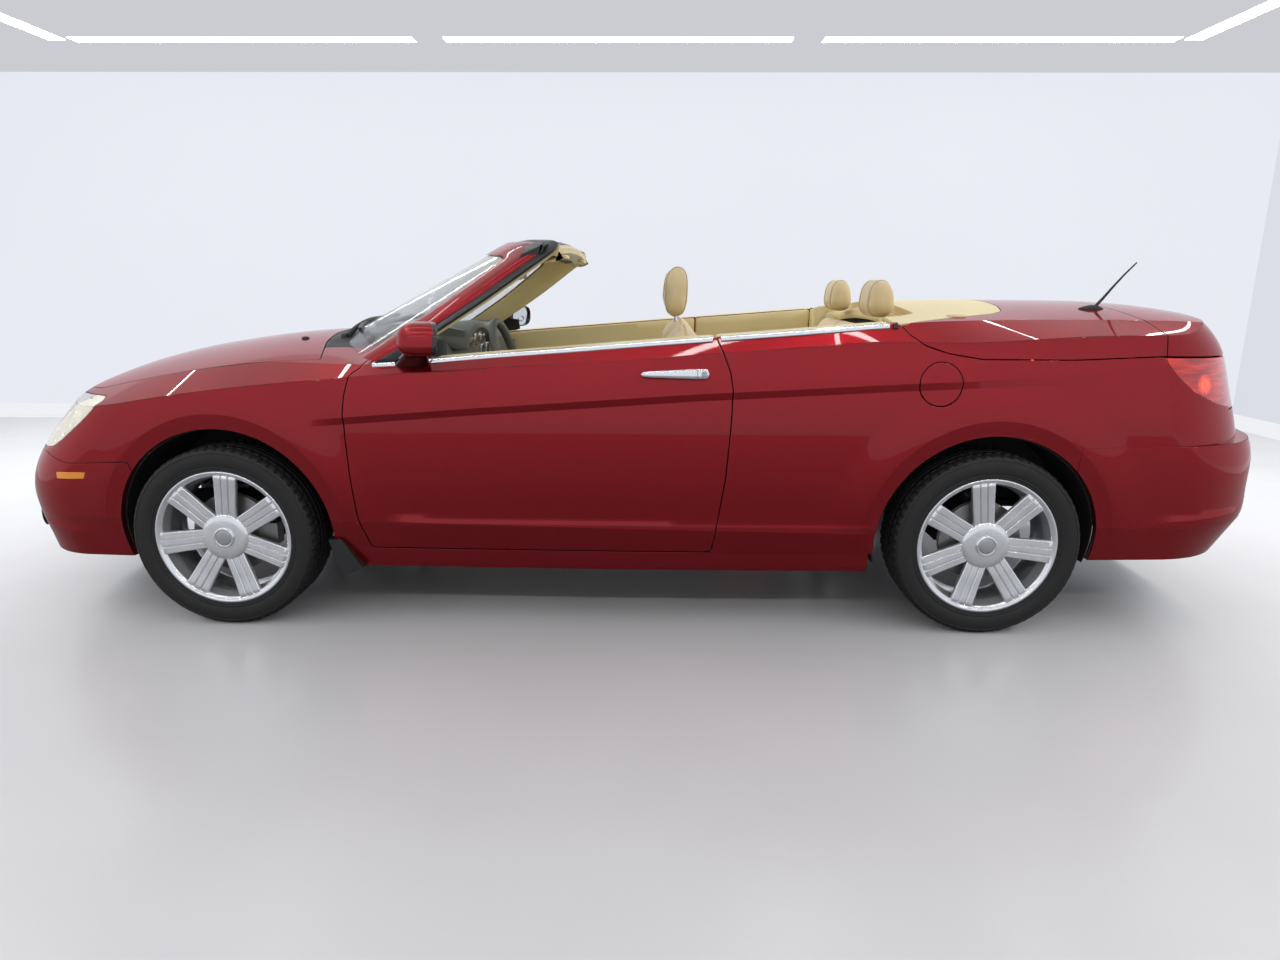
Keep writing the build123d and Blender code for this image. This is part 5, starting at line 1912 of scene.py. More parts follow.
    def _cap(self, name: str) -> bpy.types.Object:
        """Centre cap and tyre valve.

        Args:
            name: object name.

        Returns:
            The cap at the origin.
        """
        ring = lathe("ring", np.array((
            (0.0300, -0.0905), (0.0375, -0.0900), (0.0382, -0.0925), (0.0372, -0.0955), (0.0350, -0.0972),
            (0.0318, -0.0976),
            (0.0300, -0.0968), (0.0292, -0.0950))), 72, self.palette.get("chrome"), 0.6)
        disc = lathe("disc", np.array((
            (0.0002, -0.0972), (0.0100, -0.0971), (0.0200, -0.0968), (0.0262, -0.0962), (0.0285, -0.0955),
            (0.0298, -0.0945),
            (0.0298, -0.0880), (0.0002, -0.0880))), 72, self.palette.get("satin"), 0.6)
        valve = tube("valve", [(0.2010, -0.070, 0.060), (0.1985, -0.082, 0.0592), (0.1965, -0.094, 0.0588)],
            0.0034, self.palette.get("black_trim"))
        return merge(name, [ring, disc, valve])

    def _disc(self, name: str) -> bpy.types.Object:
        """Brake disc and wheel nuts.

        Args:
            name: object name.

        Returns:
            The disc at the origin.
        """
        plate = lathe("plate", np.array((
            (0.0210, -0.0570), (0.0620, -0.0575), (0.0690, -0.0560), (0.0700, -0.0230), (0.0730, -0.0222),
            (0.1440, -0.0220),
            (0.1478, -0.0212), (0.1480, -0.0110), (0.1440, -0.0100), (0.1440, -0.0060), (0.1480, -0.0050),
            (0.1478, 0.0015),
            (0.0210, 0.0015))), 96, self.palette.get("iron"), 0.5)
        nuts = []
        for k in range(5):
            a = math.radians(k * 72 + 18)
            hexagon = [(0.0572 * math.cos(a) + 0.0105 * math.cos(a + j * math.pi / 3),
                    0.0572 * math.sin(a) + 0.0105 * math.sin(a + j * math.pi / 3))
                       for j in range(6)]
            rings = np.array([[(x, y, z) for x, z in hexagon] for y in (-0.0565, -0.0650)])
            nuts.append(loft("nut", rings, self.palette.get("iron")))
        return merge(name, [plate, *nuts])


# ---------------------------------------------------------------- windscreen and its frame
RAKE = 0.543
FRAME_OUTER = np.array(((0.751, 0.880), (0.751, 0.973), (0.692, 1.184), (0.606, 1.362), (0.540, 1.392),
        (0.300, 1.404), (0.0, 1.408)))
FRAME_INNER = np.array(((0.712, 0.880), (0.709, 0.973), (0.645, 1.184), (0.556, 1.346), (0.500, 1.364),
        (0.300, 1.374), (0.0, 1.378)))


def screen_x(y: Array, z: Array) -> Array:
    """Place of the windscreen's front surface.

    Args:
        y: distance across.
        z: height.

    Returns:
        Distance along the car.
    """
    return -0.932 + (z - 1.211) / RAKE + 0.74 * y * y


@dataclass
class Windscreen:
    """Glass, pillars, seals, header and inner trim.

    Attributes:
        palette: finishes.
        form: body surface that the pillars stand on.
    """

    palette: Palette
    form: Form

    def build(self) -> None:
        """Makes every piece."""
        pillar = self._strip("pillar_skin",
            ((-0.06, 0.004), (0.00, -0.004), (0.60, -0.006), (1.30, -0.006), (1.62, -0.002),
                                             (1.62, 0.005), (1.30, 0.0055), (0.95, 0.014), (0.55, 0.040),
                                             (-0.04, 0.038), (-0.10, 0.022)), "paint")
        ride(pillar, "body", "paint")
        seal = self._strip("pillar_seal",
            ((-0.20, 0.037), (0.60, 0.040), (0.72, 0.052), (0.68, 0.074), (0.10, 0.080),
                                           (-0.20, 0.076), (-0.34, 0.056)), "seal")
        ride(seal, "body", "black_trim", "windscreen_frame")
        trim = self._strip("pillar_trim",
            ((0.90, 0.016), (1.64, 0.0135), (1.70, 0.019), (1.30, 0.050), (1.00, 0.084), (0.70, 0.098),
                                           (0.10, 0.104), (0.05, 0.081), (0.14, 0.078), (0.66, 0.071),
                                           (0.74, 0.050), (0.72, 0.036)), "cream")
        ride(trim, "body", "cream")
        ride(self._glass(), "body", "screen", "windscreen")
        for piece in self._header():
            ride(piece, "body", "cream")
        ride(self._mirror_inside(), "body", "black_trim")

    def _rails(self) -> tuple[Array, Array]:
        """Outer and inner edge of the frame, from the foot to the middle of the top.

        Returns:
            Two rows of distance across and height.
        """
        t = np.concatenate(((0.0,), np.cumsum(np.hypot(*np.diff(FRAME_OUTER, axis=0).T))))
        fine = np.concatenate((np.linspace(t[0], t[3] - 0.05, 26)[:-1],
                np.linspace(t[3] - 0.05, t[4] + 0.02, 16), np.linspace(t[4] + 0.04, t[-1], 14)))
        outer = np.column_stack([np.interp(fine, t, FRAME_OUTER[:, k]) for k in (0, 1)])
        inner = np.column_stack([np.interp(fine, t, FRAME_INNER[:, k]) for k in (0, 1)])
        for _ in range(10):
            for rail in (outer, inner):
                rail[1:-1] = rail[1:-1] * 0.5 + (rail[:-2] + rail[2:]) * 0.25
        return outer, inner

    def _strip(self, name: str, section: tuple[tuple[float, float], ...], finish: str) -> bpy.types.Object:
        """Lofts a section round the frame.

        Args:
            name: object name.
            section: share of the way inwards and shift rearwards.
            finish: name of its finish.

        Returns:
            The strip.
        """
        outer, inner = self._rails()
        rings = []
        for a, b in zip(outer, inner):
            ring = []
            for share, shift in section:
                y, z = a + (b - a) * share
                ring.append((screen_x(y, z) + shift, -y, z))
            rings.append(ring)
        rings = np.array(rings)
        whole = np.vstack((rings, (rings * (1, -1, 1))[::-1][1:]))
        floor = self.form.roof(np.clip(whole[..., 0], -2.3, 2.3), whole[..., 1]) - 0.02
        whole[..., 2] = np.maximum(whole[..., 2], floor)
        return loft(name, whole, self.palette.get(finish), angle=0.7)

    def _glass(self) -> bpy.types.Object:
        """Curved pane.

        Returns:
            The pane.
        """
        outer, inner = self._rails()
        edge = outer * 0.12 + inner * 0.88
        low = self.form.roof(screen_x(edge[:, 0], edge[:, 1]), edge[:, 0])
        edge = edge[edge[:, 1] > np.minimum(low, 1.02) - 0.03]
        rows = []
        for y, z in edge:
            for shift in (0.0065, 0.0125):
                across = np.linspace(-y, y, 41)
                rows.append((shift, np.column_stack((screen_x(across, np.full(41, z)) + shift, across,
                            np.full(41, z)))))
        front = np.array([r for s, r in rows if s < 0.01])
        back = np.array([r for s, r in rows if s > 0.01])
        count = len(front)
        points = np.vstack((front.reshape(-1, 3), back.reshape(-1, 3)))
        faces = grid_faces(count, 41) + grid_faces(count, 41, offset=count * 41)
        total = count * 41
        border = [*range(41), *[i * 41 + 40 for i in range(1, count)],
            *[(count - 1) * 41 + j for j in range(39, -1, -1)],
                  *[i * 41 for i in range(count - 2, 0, -1)]]
        for a, b in zip(border, border[1:] + border[:1]):
            faces.append((a, b, b + total, a + total))
        return new_object("windscreen_glass", points, faces, self.palette.get("screen"), 0.5)

    def _header(self) -> list[bpy.types.Object]:
        """Trim and cap of the top rail, and its two catches.

        Returns:
            The pieces.
        """
        lower, upper = [], []
        for t in np.linspace(-1, 1, 41):
            y = 0.572 * t
            top = float(np.interp(abs(y), (0, 0.3, 0.54, 0.6), (1.402, 1.399, 1.388, 1.366)))
            start = float(screen_x(np.array(y), np.array(top))) + 0.012
            end = -0.280 - 0.010 * t**4
            sag = 0.010 * t**6
            ring = ((start + 0.05, top - 0.030), (start + 0.10, top - 0.040),
                (end - 0.060, top - 0.046 - sag), (end - 0.016, top - 0.044 - sag),
                    (end - 0.002, top - 0.036), (end, top - 0.016), (end - 0.010, top - 0.006),
                    (start + 0.07, top - 0.008))
            lower.append([(x, y, z) for x, z in ring])
            y = 0.616 * t
            lean = 0.055 * t**8
            back = end - 0.022 - 0.030 * t**6
            cap = ((start - 0.004 - lean, top - 0.016 - 0.55 * lean),
                (start + 0.004 - lean, top - 0.002 - 0.5 * lean),
                   (start + 0.03, top + 0.005), (back - 0.012, top + 0.0045), (back, top - 0.003),
                   (back - 0.002, top - 0.028),
                   (back - 0.020, top - 0.040), (start + 0.03 - lean, top - 0.040 - 0.5 * lean))
            upper.append([(x, y, z) for x, z in cap])
        cream = loft("header_trim", np.array(lower), self.palette.get("cream"), angle=0.7)
        black = loft("header_seal", np.array(upper), self.palette.get("seal"), angle=0.7)
        catches = []
        for side in (-1, 1):
            y = 0.40 * side
            ring = superellipse(20, 3.5)
            rows = [[(-0.292 + 0.020 * s * u, y + 0.055 * s * v, z) for u, v in ring] for z,
                s in ((1.350, 0.8), (1.346, 1.0), (1.338, 0.98), (1.335, 0.8))]
            catches.append(loft(f"header_catch_{side}", np.array(rows), self.palette.get("cream")))
        return [cream, black, *catches]

    def _mirror_inside(self) -> bpy.types.Object:
        """Inner mirror on its stem.

        Returns:
            The mirror.
        """
        ring = superellipse(32, 3.2)
        rows = []
        for x, s in ((-0.560, 0.82), (-0.556, 0.97), (-0.545, 1.0), (-0.532, 0.93), (-0.524, 0.6)):
            rows.append([(x - 0.12 * (0.032 * s * v), 0.118 * s * u, 1.290 + 0.034 * s * v) for u, v in ring])
        body = loft("case", np.array(rows)[::-1], self.palette.get("black_trim"))
        glass = [[(-0.5188 - 0.12 * (0.028 * s * v), 0.108 * s * u, 1.290 + 0.029 * s * v) for u, v in ring]
            for s in (1.0, 0.98)]
        glass = np.array(glass)
        glass[1, :, 0] -= 0.004
        sheet = loft("sheet", glass, self.palette.get("mirror"))
        stem = tube("stem", [(-0.560, 0, 1.300), (-0.590, 0, 1.335), (-0.612, 0, 1.362)], 0.009,
            self.palette.get("black_trim"))
        return merge("mirror_inside", [body, sheet, stem])


# ---------------------------------------------------------------- outer fittings
@dataclass
class Fittings:
    """Chrome strips, handles, mirrors, lamps, wipers, antenna and other small outer pieces.

    Attributes:
        palette: finishes.
        form: body surface they follow.
    """

    palette: Palette
    form: Form

    def build(self) -> None:
        """Makes every piece."""
        self._belts()
        for side, name in ((-1, "left"), (1, "right")):
            self._handle(side, name)
            self._mirror(side, name)
            self._guard(side, name)
            self._marker(side, name)
            self._fog(side, name)
        self._headlamps()
        self._tail_lamps()
        self._wipers()
        self._antenna()
        self._nozzles()
        self._tailpipe()

    def side_point(self, x: float, z: float, out: float = 0.0) -> Array:
        """Point on the left flank.

        Args:
            x: place along the car.
            z: height.
            out: distance out of the surface.

        Returns:
            The point.
        """
        outline = self.form.outline(z)
        y = float(np.interp(x, outline[:, 0], outline[:, 1]))
        y1 = float(np.interp(x + 0.01, outline[:, 0], outline[:, 1]))
        above = self.form.outline(z + 0.01)
        y2 = float(np.interp(x, above[:, 0], above[:, 1]))
        normal = np.cross((0.01, -(y1 - y), 0), (0, -(y2 - y), 0.01))
        normal /= np.linalg.norm(normal)
        if normal[1] > 0:
            normal = -normal
        return np.array((x, -y, z)) + normal * out

    def _belts(self) -> None:
        """Bright strips and seals along the waist."""
        xs = np.linspace(-0.928, 0.908, 130)
        rows = self.form.top(xs)
        width = self.form.sizes(1.0)[2]
        y = np.minimum(rows[:, 1], width - 0.045)
        z = self.form.roof(xs, y)
        y_smooth = np.convolve(np.pad(y, 6, "edge"), np.ones(13) / 13, "valid")
        z_smooth = np.convolve(np.pad(z, 6, "edge"), np.ones(13) / 13, "valid")
        path = np.column_stack((xs, -y_smooth, z_smooth + 0.002))
        section = np.array(((-0.004, -0.004), (-0.004, 0.0045), (-0.001, 0.0065), (0.005, 0.007),
                (0.012, 0.005), (0.0165, 0.000),
                            (0.0175, -0.008), (0.0165, -0.0115), (0.013, -0.010), (0.012, -0.004)))
        seal = np.array(((-0.016, -0.004), (-0.016, 0.002), (-0.010, 0.004), (-0.005, 0.004),
                (-0.0035, -0.004)))
        across = np.tile((0.0, -1.0, 0.0), (len(xs), 1))
        up = np.tile((0.0, 0.0, 1.0), (len(xs), 1))
        split = 0.279
        door, rear = xs <= split - 0.002, xs >= split + 0.004
        end = xs > 0.885
        for side, name in ((-1, "left"), (1, "right")):
            flip = np.array((1.0, -side, 1.0))
            turn = across * (1, -side, 1)
            for mask, part, body in ((door, "door", f"door_{name}"), (rear & ~end, "quarter", "body")):
                strip = ribbon(f"belt_{part}_{name}", (path * flip)[mask], turn[mask], up[mask], section,
                    self.palette.get("chrome"))
                ride(strip, body, "chrome")
                lip = ribbon(f"belt_seal_{part}_{name}", (path * flip)[mask], turn[mask], up[mask], seal,
                    self.palette.get("seal"))
                ride(lip, body, "black_trim")
            tip = ribbon(f"belt_end_{name}", (path * flip)[end], turn[end], up[end], section * (1.12, 1.15),
                self.palette.get("gloss_black"))
            ride(tip, "body", "black_trim")

    def _handle(self, side: int, name: str) -> None:
        """Door handle with its lock and the cup behind it.

        Args:
            side: minus one on the left, one on the right.
            name: name of the side.
        """
        xs = np.concatenate(((0.0215, 0.0225, 0.0250, 0.030), np.linspace(0.045, 0.232, 16),
                (0.2405, 0.2465, 0.2505, 0.2525)))
        ring = superellipse(24, 2.8)
        rings = []
        for x in xs:
            t = (x - 0.0215) / 0.231
            tall = 0.0098 + 0.0078 * min(1.0, t * 1.25)
            end = min(1.0, ((x - 0.0205) / 0.012) ** 0.5, ((0.2540 - x) / 0.010) ** 0.5)
            centre = self.side_point(x, 0.9425 - 0.0012 * math.cos(t * math.pi), 0.0265)
            rings.append([centre + (0, -0.0072 * v * end, tall * u * end) for u, v in ring])
        bar = loft(f"handle_bar_{name}", np.array(rings), self.palette.get("chrome"), angle=0.8)
        feet = []
        for x in (0.045, 0.232):
            rows = []
            for out, s in ((-0.002, 1.25), (0.004, 1.0), (0.012, 0.9), (0.022, 0.92)):
                centre = self.side_point(x, 0.942, out)
                rows.append([centre + (0.013 * s * u, 0, 0.0078 * s * v) for u, v in ring])
            feet.append(loft("foot", np.array(rows), self.palette.get("chrome")))
        lock_rows = []
        for out, r in ((0.0280, 0.0092), (0.0352, 0.0092), (0.0360, 0.0084), (0.0350, 0.0074),
            (0.0350, 0.0008)):
            centre = self.side_point(0.2355, 0.9428, out)
            turn = np.arange(28) * 2 * math.pi / 28
            lock_rows.append([centre + (r * math.cos(a), 0, r * math.sin(a)) for a in turn])
        lock = loft("lock", np.array(lock_rows), self.palette.get("satin"), angle=0.5)
        seam_rows = []
        for x in (0.2125, 0.2140):
            centre = self.side_point(x, 0.9425, 0.0266)
            seam_rows.append([centre + (0, -0.0075 * v, 0.0179 * u) for u, v in ring])
        seam = loft("seam", np.array(seam_rows), self.palette.get("seal"))
        left = merge(f"handle_detail_{name}", [bar, *feet, lock, seam])
        cup_rows = []
        turn = np.arange(40) * 2 * math.pi / 40
        for r, out in ((1.0, 0.0032), (0.97, 0.0048), (0.90, 0.0046), (0.80, -0.0010), (0.55, -0.0045),
            (0.2, -0.0055), (0.02, -0.0058)):
            cup_rows.append([self.side_point(0.128 + 0.056 * r * math.cos(a),
                        0.939 + (0.034 if math.sin(a) < 0 else 0.026) * r * math.sin(a), out)
                             for a in turn])
        cup = loft(f"handle_cup_{name}", np.array(cup_rows), self.palette.get("paint"), angle=0.9)
        for obj in (left, cup):
            to_side(obj, side)
        ride(left, f"door_{name}", "chrome", f"handle_{name}")
        ride(cup, f"door_{name}", "paint")

    def _mirror(self, side: int, name: str) -> None:
        """Door mirror with its foot and corner plate.

        Args:
            side: minus one on the left, one on the right.
            name: name of the side.
        """
        ring = superellipse(40, 2.9)
        spec = ((-0.790, 0.030, 0.34), (-0.788, 0.046, 0.52), (-0.780, 0.066, 0.74), (-0.765, 0.082, 0.90),
            (-0.745, 0.091, 0.985),
                (-0.720, 0.0945, 1.0), (-0.700, 0.0945, 0.99), (-0.690, 0.093, 0.97))
        rows = []
        for x, half, s in spec:
            tall = 0.0575 * s
            turn = 0.034 * min(1.0, max(0.0, (x + 0.770) / 0.070))
            rows.append([(x + 0.05 * (0.06 * v) - turn * u, -0.930 + half * u * (1 - 0.10 * v),
                        1.062 + tall * v) for u, v in ring])
        cap = loft(f"mirror_cap_{name}", np.array(rows), self.palette.get("paint"), angle=0.9)
        rim_rows = []
        for x, half, tall in ((-0.6905, 0.0935, 0.0560), (-0.6840, 0.0955, 0.0570), (-0.6770, 0.0930, 0.0552),
            (-0.6770, 0.0865, 0.0494), (-0.6890, 0.0850, 0.0484)):
            rim_rows.append([(x + 0.003 * v - 0.034 * u, -0.930 + half * u * (1 - 0.10 * v),
                        1.062 + tall * v) for u, v in ring])
        rim = loft("rim", np.array(rim_rows), self.palette.get("gloss_black"), angle=0.6)
        glass_rows = [[(x + 0.003 * v - 0.034 * u * half / 0.0935, -0.930 + half * u * (1 - 0.10 * v),
                    1.062 + tall * v) for u, v in ring]
                      for x, half, tall in ((-0.6885, 0.0852, 0.0486), (-0.6868, 0.0850, 0.0484),
                      (-0.6862, 0.0500, 0.0280), (-0.6861, 0.0010, 0.0006))]
        glass = loft("glass", np.array(glass_rows), self.palette.get("mirror"), angle=0.9)
        base_rows = []
        for t in np.linspace(0, 1, 9):
            y = -0.905 + t * 0.078
            z = 1.016 - 0.052 * t
            x = -0.745 - 0.040 * t
            wide, tall = 0.034 + 0.030 * t, 0.011 + 0.016 * t
            base_rows.append([(x + wide * u, y, z + tall * v) for u, v in superellipse(28, 3.0)])
        base = loft("base", np.array(base_rows), self.palette.get("gloss_black"), angle=0.8)
        sail = self._sail()
        black = merge(f"mirror_base_{name}", [rim, glass, base, sail])
        for obj in (cap, black):
            to_side(obj, side)
        ride(cap, f"door_{name}", "paint", f"mirror_{name}")
        ride(black, f"door_{name}", "black_trim")

    def _sail(self) -> bpy.types.Object:
        """Corner plate at the front of the door's waist.

        Returns:
            The plate.
        """
        corners = ((-0.925, 0.968), (-0.700, 0.990), (-0.668, 1.000), (-0.672, 1.050), (-0.755, 1.062),
            (-0.800, 1.040))
        outline = dense(corners, 0.03)
        rows = []
        for inset, y in ((0.0, -0.806), (0.0, -0.815), (0.004, -0.8185), (0.012, -0.8190)):
            cx, cz = -0.765, 1.020
            rows.append([(cx + (x - cx) * (1 - inset / 0.08), y + (z - 0.98) * 0.38,
                        cz + (z - cz) * (1 - inset / 0.05)) for x, z in outline])
        return loft("sail", np.array(rows), self.palette.get("black_trim"), angle=0.6)

    def _guard(self, side: int, name: str) -> None:
        """Splash guard behind a front wheel.

        Args:
            side: minus one on the left, one on the right.
            name: name of the side.
        """
        outline = ((-1.118, 0.330), (-1.070, 0.330), (-1.010, 0.236), (-0.995, 0.226), (-1.072, 0.184),
            (-1.082, 0.200))
        rows = [[(x, y * side, z) for x, z in dense(outline, 0.03)] for y in (0.872, 0.868, 0.700, 0.696)]
        guard = loft(f"splash_guard_{name}", np.array(rows), self.palette.get("black_trim"))
        ride(guard, "body", "black_trim")

    def _marker(self, side: int, name: str) -> None:
        """Amber side marker.

        Args:
            side: minus one on the left, one on the right.
            name: name of the side.
        """
        rows = []
        grid = []
        for x in np.linspace(-2.120, -1.984, 15):
            low, high = 0.5385 + 0.04 * (x + 2.12), 0.5635 + 0.045 * (x + 2.12)
            grid.append([(x, z) for z in (low, low + 0.0015, (low + high) / 2, high - 0.0015, high)])
        for out in (0.0, 0.0045):
            for col in grid:
                for j, (x, z) in enumerate(col):
                    rows.append(self.side_point(x, z, out * (0.4 if j in (0, 4) else 1.0)))
        count = len(grid)
        faces = grid_faces(count, 5) + grid_faces(count, 5, offset=count * 5)
        border = [*range(5), *[i * 5 + 4 for i in range(1, count)],
            *[(count - 1) * 5 + j for j in range(3, -1, -1)], *[i * 5 for i in range(count - 2, 0, -1)]]
        faces += [(a, b, b + count * 5, a + count * 5) for a, b in zip(border, border[1:] + border[:1])]
        points = np.array(rows)
        if side > 0:
            points = points * (1, -1, 1)
        obj = new_object(f"side_marker_{name}", points, faces, self.palette.get("amber"), 0.5)
        ride(obj, "body", "lamp_clear")

    def _fog(self, side: int, name: str) -> None:
        """Fog lamp in the front bumper.

        Args:
            side: minus one on the left, one on the right.
            name: name of the side.
        """
        centre = self.form.outline(0.36)
        x = float(np.interp(0.62, centre[:200, 1], centre[:200, 0]))
        axis = Vector((-1.0, -0.42, 0.0)).normalized()
        parts = []
        for finish, spec in (("black_trim",
                ((0.058, -0.004), (0.058, 0.006), (0.052, 0.009), (0.046, 0.006), (0.044, -0.006))),
                             ("lens", ((0.0445, -0.004), (0.0445, 0.002), (0.038, 0.007), (0.020, 0.010),
                             (0.001, 0.011))),
                             ("bowl", ((0.043, -0.003), (0.034, -0.012), (0.018, -0.020), (0.001, -0.022)))):
            rows = []
            for r, out in spec:
                turn = np.arange(40) * 2 * math.pi / 40
                u = Vector((0, 0, 1)).cross(axis).normalized()
                centre_point = Vector((x, -0.62, 0.36)) + axis * (out + 0.003)
                rows.append([tuple(centre_point + u * (r * math.cos(a)) + Vector((0, 0, 1))
                            * (r * math.sin(a))) for a in turn])
            parts.append(loft(finish, np.array(rows), self.palette.get(finish), caps=finish != "black_trim",
                    angle=0.8))
        lamp = merge(f"fog_lamp_{name}", parts)
        to_side(lamp, side)
        ride(lamp, "body", "lamp_clear")

    def _bowl(self, name: str, centre: tuple, axis: tuple, radius: float, depth: float,
        finish: str) -> bpy.types.Object:
        """Lamp bowl.

        Args:
            name: object name.
            centre: middle of its mouth.
            axis: direction it faces.
            radius: radius of its mouth.
            depth: its depth.
            finish: name of its finish.

        Returns:
            The bowl.
        """
        forward = Vector(axis).normalized()
        u = Vector((0, 0, 1)).cross(forward).normalized()
        v = forward.cross(u)
        rows = []
        for t in np.linspace(1, 0.02, 9):
            r = radius * t
            back = depth * (1 - t * t)
            turn = np.arange(36) * 2 * math.pi / 36
            point = Vector(centre) - forward * back
            rows.append([tuple(point + u * (r * math.cos(a)) + v * (r * math.sin(a))) for a in turn])
        return loft(name, np.array(rows), self.palette.get(finish), caps=False, angle=0.9)

    def _headlamps(self) -> None:
        """Reflectors and bulbs behind the front lenses."""
        for side, name in ((-1, "left"), (1, "right")):
            parts = [
                self._bowl("main", (-2.205, -0.560, 0.690), (-1, -0.35, 0.05), 0.062, 0.055, "bowl"),
                self._bowl("second", (-2.110, -0.655, 0.745), (-1, -0.55, 0.1), 0.052, 0.045, "bowl"),
                self._bowl("bulb", (-2.190, -0.568, 0.690), (1, 0.35, 0), 0.016, 0.030, "bulb"),
                self._bowl("lamp", (-2.100, -0.664, 0.746), (1, 0.5, 0), 0.014, 0.026, "bulb"),
                self._bowl("turn", (-2.020, -0.725, 0.795), (-0.7, -1, 0.1), 0.030, 0.022, "amber"),
            ]
            detail = merge(f"headlamp_detail_{name}", parts)
            to_side(detail, side)
            ride(detail, "body", "lamp_clear")

    def _tail_lamps(self) -> None:
        """Bulbs behind the rear lenses."""
        for side, name in ((-1, "left"), (1, "right")):
            parts = [
                self._bowl("stop", (2.060, -0.700, 0.912), (0.7, -1, 0), 0.022, 0.012, "red_bulb"),
                self._bowl("tail", (2.060, -0.700, 0.870), (0.7, -1, 0), 0.012, 0.008, "red_bulb"),
            ]
            detail = merge(f"tail_lamp_detail_{name}", parts)
            to_side(detail, side)
            ride(detail, "body", "lamp_red")

    def _wipers(self) -> None:
        """Both wipers at rest."""
        for root, tip_y, name in (((-1.205, -0.33), 0.12, "left"), ((-1.215, 0.12), 0.56, "right")):
            y0 = root[1]
            z0 = float(self.form.roof(np.array([root[0]]), np.array([y0]))[0])
            path = []
            for t in np.linspace(0, 1, 12):
                y = y0 + (tip_y - y0) * t
                z = 1.040 + 0.045 * math.sin(min(1.0, t * 1.5) * math.pi / 2)
                x = float(screen_x(np.array(y), np.array(z))) - 0.018
                path.append((x, y, z))
            arm = tube("arm", [(root[0] + 0.01, y0, z0 + 0.004), *path[2:]], 0.006,
                self.palette.get("black_trim"), radii=[0.014, *[0.010] * 10])
            blade_path = []
            for t in np.linspace(0, 1, 16):
                y = y0 - 0.02 + (tip_y + 0.06 - y0) * t
                z = 1.058 + 0.040 * t
                blade_path.append((float(screen_x(np.array(y), np.array(z))) - 0.008, y, z))
            blade = tube("blade", blade_path, 0.0085, self.palette.get("seal"), sides=8)
            knob = tube("knob", [(root[0], y0, z0 - 0.004), (root[0], y0, z0 + 0.006),
                    (root[0], y0, z0 + 0.016)], 0.013, self.palette.get("black_trim"), sides=20,
                    radii=[0.016, 0.015, 0.009])
            ride(merge(f"wiper_{name}", [arm, blade, knob]), "body", "black_trim")

    def _antenna(self) -> None:
        """Short mast on its foot."""
        mast = tube("mast", [(1.772, -0.42, 1.166), (1.800, -0.42, 1.200), (1.832, -0.42, 1.2425),
                (1.868, -0.42, 1.2875), (1.9095, -0.42, 1.3335)], 0.004,
                    self.palette.get("black_trim"), radii=[0.0062, 0.0052, 0.0044, 0.0036, 0.0028])
        rows = []
        for t in np.linspace(0, 1, 9):
            x = 1.712 + 0.092 * t
            tall = 0.004 + 0.017 * math.sin(math.pi * min(1.0, t * 0.9 + 0.08)) * (0.5 + 0.5 * t)
            z = float(self.form.roof(np.array([x]), np.array([-0.42]))[0])
            half = 0.013 * math.sin(math.pi * min(0.97, t * 0.92 + 0.06)) + 0.003
            rows.append([(x, -0.42 + half * math.cos(a),
                        z + 0.001 + tall * max(0.0, math.sin(a)) - (0.004 if math.sin(a) < 0 else 0))
                            for a in np.arange(20) * math.pi / 10])
        base = loft("foot", np.array(rows), self.palette.get("black_trim"), angle=0.9)
        ride(merge("antenna_detail", [base, mast]), "tonneau", "black_trim", "antenna")

    def _nozzles(self) -> None:
        """Washer nozzles on the hood."""
        for side in (-1, 1):
            x, y = -1.362, 0.34 * side
            z = float(self.form.roof(np.array([x]), np.array([y]))[0])
            rows = [[(x + 0.016 * s * u, y + 0.010 * s * v, z + h) for u, v in superellipse(24, 2.4)] for s,
                h in ((1.0, 0.0), (1.0, 0.004), (0.8, 0.009), (0.3, 0.011))]
            ride(loft(f"washer_nozzle_{'left' if side < 0 else 'right'}", np.array(rows),
                    self.palette.get("black_trim"), angle=0.9), "hood", "black_trim")

    def _tailpipe(self) -> None:
        """Bright end of the exhaust."""
        rows = []
        for x, r in ((2.140, 0.026), (2.230, 0.027), (2.330, 0.031), (2.345, 0.0325), (2.347, 0.031),
            (2.330, 0.028), (2.200, 0.024)):
            rows.append([(x, 0.40 + r * math.cos(a), 0.300 + r * math.sin(a))
                    for a in np.arange(32) * math.pi / 16])
        ride(loft("tailpipe", np.array(rows), self.palette.get("chrome"), caps=False, angle=0.9), "body",
            "steel")


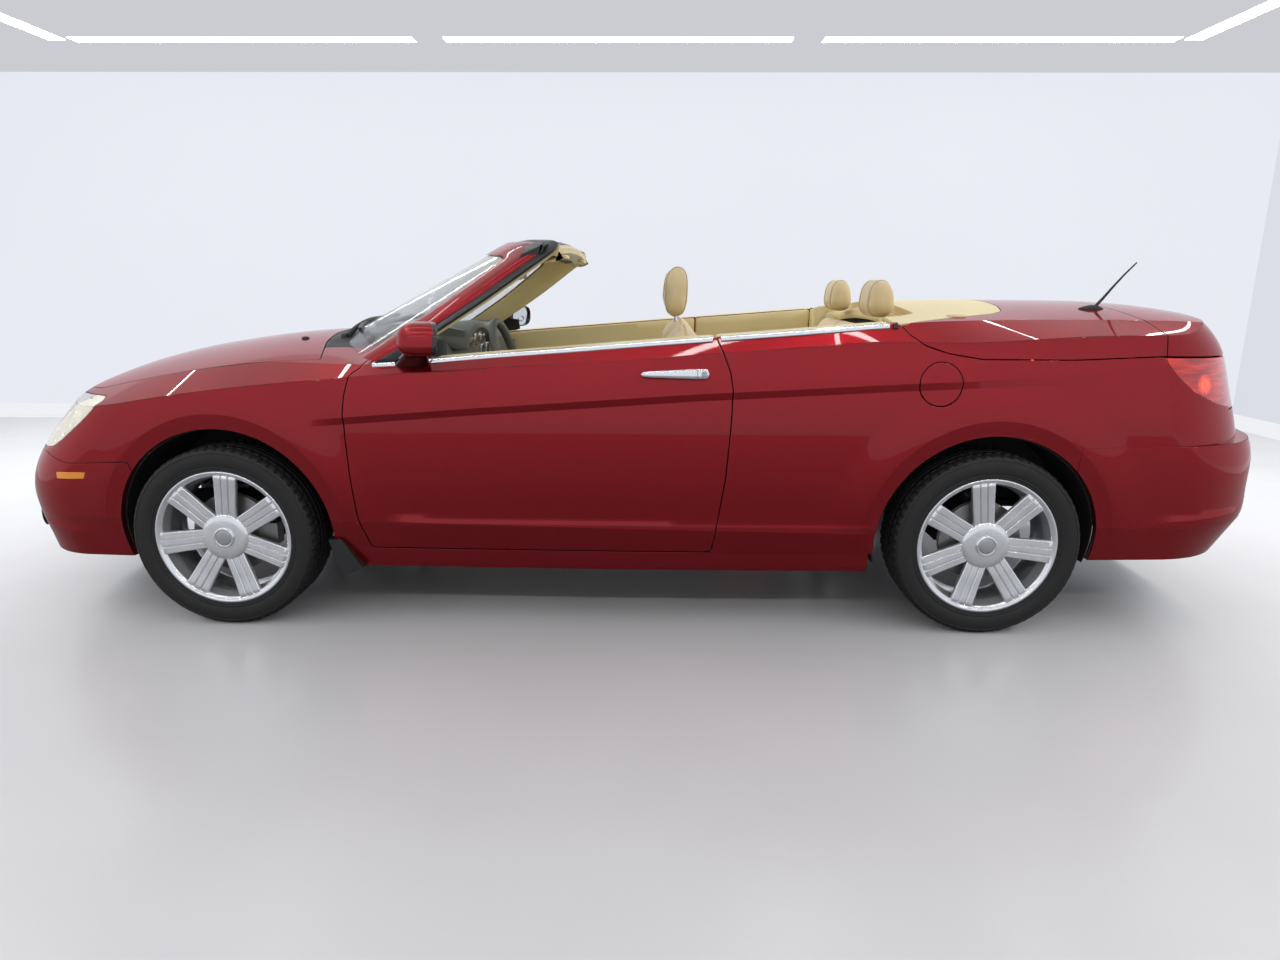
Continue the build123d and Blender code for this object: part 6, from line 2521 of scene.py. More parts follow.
# ---------------------------------------------------------------- engine bay
@dataclass
class EngineBay:
    """Engine block with its head covers, ribbed top cover, air intake, battery and caps.

    Attributes:
        palette: finishes.
        base: lowest height of the block.
        deck: height at which the head covers start.
        top: height of the ribbed cover.
    """

    palette: Palette
    base: float = 0.302
    deck: float = 0.690
    top: float = 0.884

    def build(self) -> None:
        """Makes the engine and what stands round it."""
        engine = [
            self._block((-1.625, 0.0), (0.255, 0.385), self.base, 0.520, "alloy"),
            self._block((-1.625, 0.0), (0.235, 0.365), 0.512, self.deck, "alloy"),
            self._block((-1.625, 0.0), (0.262, 0.392), 0.500, 0.528, "iron", 0.006),
            *self._heads(),
        ]
        ride(merge("engine_block", engine), "body", "alloy", "engine")
        ride(merge("engine_cover", self._cover()), "body", "black_trim")
        ride(merge("engine_intake", self._intake()), "body", "black_trim")
        ride(merge("battery", self._battery()), "body", "black_trim")

    def _block(
        self,
        centre: tuple[float, float],
        half: tuple[float, float],
        low: float,
        high: float,
        finish: str,
        edge: float = 0.014,
        power: float = 9.0,
    ) -> bpy.types.Object:
        """Makes an upright block with rounded corners and edges.

        Args:
            centre: middle in X and Y.
            half: half its length and width.
            low: height of its foot.
            high: height of its top.
            finish: name of its finish.
            edge: size of the rounded edges.
            power: squareness of its plan.

        Returns:
            The block.
        """
        levels = ((low, edge), (low + 0.3 * edge, 0.3 * edge), (low + edge, 0.0), (high - edge, 0.0),
            (high - 0.3 * edge, 0.3 * edge), (high, edge))
        plan = superellipse(56, power)
        rings = []
        for z, inset in levels:
            ring = plan * (half[0] - inset, half[1] - inset) + centre
            rings.append(np.column_stack((ring, np.full(len(ring), z))))
        return loft("block", np.array(rings), self.palette.get(finish), angle=0.9)

    def _heads(self) -> list[bpy.types.Object]:
        """Makes the two head covers with their bolts and ribs.

        Returns:
            The pieces.
        """
        parts = []
        for x in (-1.795, -1.455):
            parts.append(self._block((x, 0.0), (0.072, 0.345), self.deck - 0.01, 0.800, "alloy", 0.018))
            for y in np.linspace(-0.30, 0.30, 7):
                parts.append(self._block((x, float(y)), (0.066, 0.008), 0.792, 0.806, "alloy", 0.004))
                for across in (-0.081, 0.081):
                    parts.append(self._block((x + across, float(y)), (0.011, 0.011), self.deck - 0.006, 0.712,
                            "steel", 0.003, 2.0))
        return parts

    def _cover(self) -> list[bpy.types.Object]:
        """Makes the ribbed top cover, its filler cap and its studs.

        Returns:
            The pieces.
        """
        parts = [
            self._block((-1.625, 0.0), (0.200, 0.285), 0.795, self.top, "black_trim", 0.024, 6.0),
            self._block((-1.625, 0.0), (0.120, 0.235), self.top - 0.008, self.top + 0.006, "black_trim",
            0.006, 7.0),
        ]
        for y in np.linspace(-0.19, 0.19, 9):
            parts.append(self._block((-1.625, float(y)), (0.106, 0.007), self.top, self.top + 0.012, "satin",
                    0.004))
        for x, y in ((-1.775, -0.225), (-1.775, 0.225), (-1.475, -0.225)):
            parts.append(self._block((x, y), (0.013, 0.013), self.top - 0.012, self.top + 0.007, "steel",
                    0.004, 2.0))
        parts.append(self._block((-1.475, 0.215), (0.034, 0.034), self.top - 0.012, self.top + 0.014,
                "black_trim", 0.006, 2.0))
        parts.append(self._block((-1.475, 0.215), (0.028, 0.007), self.top + 0.008, self.top + 0.026,
                "black_trim", 0.004, 4.0))
        return parts

    def _intake(self) -> list[bpy.types.Object]:
        """Makes the air box and the ribbed hose to the engine.

        Returns:
            The pieces.
        """
        box = self._block((-1.975, -0.235), (0.088, 0.145), 0.590, 0.740, "black_trim", 0.016)
        lid = self._block((-1.975, -0.235), (0.094, 0.151), 0.732, 0.792, "black_trim", 0.020)
        knots = np.array(((-1.975, -0.235, 0.770), (-1.965, -0.238, 0.812), (-1.930, -0.240, 0.846),
                (-1.880, -0.240, 0.858), (-1.820, -0.236, 0.856), (-1.760, -0.230, 0.846)))
        share = np.linspace(0, len(knots) - 1, 61)
        path = np.column_stack([np.interp(share, np.arange(len(knots)), knots[:, k]) for k in range(3)])
        for _ in range(6):
            path[1:-1] = (path[:-2] + 2 * path[1:-1] + path[2:]) / 4
        radii = [0.031 + 0.0035 * math.sin(i * math.pi / 2) for i in range(61)]
        hose = tube("hose", path, 0.031, self.palette.get("black_trim"), 24, radii)
        return [box, lid, hose]

    def _battery(self) -> list[bpy.types.Object]:
        """Makes the battery with its posts, strap and leads.

        Returns:
            The pieces.
        """
        parts = [
            self._block((-1.980, 0.235), (0.083, 0.130), 0.590, 0.760, "black_trim", 0.008),
            self._block((-1.980, 0.235), (0.087, 0.134), 0.752, 0.780, "dash", 0.006),
            self._block((-1.980, 0.235), (0.013, 0.138), 0.772, 0.790, "steel", 0.004),
        ]
        for y in (0.145, 0.325):
            parts.append(self._block((-2.025, y), (0.012, 0.012), 0.774, 0.800, "steel", 0.003, 2.0))
            parts.append(self._block((-2.025, y), (0.021, 0.017), 0.778, 0.794, "iron", 0.004, 4.0))
            lead = [(-2.025, y, 0.786), (-1.990, y + 0.010, 0.802), (-1.940, y + 0.012, 0.800),
                (-1.895, y + 0.004, 0.776), (-1.868, y, 0.730)]
            parts.append(tube("lead", lead, 0.0065, self.palette.get("black_trim"), 10))
        return parts


# ---------------------------------------------------------------- padded parts
def rounded(profile: Points, rounds: int = 3) -> Array:
    """Cuts the corners of a closed profile until it is smooth.

    Args:
        profile: corner points.
        rounds: how often the corners are cut.

    Returns:
        Points of the smooth profile.
    """
    line = np.array(dense(profile, 0.06))
    for _ in range(rounds):
        after = np.roll(line, -1, axis=0)
        line = np.stack((line * 0.75 + after * 0.25, line * 0.25 + after * 0.75), axis=1).reshape(-1, 2)
    return line


@dataclass
class Cushion:
    """Leather pad: a closed form, swollen by air pressure and held to a limit.

    Attributes:
        name: piece name.
        profile: side view, X and Z.
        middle: centre across the car.
        half: half width.
        bolster: height of the raised sides.
        lift: direction in which the sides rise, X and Z.
        limit: how far the pressure may move a point.
        shrink: how much smaller the form starts.
        voxel: size of the simulated mesh.
        edge: how square the ends are.
    """

    name: str
    profile: Points
    middle: float
    half: float
    bolster: float = 0.0
    lift: tuple[float, float] = (0.0, 1.0)
    limit: float = 0.012
    shrink: float = 0.007
    voxel: float = 0.0075
    edge: float = 6.0

    def build(self, palette: Palette) -> bpy.types.Object:
        """Makes the pad.

        Args:
            palette: finishes.

        Returns:
            The pad, without seams.
        """
        profile = rounded(self.profile)
        middle = (profile.max(axis=0) + profile.min(axis=0)) / 2
        away = profile - middle
        profile = middle + away * (1 - self.shrink / np.maximum(np.abs(away).max(axis=0), 0.02))
        rings = []
        for t in np.sin(np.linspace(-1, 1, 33) * math.pi / 2):
            size = max(0.30, (1 - abs(t) ** self.edge) ** 0.32)
            rise = self.bolster * (np.exp(-((abs(t) - 0.82) / 0.17) ** 2) - 0.35)
            facing = np.clip(((profile - middle) @ np.array(self.lift)) / 0.05, 0, 1)
            ring = middle + (profile - middle) * size + facing[:, None] * rise * np.array(self.lift)
            rings.append(np.column_stack((ring[:, 0],
                        np.full(len(ring), self.middle + t * (self.half - self.shrink)), ring[:, 1])))
        pad = loft(self.name, np.array(rings), palette.get("leather"))
        self._even(pad)
        self._swell(pad)
        self._smooth(pad, 6)
        pad.data.shade_smooth()
        return pad

    def _even(self, pad: bpy.types.Object) -> None:
        """Gives a pad an even mesh.

        Args:
            pad: the pad.
        """
        grid = pad.modifiers.new("grid", "REMESH")
        grid.mode = "VOXEL"
        grid.voxel_size = self.voxel
        apply_modifiers(pad)
        self._smooth(pad, 4)

    @staticmethod
    def _smooth(pad: bpy.types.Object, times: int) -> None:
        """Smooths a pad.

        Args:
            pad: the pad.
            times: number of rounds.
        """
        smooth = pad.modifiers.new("smooth", "SMOOTH")
        smooth.factor = 0.5
        smooth.iterations = times
        apply_modifiers(pad)

    def _swell(self, pad: bpy.types.Object) -> None:
        """Swells a pad by air pressure as cloth, by no more than the limit.

        Args:
            pad: the pad.
        """
        start = np.empty(len(pad.data.vertices) * 3)
        pad.data.vertices.foreach_get("co", start)
        cloth = pad.modifiers.new("air", "CLOTH")
        cloth.settings.quality = 4
        cloth.settings.mass = 0.4
        cloth.settings.tension_stiffness = 18.0
        cloth.settings.compression_stiffness = 18.0
        cloth.settings.bending_stiffness = 1.2
        cloth.settings.use_pressure = True
        cloth.settings.uniform_pressure_force = 4.0
        cloth.settings.effector_weights.gravity = 0.0
        cloth.collision_settings.use_collision = False
        cloth.collision_settings.use_self_collision = False
        scene = bpy.context.scene
        cloth.point_cache.frame_start, cloth.point_cache.frame_end = 1, 20
        for frame in range(1, 21):
            scene.frame_set(frame)
        graph = bpy.context.evaluated_depsgraph_get()
        swollen = bpy.data.meshes.new_from_object(pad.evaluated_get(graph))
        end = np.empty(len(swollen.vertices) * 3)
        swollen.vertices.foreach_get("co", end)
        pad.modifiers.clear()
        scene.frame_set(1)
        start, end = start.reshape(-1, 3), end.reshape(-1, 3)
        move = end - start
        length = np.linalg.norm(move, axis=1, keepdims=True)
        move *= np.minimum(1.0, self.limit / np.maximum(length, 1e-9))
        pad.data.vertices.foreach_set("co", (start + move).ravel())
        pad.data.update()
        LOG.info("%s swollen by %.1f mm at most", self.name, float(np.linalg.norm(move, axis=1).max() * 1000))


class Upholstery:
    """Lays seams on a pad by dropping lines onto its surface."""

    def __init__(self, pad: bpy.types.Object, palette: Palette) -> None:
        """Reads the pad's surface.

        Args:
            pad: the pad.
            palette: finishes.
        """
        self.palette = palette
        self.pad = pad
        bm = bmesh.new()
        bm.from_mesh(pad.data)
        self.tree = BVHTree.FromBMesh(bm)
        bm.free()

    def groove(self, lines: list[Array], depth: float = 0.0045, width: float = 0.010) -> None:
        """Presses the surface in along lines.

        Args:
            lines: points on the surface.
            depth: depth of the groove.
            width: reach of the groove to each side.
        """
        points = np.vstack(lines)
        place = np.empty(len(self.pad.data.vertices) * 3)
        self.pad.data.vertices.foreach_get("co", place)
        place = place.reshape(-1, 3)
        normals = np.array([v.normal[:] for v in self.pad.data.vertices])
        near = np.full(len(place), 9.0)
        for start in range(0, len(points), 64):
            gap = np.linalg.norm(place[:, None] - points[None, start:start + 64], axis=2).min(axis=1)
            near = np.minimum(near, gap)
        place -= normals * (depth * np.exp(-((near / width) ** 2)))[:, None]
        self.pad.data.vertices.foreach_set("co", place.ravel())
        self.pad.data.update()

    def drop(self, starts: Array, aim: tuple[float, float, float]) -> Array:
        """Points where lines from outside meet the surface.

        Args:
            starts: starting points.
            aim: direction of travel.

        Returns:
            The points that were met, in order.
        """
        found = []
        for start in starts:
            hit, *_ = self.tree.ray_cast(Vector(start), Vector(aim).normalized(), 1.0)
            if hit is not None:
                found.append(tuple(hit))
        return np.array(found)

    def round(self, y: float, centre: tuple[float, float], low: float, high: float, count: int = 60) -> Array:
        """A seam round the pad in a plane across the car.

        Args:
            y: place of the plane.
            centre: X and Z from which the lines look out.
            low: first angle in degrees, from rearwards and up.
            high: last angle.
            count: number of points.

        Returns:
            Points on the surface.
        """
        found = []
        for angle in np.radians(np.linspace(low, high, count)):
            out = Vector((math.cos(angle), 0, math.sin(angle)))
            start = Vector((centre[0], y, centre[1])) + out * 0.8
            hit, _, _, _ = self.tree.ray_cast(start, -out, 1.0)
            if hit is not None:
                found.append(tuple(hit))
        return np.array(found)

    def seam(self, line: Array, name: str, radius: float = 0.0019) -> bpy.types.Object:
        """A fine raised seam.

        Args:
            line: points on the surface.
            name: object name.
            radius: radius of the bead.

        Returns:
            The seam.
        """
        return tube(name, line, radius, self.palette.get("thread"), sides=8)


# ---------------------------------------------------------------- cabin
@dataclass
class Cabin:
    """Seats, trims, dashboard fittings, steering wheel and rear deck fittings.

    Attributes:
        palette: finishes.
        form: body surface.
    """

    palette: Palette
    form: Form

    def build(self) -> None:
        """Makes every piece."""
        self._front_seats()
        self._rear_seat()
        self._headrests()
        self._door_trims()
        self._quarter_trims()
        self._steering_wheel()
        self._dashboard()
        self._console()
        self._deck()

    def _front_seats(self) -> None:
        """Cushion and back of both front seats."""
        cushion = Cushion("seat_cushion_left",
            ((-0.415, 0.415), (-0.436, 0.500), (-0.400, 0.548), (-0.20, 0.525), (0.050, 0.496),
            (0.050, 0.412)),
                          DRIVER_Y, 0.256, bolster=0.020)
        pad = cushion.build(self.palette)
        cover = Upholstery(pad, self.palette)
        lines = []
        for y in (DRIVER_Y - 0.150, DRIVER_Y + 0.150):
            lines.append(cover.drop([(x, y, 0.8) for x in np.linspace(-0.415, 0.03, 60)], (0, 0, -1)))
        for x in (-0.24, -0.10):
            lines.append(cover.drop([(x, y, 0.8) for y in np.linspace(-0.520, -0.220, 50)], (0, 0, -1)))
        self._upholster(cover, lines, "seat_cushion", "front_seats")
        back = Cushion("seat_back_left",
            ((0.020, 0.440), (-0.010, 0.500), (0.115, 1.040), (0.145, 1.092), (0.180, 1.102), (0.214, 1.092),
            (0.246, 1.045), (0.186, 0.425)),
                       DRIVER_Y, 0.250, bolster=0.022, lift=(-0.975, 0.22), edge=5.0)
        pad = back.build(self.palette)
        cover = Upholstery(pad, self.palette)
        lines = []
        for y in (DRIVER_Y - 0.140, DRIVER_Y + 0.140):
            lines.append(cover.round(y, (0.135, 0.80), 100, 290, 90))
        for z in (0.72, 0.90):
            lines.append(cover.drop([(-0.5, y, z) for y in np.linspace(-0.508, -0.232, 50)], (1, 0, 0)))
        edge = []
        for angle in np.linspace(-40, 220, 110):
            a = math.radians(angle)
            ray = Vector((0, -math.cos(a), math.sin(a)))
            hit, _, _, _ = cover.tree.ray_cast(Vector((0.185, DRIVER_Y, 0.85)) + ray * 0.6, -ray, 1.0)
            if hit is not None:
                edge.append(tuple(hit))
        lines.append(np.array(edge))
        self._upholster(cover, lines, "seat_back", "front_seats")

    def _upholster(self, cover: Upholstery, lines: list[Array], name: str, node: str,
        both: bool = True) -> None:
        """Presses in the seams, lays their thread and mirrors the pad.

        Args:
            cover: the pad's cover.
            lines: its seams.
            name: piece name.
            node: node it stands for.
            both: whether it has a mirror image.
        """
        cover.groove(lines)
        seams = merge(f"{name}_seams_left", [cover.seam(line, "seam") for line in lines])
        pieces = [(cover.pad, seams)]
        if both:
            pieces.append((mirrored_copy(cover.pad, f"{name}_right"),
                    mirrored_copy(seams, f"{name}_seams_right")))
        for pad, thread in pieces:
            ride(pad, "body", "leather", node)
            ride(thread, "body", "leather")

    def _rear_seat(self) -> None:
        """Cushion and back of the rear seat."""
        cushion = Cushion("rear_cushion",
            ((0.440, 0.436), (0.434, 0.500), (0.470, 0.536), (0.62, 0.528), (0.835, 0.505), (0.845, 0.436)),
            0.0, 0.590,
                          voxel=0.010, edge=16.0)
        pad = cushion.build(self.palette)
        cover = Upholstery(pad, self.palette)
        lines = [cover.drop([(x, y, 0.8) for x in np.linspace(0.45, 0.82, 40)], (0, 0, -1))
            for y in (-0.55, -0.12, 0.12, 0.55)]
        lines.append(cover.drop([(0.62, y, 0.8) for y in np.linspace(-0.54, -0.13, 40)], (0, 0, -1)))
        lines.append(cover.drop([(0.62, y, 0.8) for y in np.linspace(0.13, 0.54, 40)], (0, 0, -1)))
        self._upholster(cover, lines, "rear_cushion", "rear_seat", both=False)
        back = Cushion("rear_back",
            ((0.842, 0.560), (0.858, 1.040), (0.888, 1.098), (0.920, 1.104), (0.955, 1.098), (0.985, 1.05),
            (0.975, 0.56)), 0.0, 0.546,
                       voxel=0.010, edge=18.0)
        pad = back.build(self.palette)
        cover = Upholstery(pad, self.palette)
        lines = [cover.round(y, (0.90, 0.85), 75, 250, 70) for y in (-0.50, -0.12, 0.12, 0.50)]
        for z in (0.74, 0.92):
            lines.append(cover.drop([(0.5, y, z) for y in np.linspace(-0.49, -0.13, 40)], (1, 0, 0)))
            lines.append(cover.drop([(0.5, y, z) for y in np.linspace(0.13, 0.49, 40)], (1, 0, 0)))
        self._upholster(cover, lines, "rear_back", "rear_seat", both=False)

    def _headrests(self) -> None:
        """Four headrests."""
        front = Cushion("headrest_left",
            ((0.100, 1.135), (0.104, 1.278), (0.132, 1.314), (0.155, 1.318), (0.180, 1.310), (0.196, 1.278),
            (0.188, 1.135),
                                          (0.165, 1.115), (0.128, 1.115)), DRIVER_Y, 0.137, voxel=0.005,
                                          edge=4.5, limit=0.008, shrink=0.005)
        pad = front.build(self.palette)
        cover = Upholstery(pad, self.palette)
        lines = [cover.round(y, (0.148, 1.225), 0, 359.9, 110) for y in (DRIVER_Y - 0.078, DRIVER_Y + 0.078)]
        self._upholster(cover, lines, "headrest", "front_headrests")
        rear = Cushion("rear_headrest_left",
            ((0.884, 1.118), (0.890, 1.225), (0.912, 1.262), (0.940, 1.272), (0.968, 1.262), (0.992, 1.220),
            (1.000, 1.118)),
                       -0.360, 0.136, voxel=0.005, edge=4.5, limit=0.008, shrink=0.005)
        pad = rear.build(self.palette)
        cover = Upholstery(pad, self.palette)
        lines = [cover.round(y, (0.94, 1.19), 0, 359.9, 110) for y in (-0.360 - 0.070, -0.360 + 0.070)]
        self._upholster(cover, lines, "rear_headrest", "rear_headrests")

    def _wall(self, x: float, z: float) -> float:
        """Inner face of the side wall.

        Args:
            x: place along the car.
            z: height.

        Returns:
            Distance from the centre line.
        """
        return float(np.interp(x, *self.form.outline(z).T[[0, 1]])) - 0.110

    def _trim(self, name: str, x0: float, x1: float, arm: float, low: float) -> bpy.types.Object:
        """Padded side trim with an armrest.

        Args:
            name: object name.
            x0: front end.
            x1: rear end.
            arm: how far the armrest stands out.
            low: height of its foot.

        Returns:
            The trim on the left.
        """
        rings = []
        xs = np.concatenate(((x0, x0 + 0.004), np.linspace(x0 + 0.014, x1 - 0.014, 44), (x1 - 0.004, x1)))
        for i, x in enumerate(xs):
            near = min(i, len(xs) - 1 - i)
            pull = (0.006, 0.002, 0.0)[min(near, 2)]
            crease = float(self.form.top(np.array([x]))[0, 1])
            top = float(self.form.roof(np.array([x]), np.array([crease - 0.030]))[0])
            at = self._wall(x, top)
            high = float(self.form.roof(np.array([x]), np.array([at + 0.010]))[0])
            swell = arm * math.exp(-(((x - (x0 + x1) / 2) / (0.36 * (x1 - x0))) ** 4))
            side = [(crease - 0.0175, top + 0.0035), (crease - 0.028, top + 0.0055),
                (at + 0.016, high + 0.006), (at + 0.003, high + 0.002),
                    (at - 0.005, high - 0.010), (self._wall(x, top - 0.04) - 0.007, top - 0.040),
                    (self._wall(x, 0.90) - 0.005, 0.90),
                    (self._wall(x, 0.80) - 0.004, 0.80),
                    (self._wall(x, 0.76) - 0.008 - 0.2 * swell, 0.765),
                    (self._wall(x, 0.74) - 0.006 - swell, 0.740),
                    (self._wall(x, 0.70) - 0.006 - swell, 0.705),
                    (self._wall(x, 0.68) - 0.005 - 0.4 * swell, 0.672),
                    (self._wall(x, 0.62) - 0.004, 0.62), (self._wall(x, 0.5) - 0.004, 0.50),
                    (self._wall(x, low) - 0.004, low)]
            side = [(y + pull, z - pull) if k < 4 else (y + pull, z) for k, (y, z) in enumerate(side)]
            back = [(self._wall(x, low) + 0.003, low), (self._wall(x, 0.62) + 0.003, 0.62),
                (self._wall(x, 0.80) + 0.003, 0.80),
                    (self._wall(x, top - 0.04) + 0.003, top - 0.040), (at + 0.004, high - 0.010),
                    (at + 0.020, high - 0.004), (crease - 0.0175, top - 0.003)]
            rings.append([(x, -y, z) for y, z in side + back])
        return loft(name, np.array(rings), self.palette.get("cream"), angle=0.75)

    def _door_trims(self) -> None:
        """Trim, pull and speaker of both doors."""
        trim = self._trim("door_trim_left", -0.872, 0.2735, 0.045, 0.335)
        pull_rows = []
        ring = superellipse(20, 3.0)
        for x in np.linspace(-0.46, -0.36, 9):
            t = (x + 0.46) / 0.10
            y = self._wall(x, 0.86) - 0.012
            s = max(0.15, math.sin(math.pi * t)) ** 0.5
            pull_rows.append([(x, -(y + 0.006 * u * s), 0.862 + 0.010 * v * s) for u, v in ring])
        pull = loft("door_pull_left", np.array(pull_rows), self.palette.get("satin"))
        speaker_rows = []
        for r, out in ((0.078, 0.0), (0.078, 0.006), (0.070, 0.008), (0.066, 0.004), (0.001, 0.0035)):
            speaker_rows.append([(-0.70 + r * math.cos(a), -(self._wall(-0.70, 0.47) - 0.003 - out),
                        0.47 + r * math.sin(a)) for a in np.arange(40) * math.pi / 20])
        speaker = loft("door_speaker_left", np.array(speaker_rows), self.palette.get("dash"))
        for piece, slot, name in ((trim, "cream", "door_trim"), (pull, "chrome", "door_pull"),
            (speaker, "cream", "door_speaker")):
            other = mirrored_copy(piece, f"{name}_right")
            ride(piece, "door_left", slot)
            ride(other, "door_right", slot)

    def _quarter_trims(self) -> None:
        """Trims beside the rear seat."""
        trim = self._trim("quarter_trim_left", 0.2805, 0.880, 0.03, 0.42)
        other = mirrored_copy(trim, "quarter_trim_right")
        ride(trim, "body", "cream")
        ride(other, "body", "cream")

    def _steering_wheel(self) -> None:
        """Steering wheel, column cover and stalks."""
        tilt = math.radians(17)
        centre = Vector((-0.525, DRIVER_Y, 0.925))
        axis = Vector((math.cos(tilt), 0, math.sin(tilt)))
        up = Vector((-math.sin(tilt), 0, math.cos(tilt)))
        across = Vector((0, 1, 0))
        rings = []
        for a in np.arange(64) * 2 * math.pi / 64:
            out = across * math.cos(a) + up * math.sin(a)
            ring = []
            for b in np.arange(14) * 2 * math.pi / 14:
                grip = 1.0 + 0.10 * math.exp(-((math.sin(a) - 0.35) / 0.22) ** 2)
                ring.append(tuple(centre + out * (0.176 + 0.0148 * grip * math.cos(b)) + axis
                        * (0.0165 * grip * math.sin(b))))
            rings.append(ring)
        rim = new_object("wheel_rim", np.array(rings).reshape(-1, 3),
            grid_faces(64, 14, ring=True, loop=True), self.palette.get("dash"))
        spokes = []
        for a in (math.radians(d) for d in (8, 172, 232, 308)):
            out = across * math.cos(a) + up * math.sin(a)
            side = out.cross(axis)
            rows = []
            for t in np.linspace(0, 1, 8):
                wide = 0.030 - 0.014 * t
                point = centre + out * (0.060 + 0.108 * t) - axis * (0.022 * (1 - t))
                rows.append([tuple(point + side * (wide * u) + axis * (0.008 * v)) for u,
                        v in superellipse(20, 3.0)])
            spokes.append(loft("spoke", np.array(rows), self.palette.get("satin" if a > 3.5 else "dash")))
        rows = []
        for s, out in ((0.80, -0.050), (0.98, -0.034), (1.0, -0.018), (0.95, -0.006), (0.80, 0.002),
            (0.40, 0.006), (0.05, 0.007)):
            rows.append([tuple(centre + across * (0.078 * s * u) + up * (0.066 * s * v - 0.004) + axis * out)
                    for u, v in superellipse(36, 3.0)])
        hub = loft("hub", np.array(rows), self.palette.get("dash"), angle=0.9)
        column_rows = []
        for d, r in ((-0.300, 0.038), (-0.16, 0.042), (-0.075, 0.046), (-0.058, 0.036)):
            column_rows.append([tuple(centre + axis * d + across * (r * math.cos(a)) + up
                        * (r * math.sin(a))) for a in np.arange(28) * math.pi / 14])
        column = loft("column_cover", np.array(column_rows), self.palette.get("dash_low"), angle=0.8)
        stalks = []
        for side in (-1, 1):
            path = [tuple(centre + axis * (-0.085) + across * (side * d) + up * (0.010 + 0.10 * (d - 0.03)))
                for d in (0.035, 0.08, 0.13, 0.155)]
            stalks.append(tube("stalk", path, 0.007, self.palette.get("dash"),
                    radii=[0.006, 0.0065, 0.008, 0.0075]))
        wheel = merge("steering_wheel_detail", [rim, *spokes, hub])
        ride(wheel, "steering_wheel", "dash", "steering_wheel")
        ride(merge("column_detail", [column, *stalks]), "body", "dash")

    def _dashboard(self) -> None:
        """Instruments, vents and the centre panel."""
        rings = []
        for t in np.linspace(0, 1, 25):
            y = -0.575 + 0.41 * t
            rise = math.sin(math.pi * t) ** 0.45 if 0 < t < 1 else 0.0
            rings.append([(-0.640 + 0.006 * rise, y, 1.000 + 0.070 * rise), (-0.643, y, 1.010 + 0.080 * rise),
                    (-0.670, y, 1.016 + 0.079 * rise),
                          (-0.760, y, 1.030 + 0.060 * rise), (-0.840, y, 1.046 + 0.018 * rise),
                          (-0.862, y, 1.040), (-0.760, y, 1.020), (-0.690, y, 1.000)])
        hood = loft("cluster_hood", np.array(rings), self.palette.get("dash"), angle=0.8)
        dials, rims = [], []
        for y, z, r in ((-0.470, 1.035, 0.030), (DRIVER_Y, 1.042, 0.040), (-0.270, 1.035, 0.030)):
            turn = np.arange(40) * math.pi / 20
            face = [[(-0.6535 + out, y + r * s * math.cos(a), z + r * s * math.sin(a)) for a in turn] for out,
                s in ((0.0, 0.95), (0.001, 0.9), (0.001, 0.02))]
            dials.append(loft("dial", np.array(face), self.palette.get("dial")))
            ring = [[(-0.654 + out, y + r * s * math.cos(a), z + r * s * math.sin(a)) for a in turn] for out,
                s in ((0.0, 0.93), (0.008, 0.96), (0.008, 1.02), (0.0, 1.06))]
            rims.append(loft("dial_ring", np.array(ring), self.palette.get("chrome"), caps=False))
        ride(merge("instruments", [hood, *dials, *rims]), "body", "dash")
        vents = []
        for y, z, x in ((-0.055, 0.955, -0.700), (0.055, 0.955, -0.700), (-0.660, 0.930, -0.690),
            (0.660, 0.930, -0.690)):
            ring = superellipse(40, 3.5)
            frame = [[(x + out, y + 0.044 * s * u, z + 0.026 * s * v) for u, v in ring] for out,
                s in ((-0.004, 1.0), (0.006, 1.0), (0.008, 0.95), (0.006, 0.88), (-0.002, 0.86))]
            vents.append(loft("vent_frame", np.array(frame), self.palette.get("satin"), caps=False))
            for k in range(-2, 3):
                blade = [[(x + 0.002 + 0.010 * u, yy, z + 0.0075 * k + 0.0012 * v + 0.002 * u) for u,
                        v in superellipse(10, 2.4)] for yy in (y - 0.037, y + 0.037)]
                vents.append(loft("vent_blade", np.array(blade), self.palette.get("gloss_black")))
        ride(merge("vents", vents), "body", "dash")
        ring = superellipse(40, 4.5)
        panel = [[(x, 0.105 * s * u, 0.830 + 0.072 * s * v) for u, v in ring] for x,
            s in ((-0.706, 1.0), (-0.692, 1.0), (-0.690, 0.97), (-0.691, 0.92), (-0.691, 0.05))]
        parts = [loft("radio_panel", np.array(panel), self.palette.get("gloss_black"))]
        for y in (-0.075, 0.075):
            knob = [[(x, y + r * math.cos(a), 0.800 + r * math.sin(a)) for a in np.arange(28) * math.pi / 14]
                for x, r in ((-0.692, 0.017), (-0.676, 0.016), (-0.674, 0.013), (-0.674, 0.001))]
            parts.append(loft("knob", np.array(knob), self.palette.get("satin")))
        for k in range(-3, 4):
            key = [[(x, 0.025 * k + 0.010 * s * u, 0.862 + 0.006 * s * v) for u, v in superellipse(16, 4)]
                for x, s in ((-0.692, 1.0), (-0.687, 1.0), (-0.686, 0.8))]
            parts.append(loft("key", np.array(key), self.palette.get("dial")))
        ride(merge("centre_panel", parts), "body", "dash")

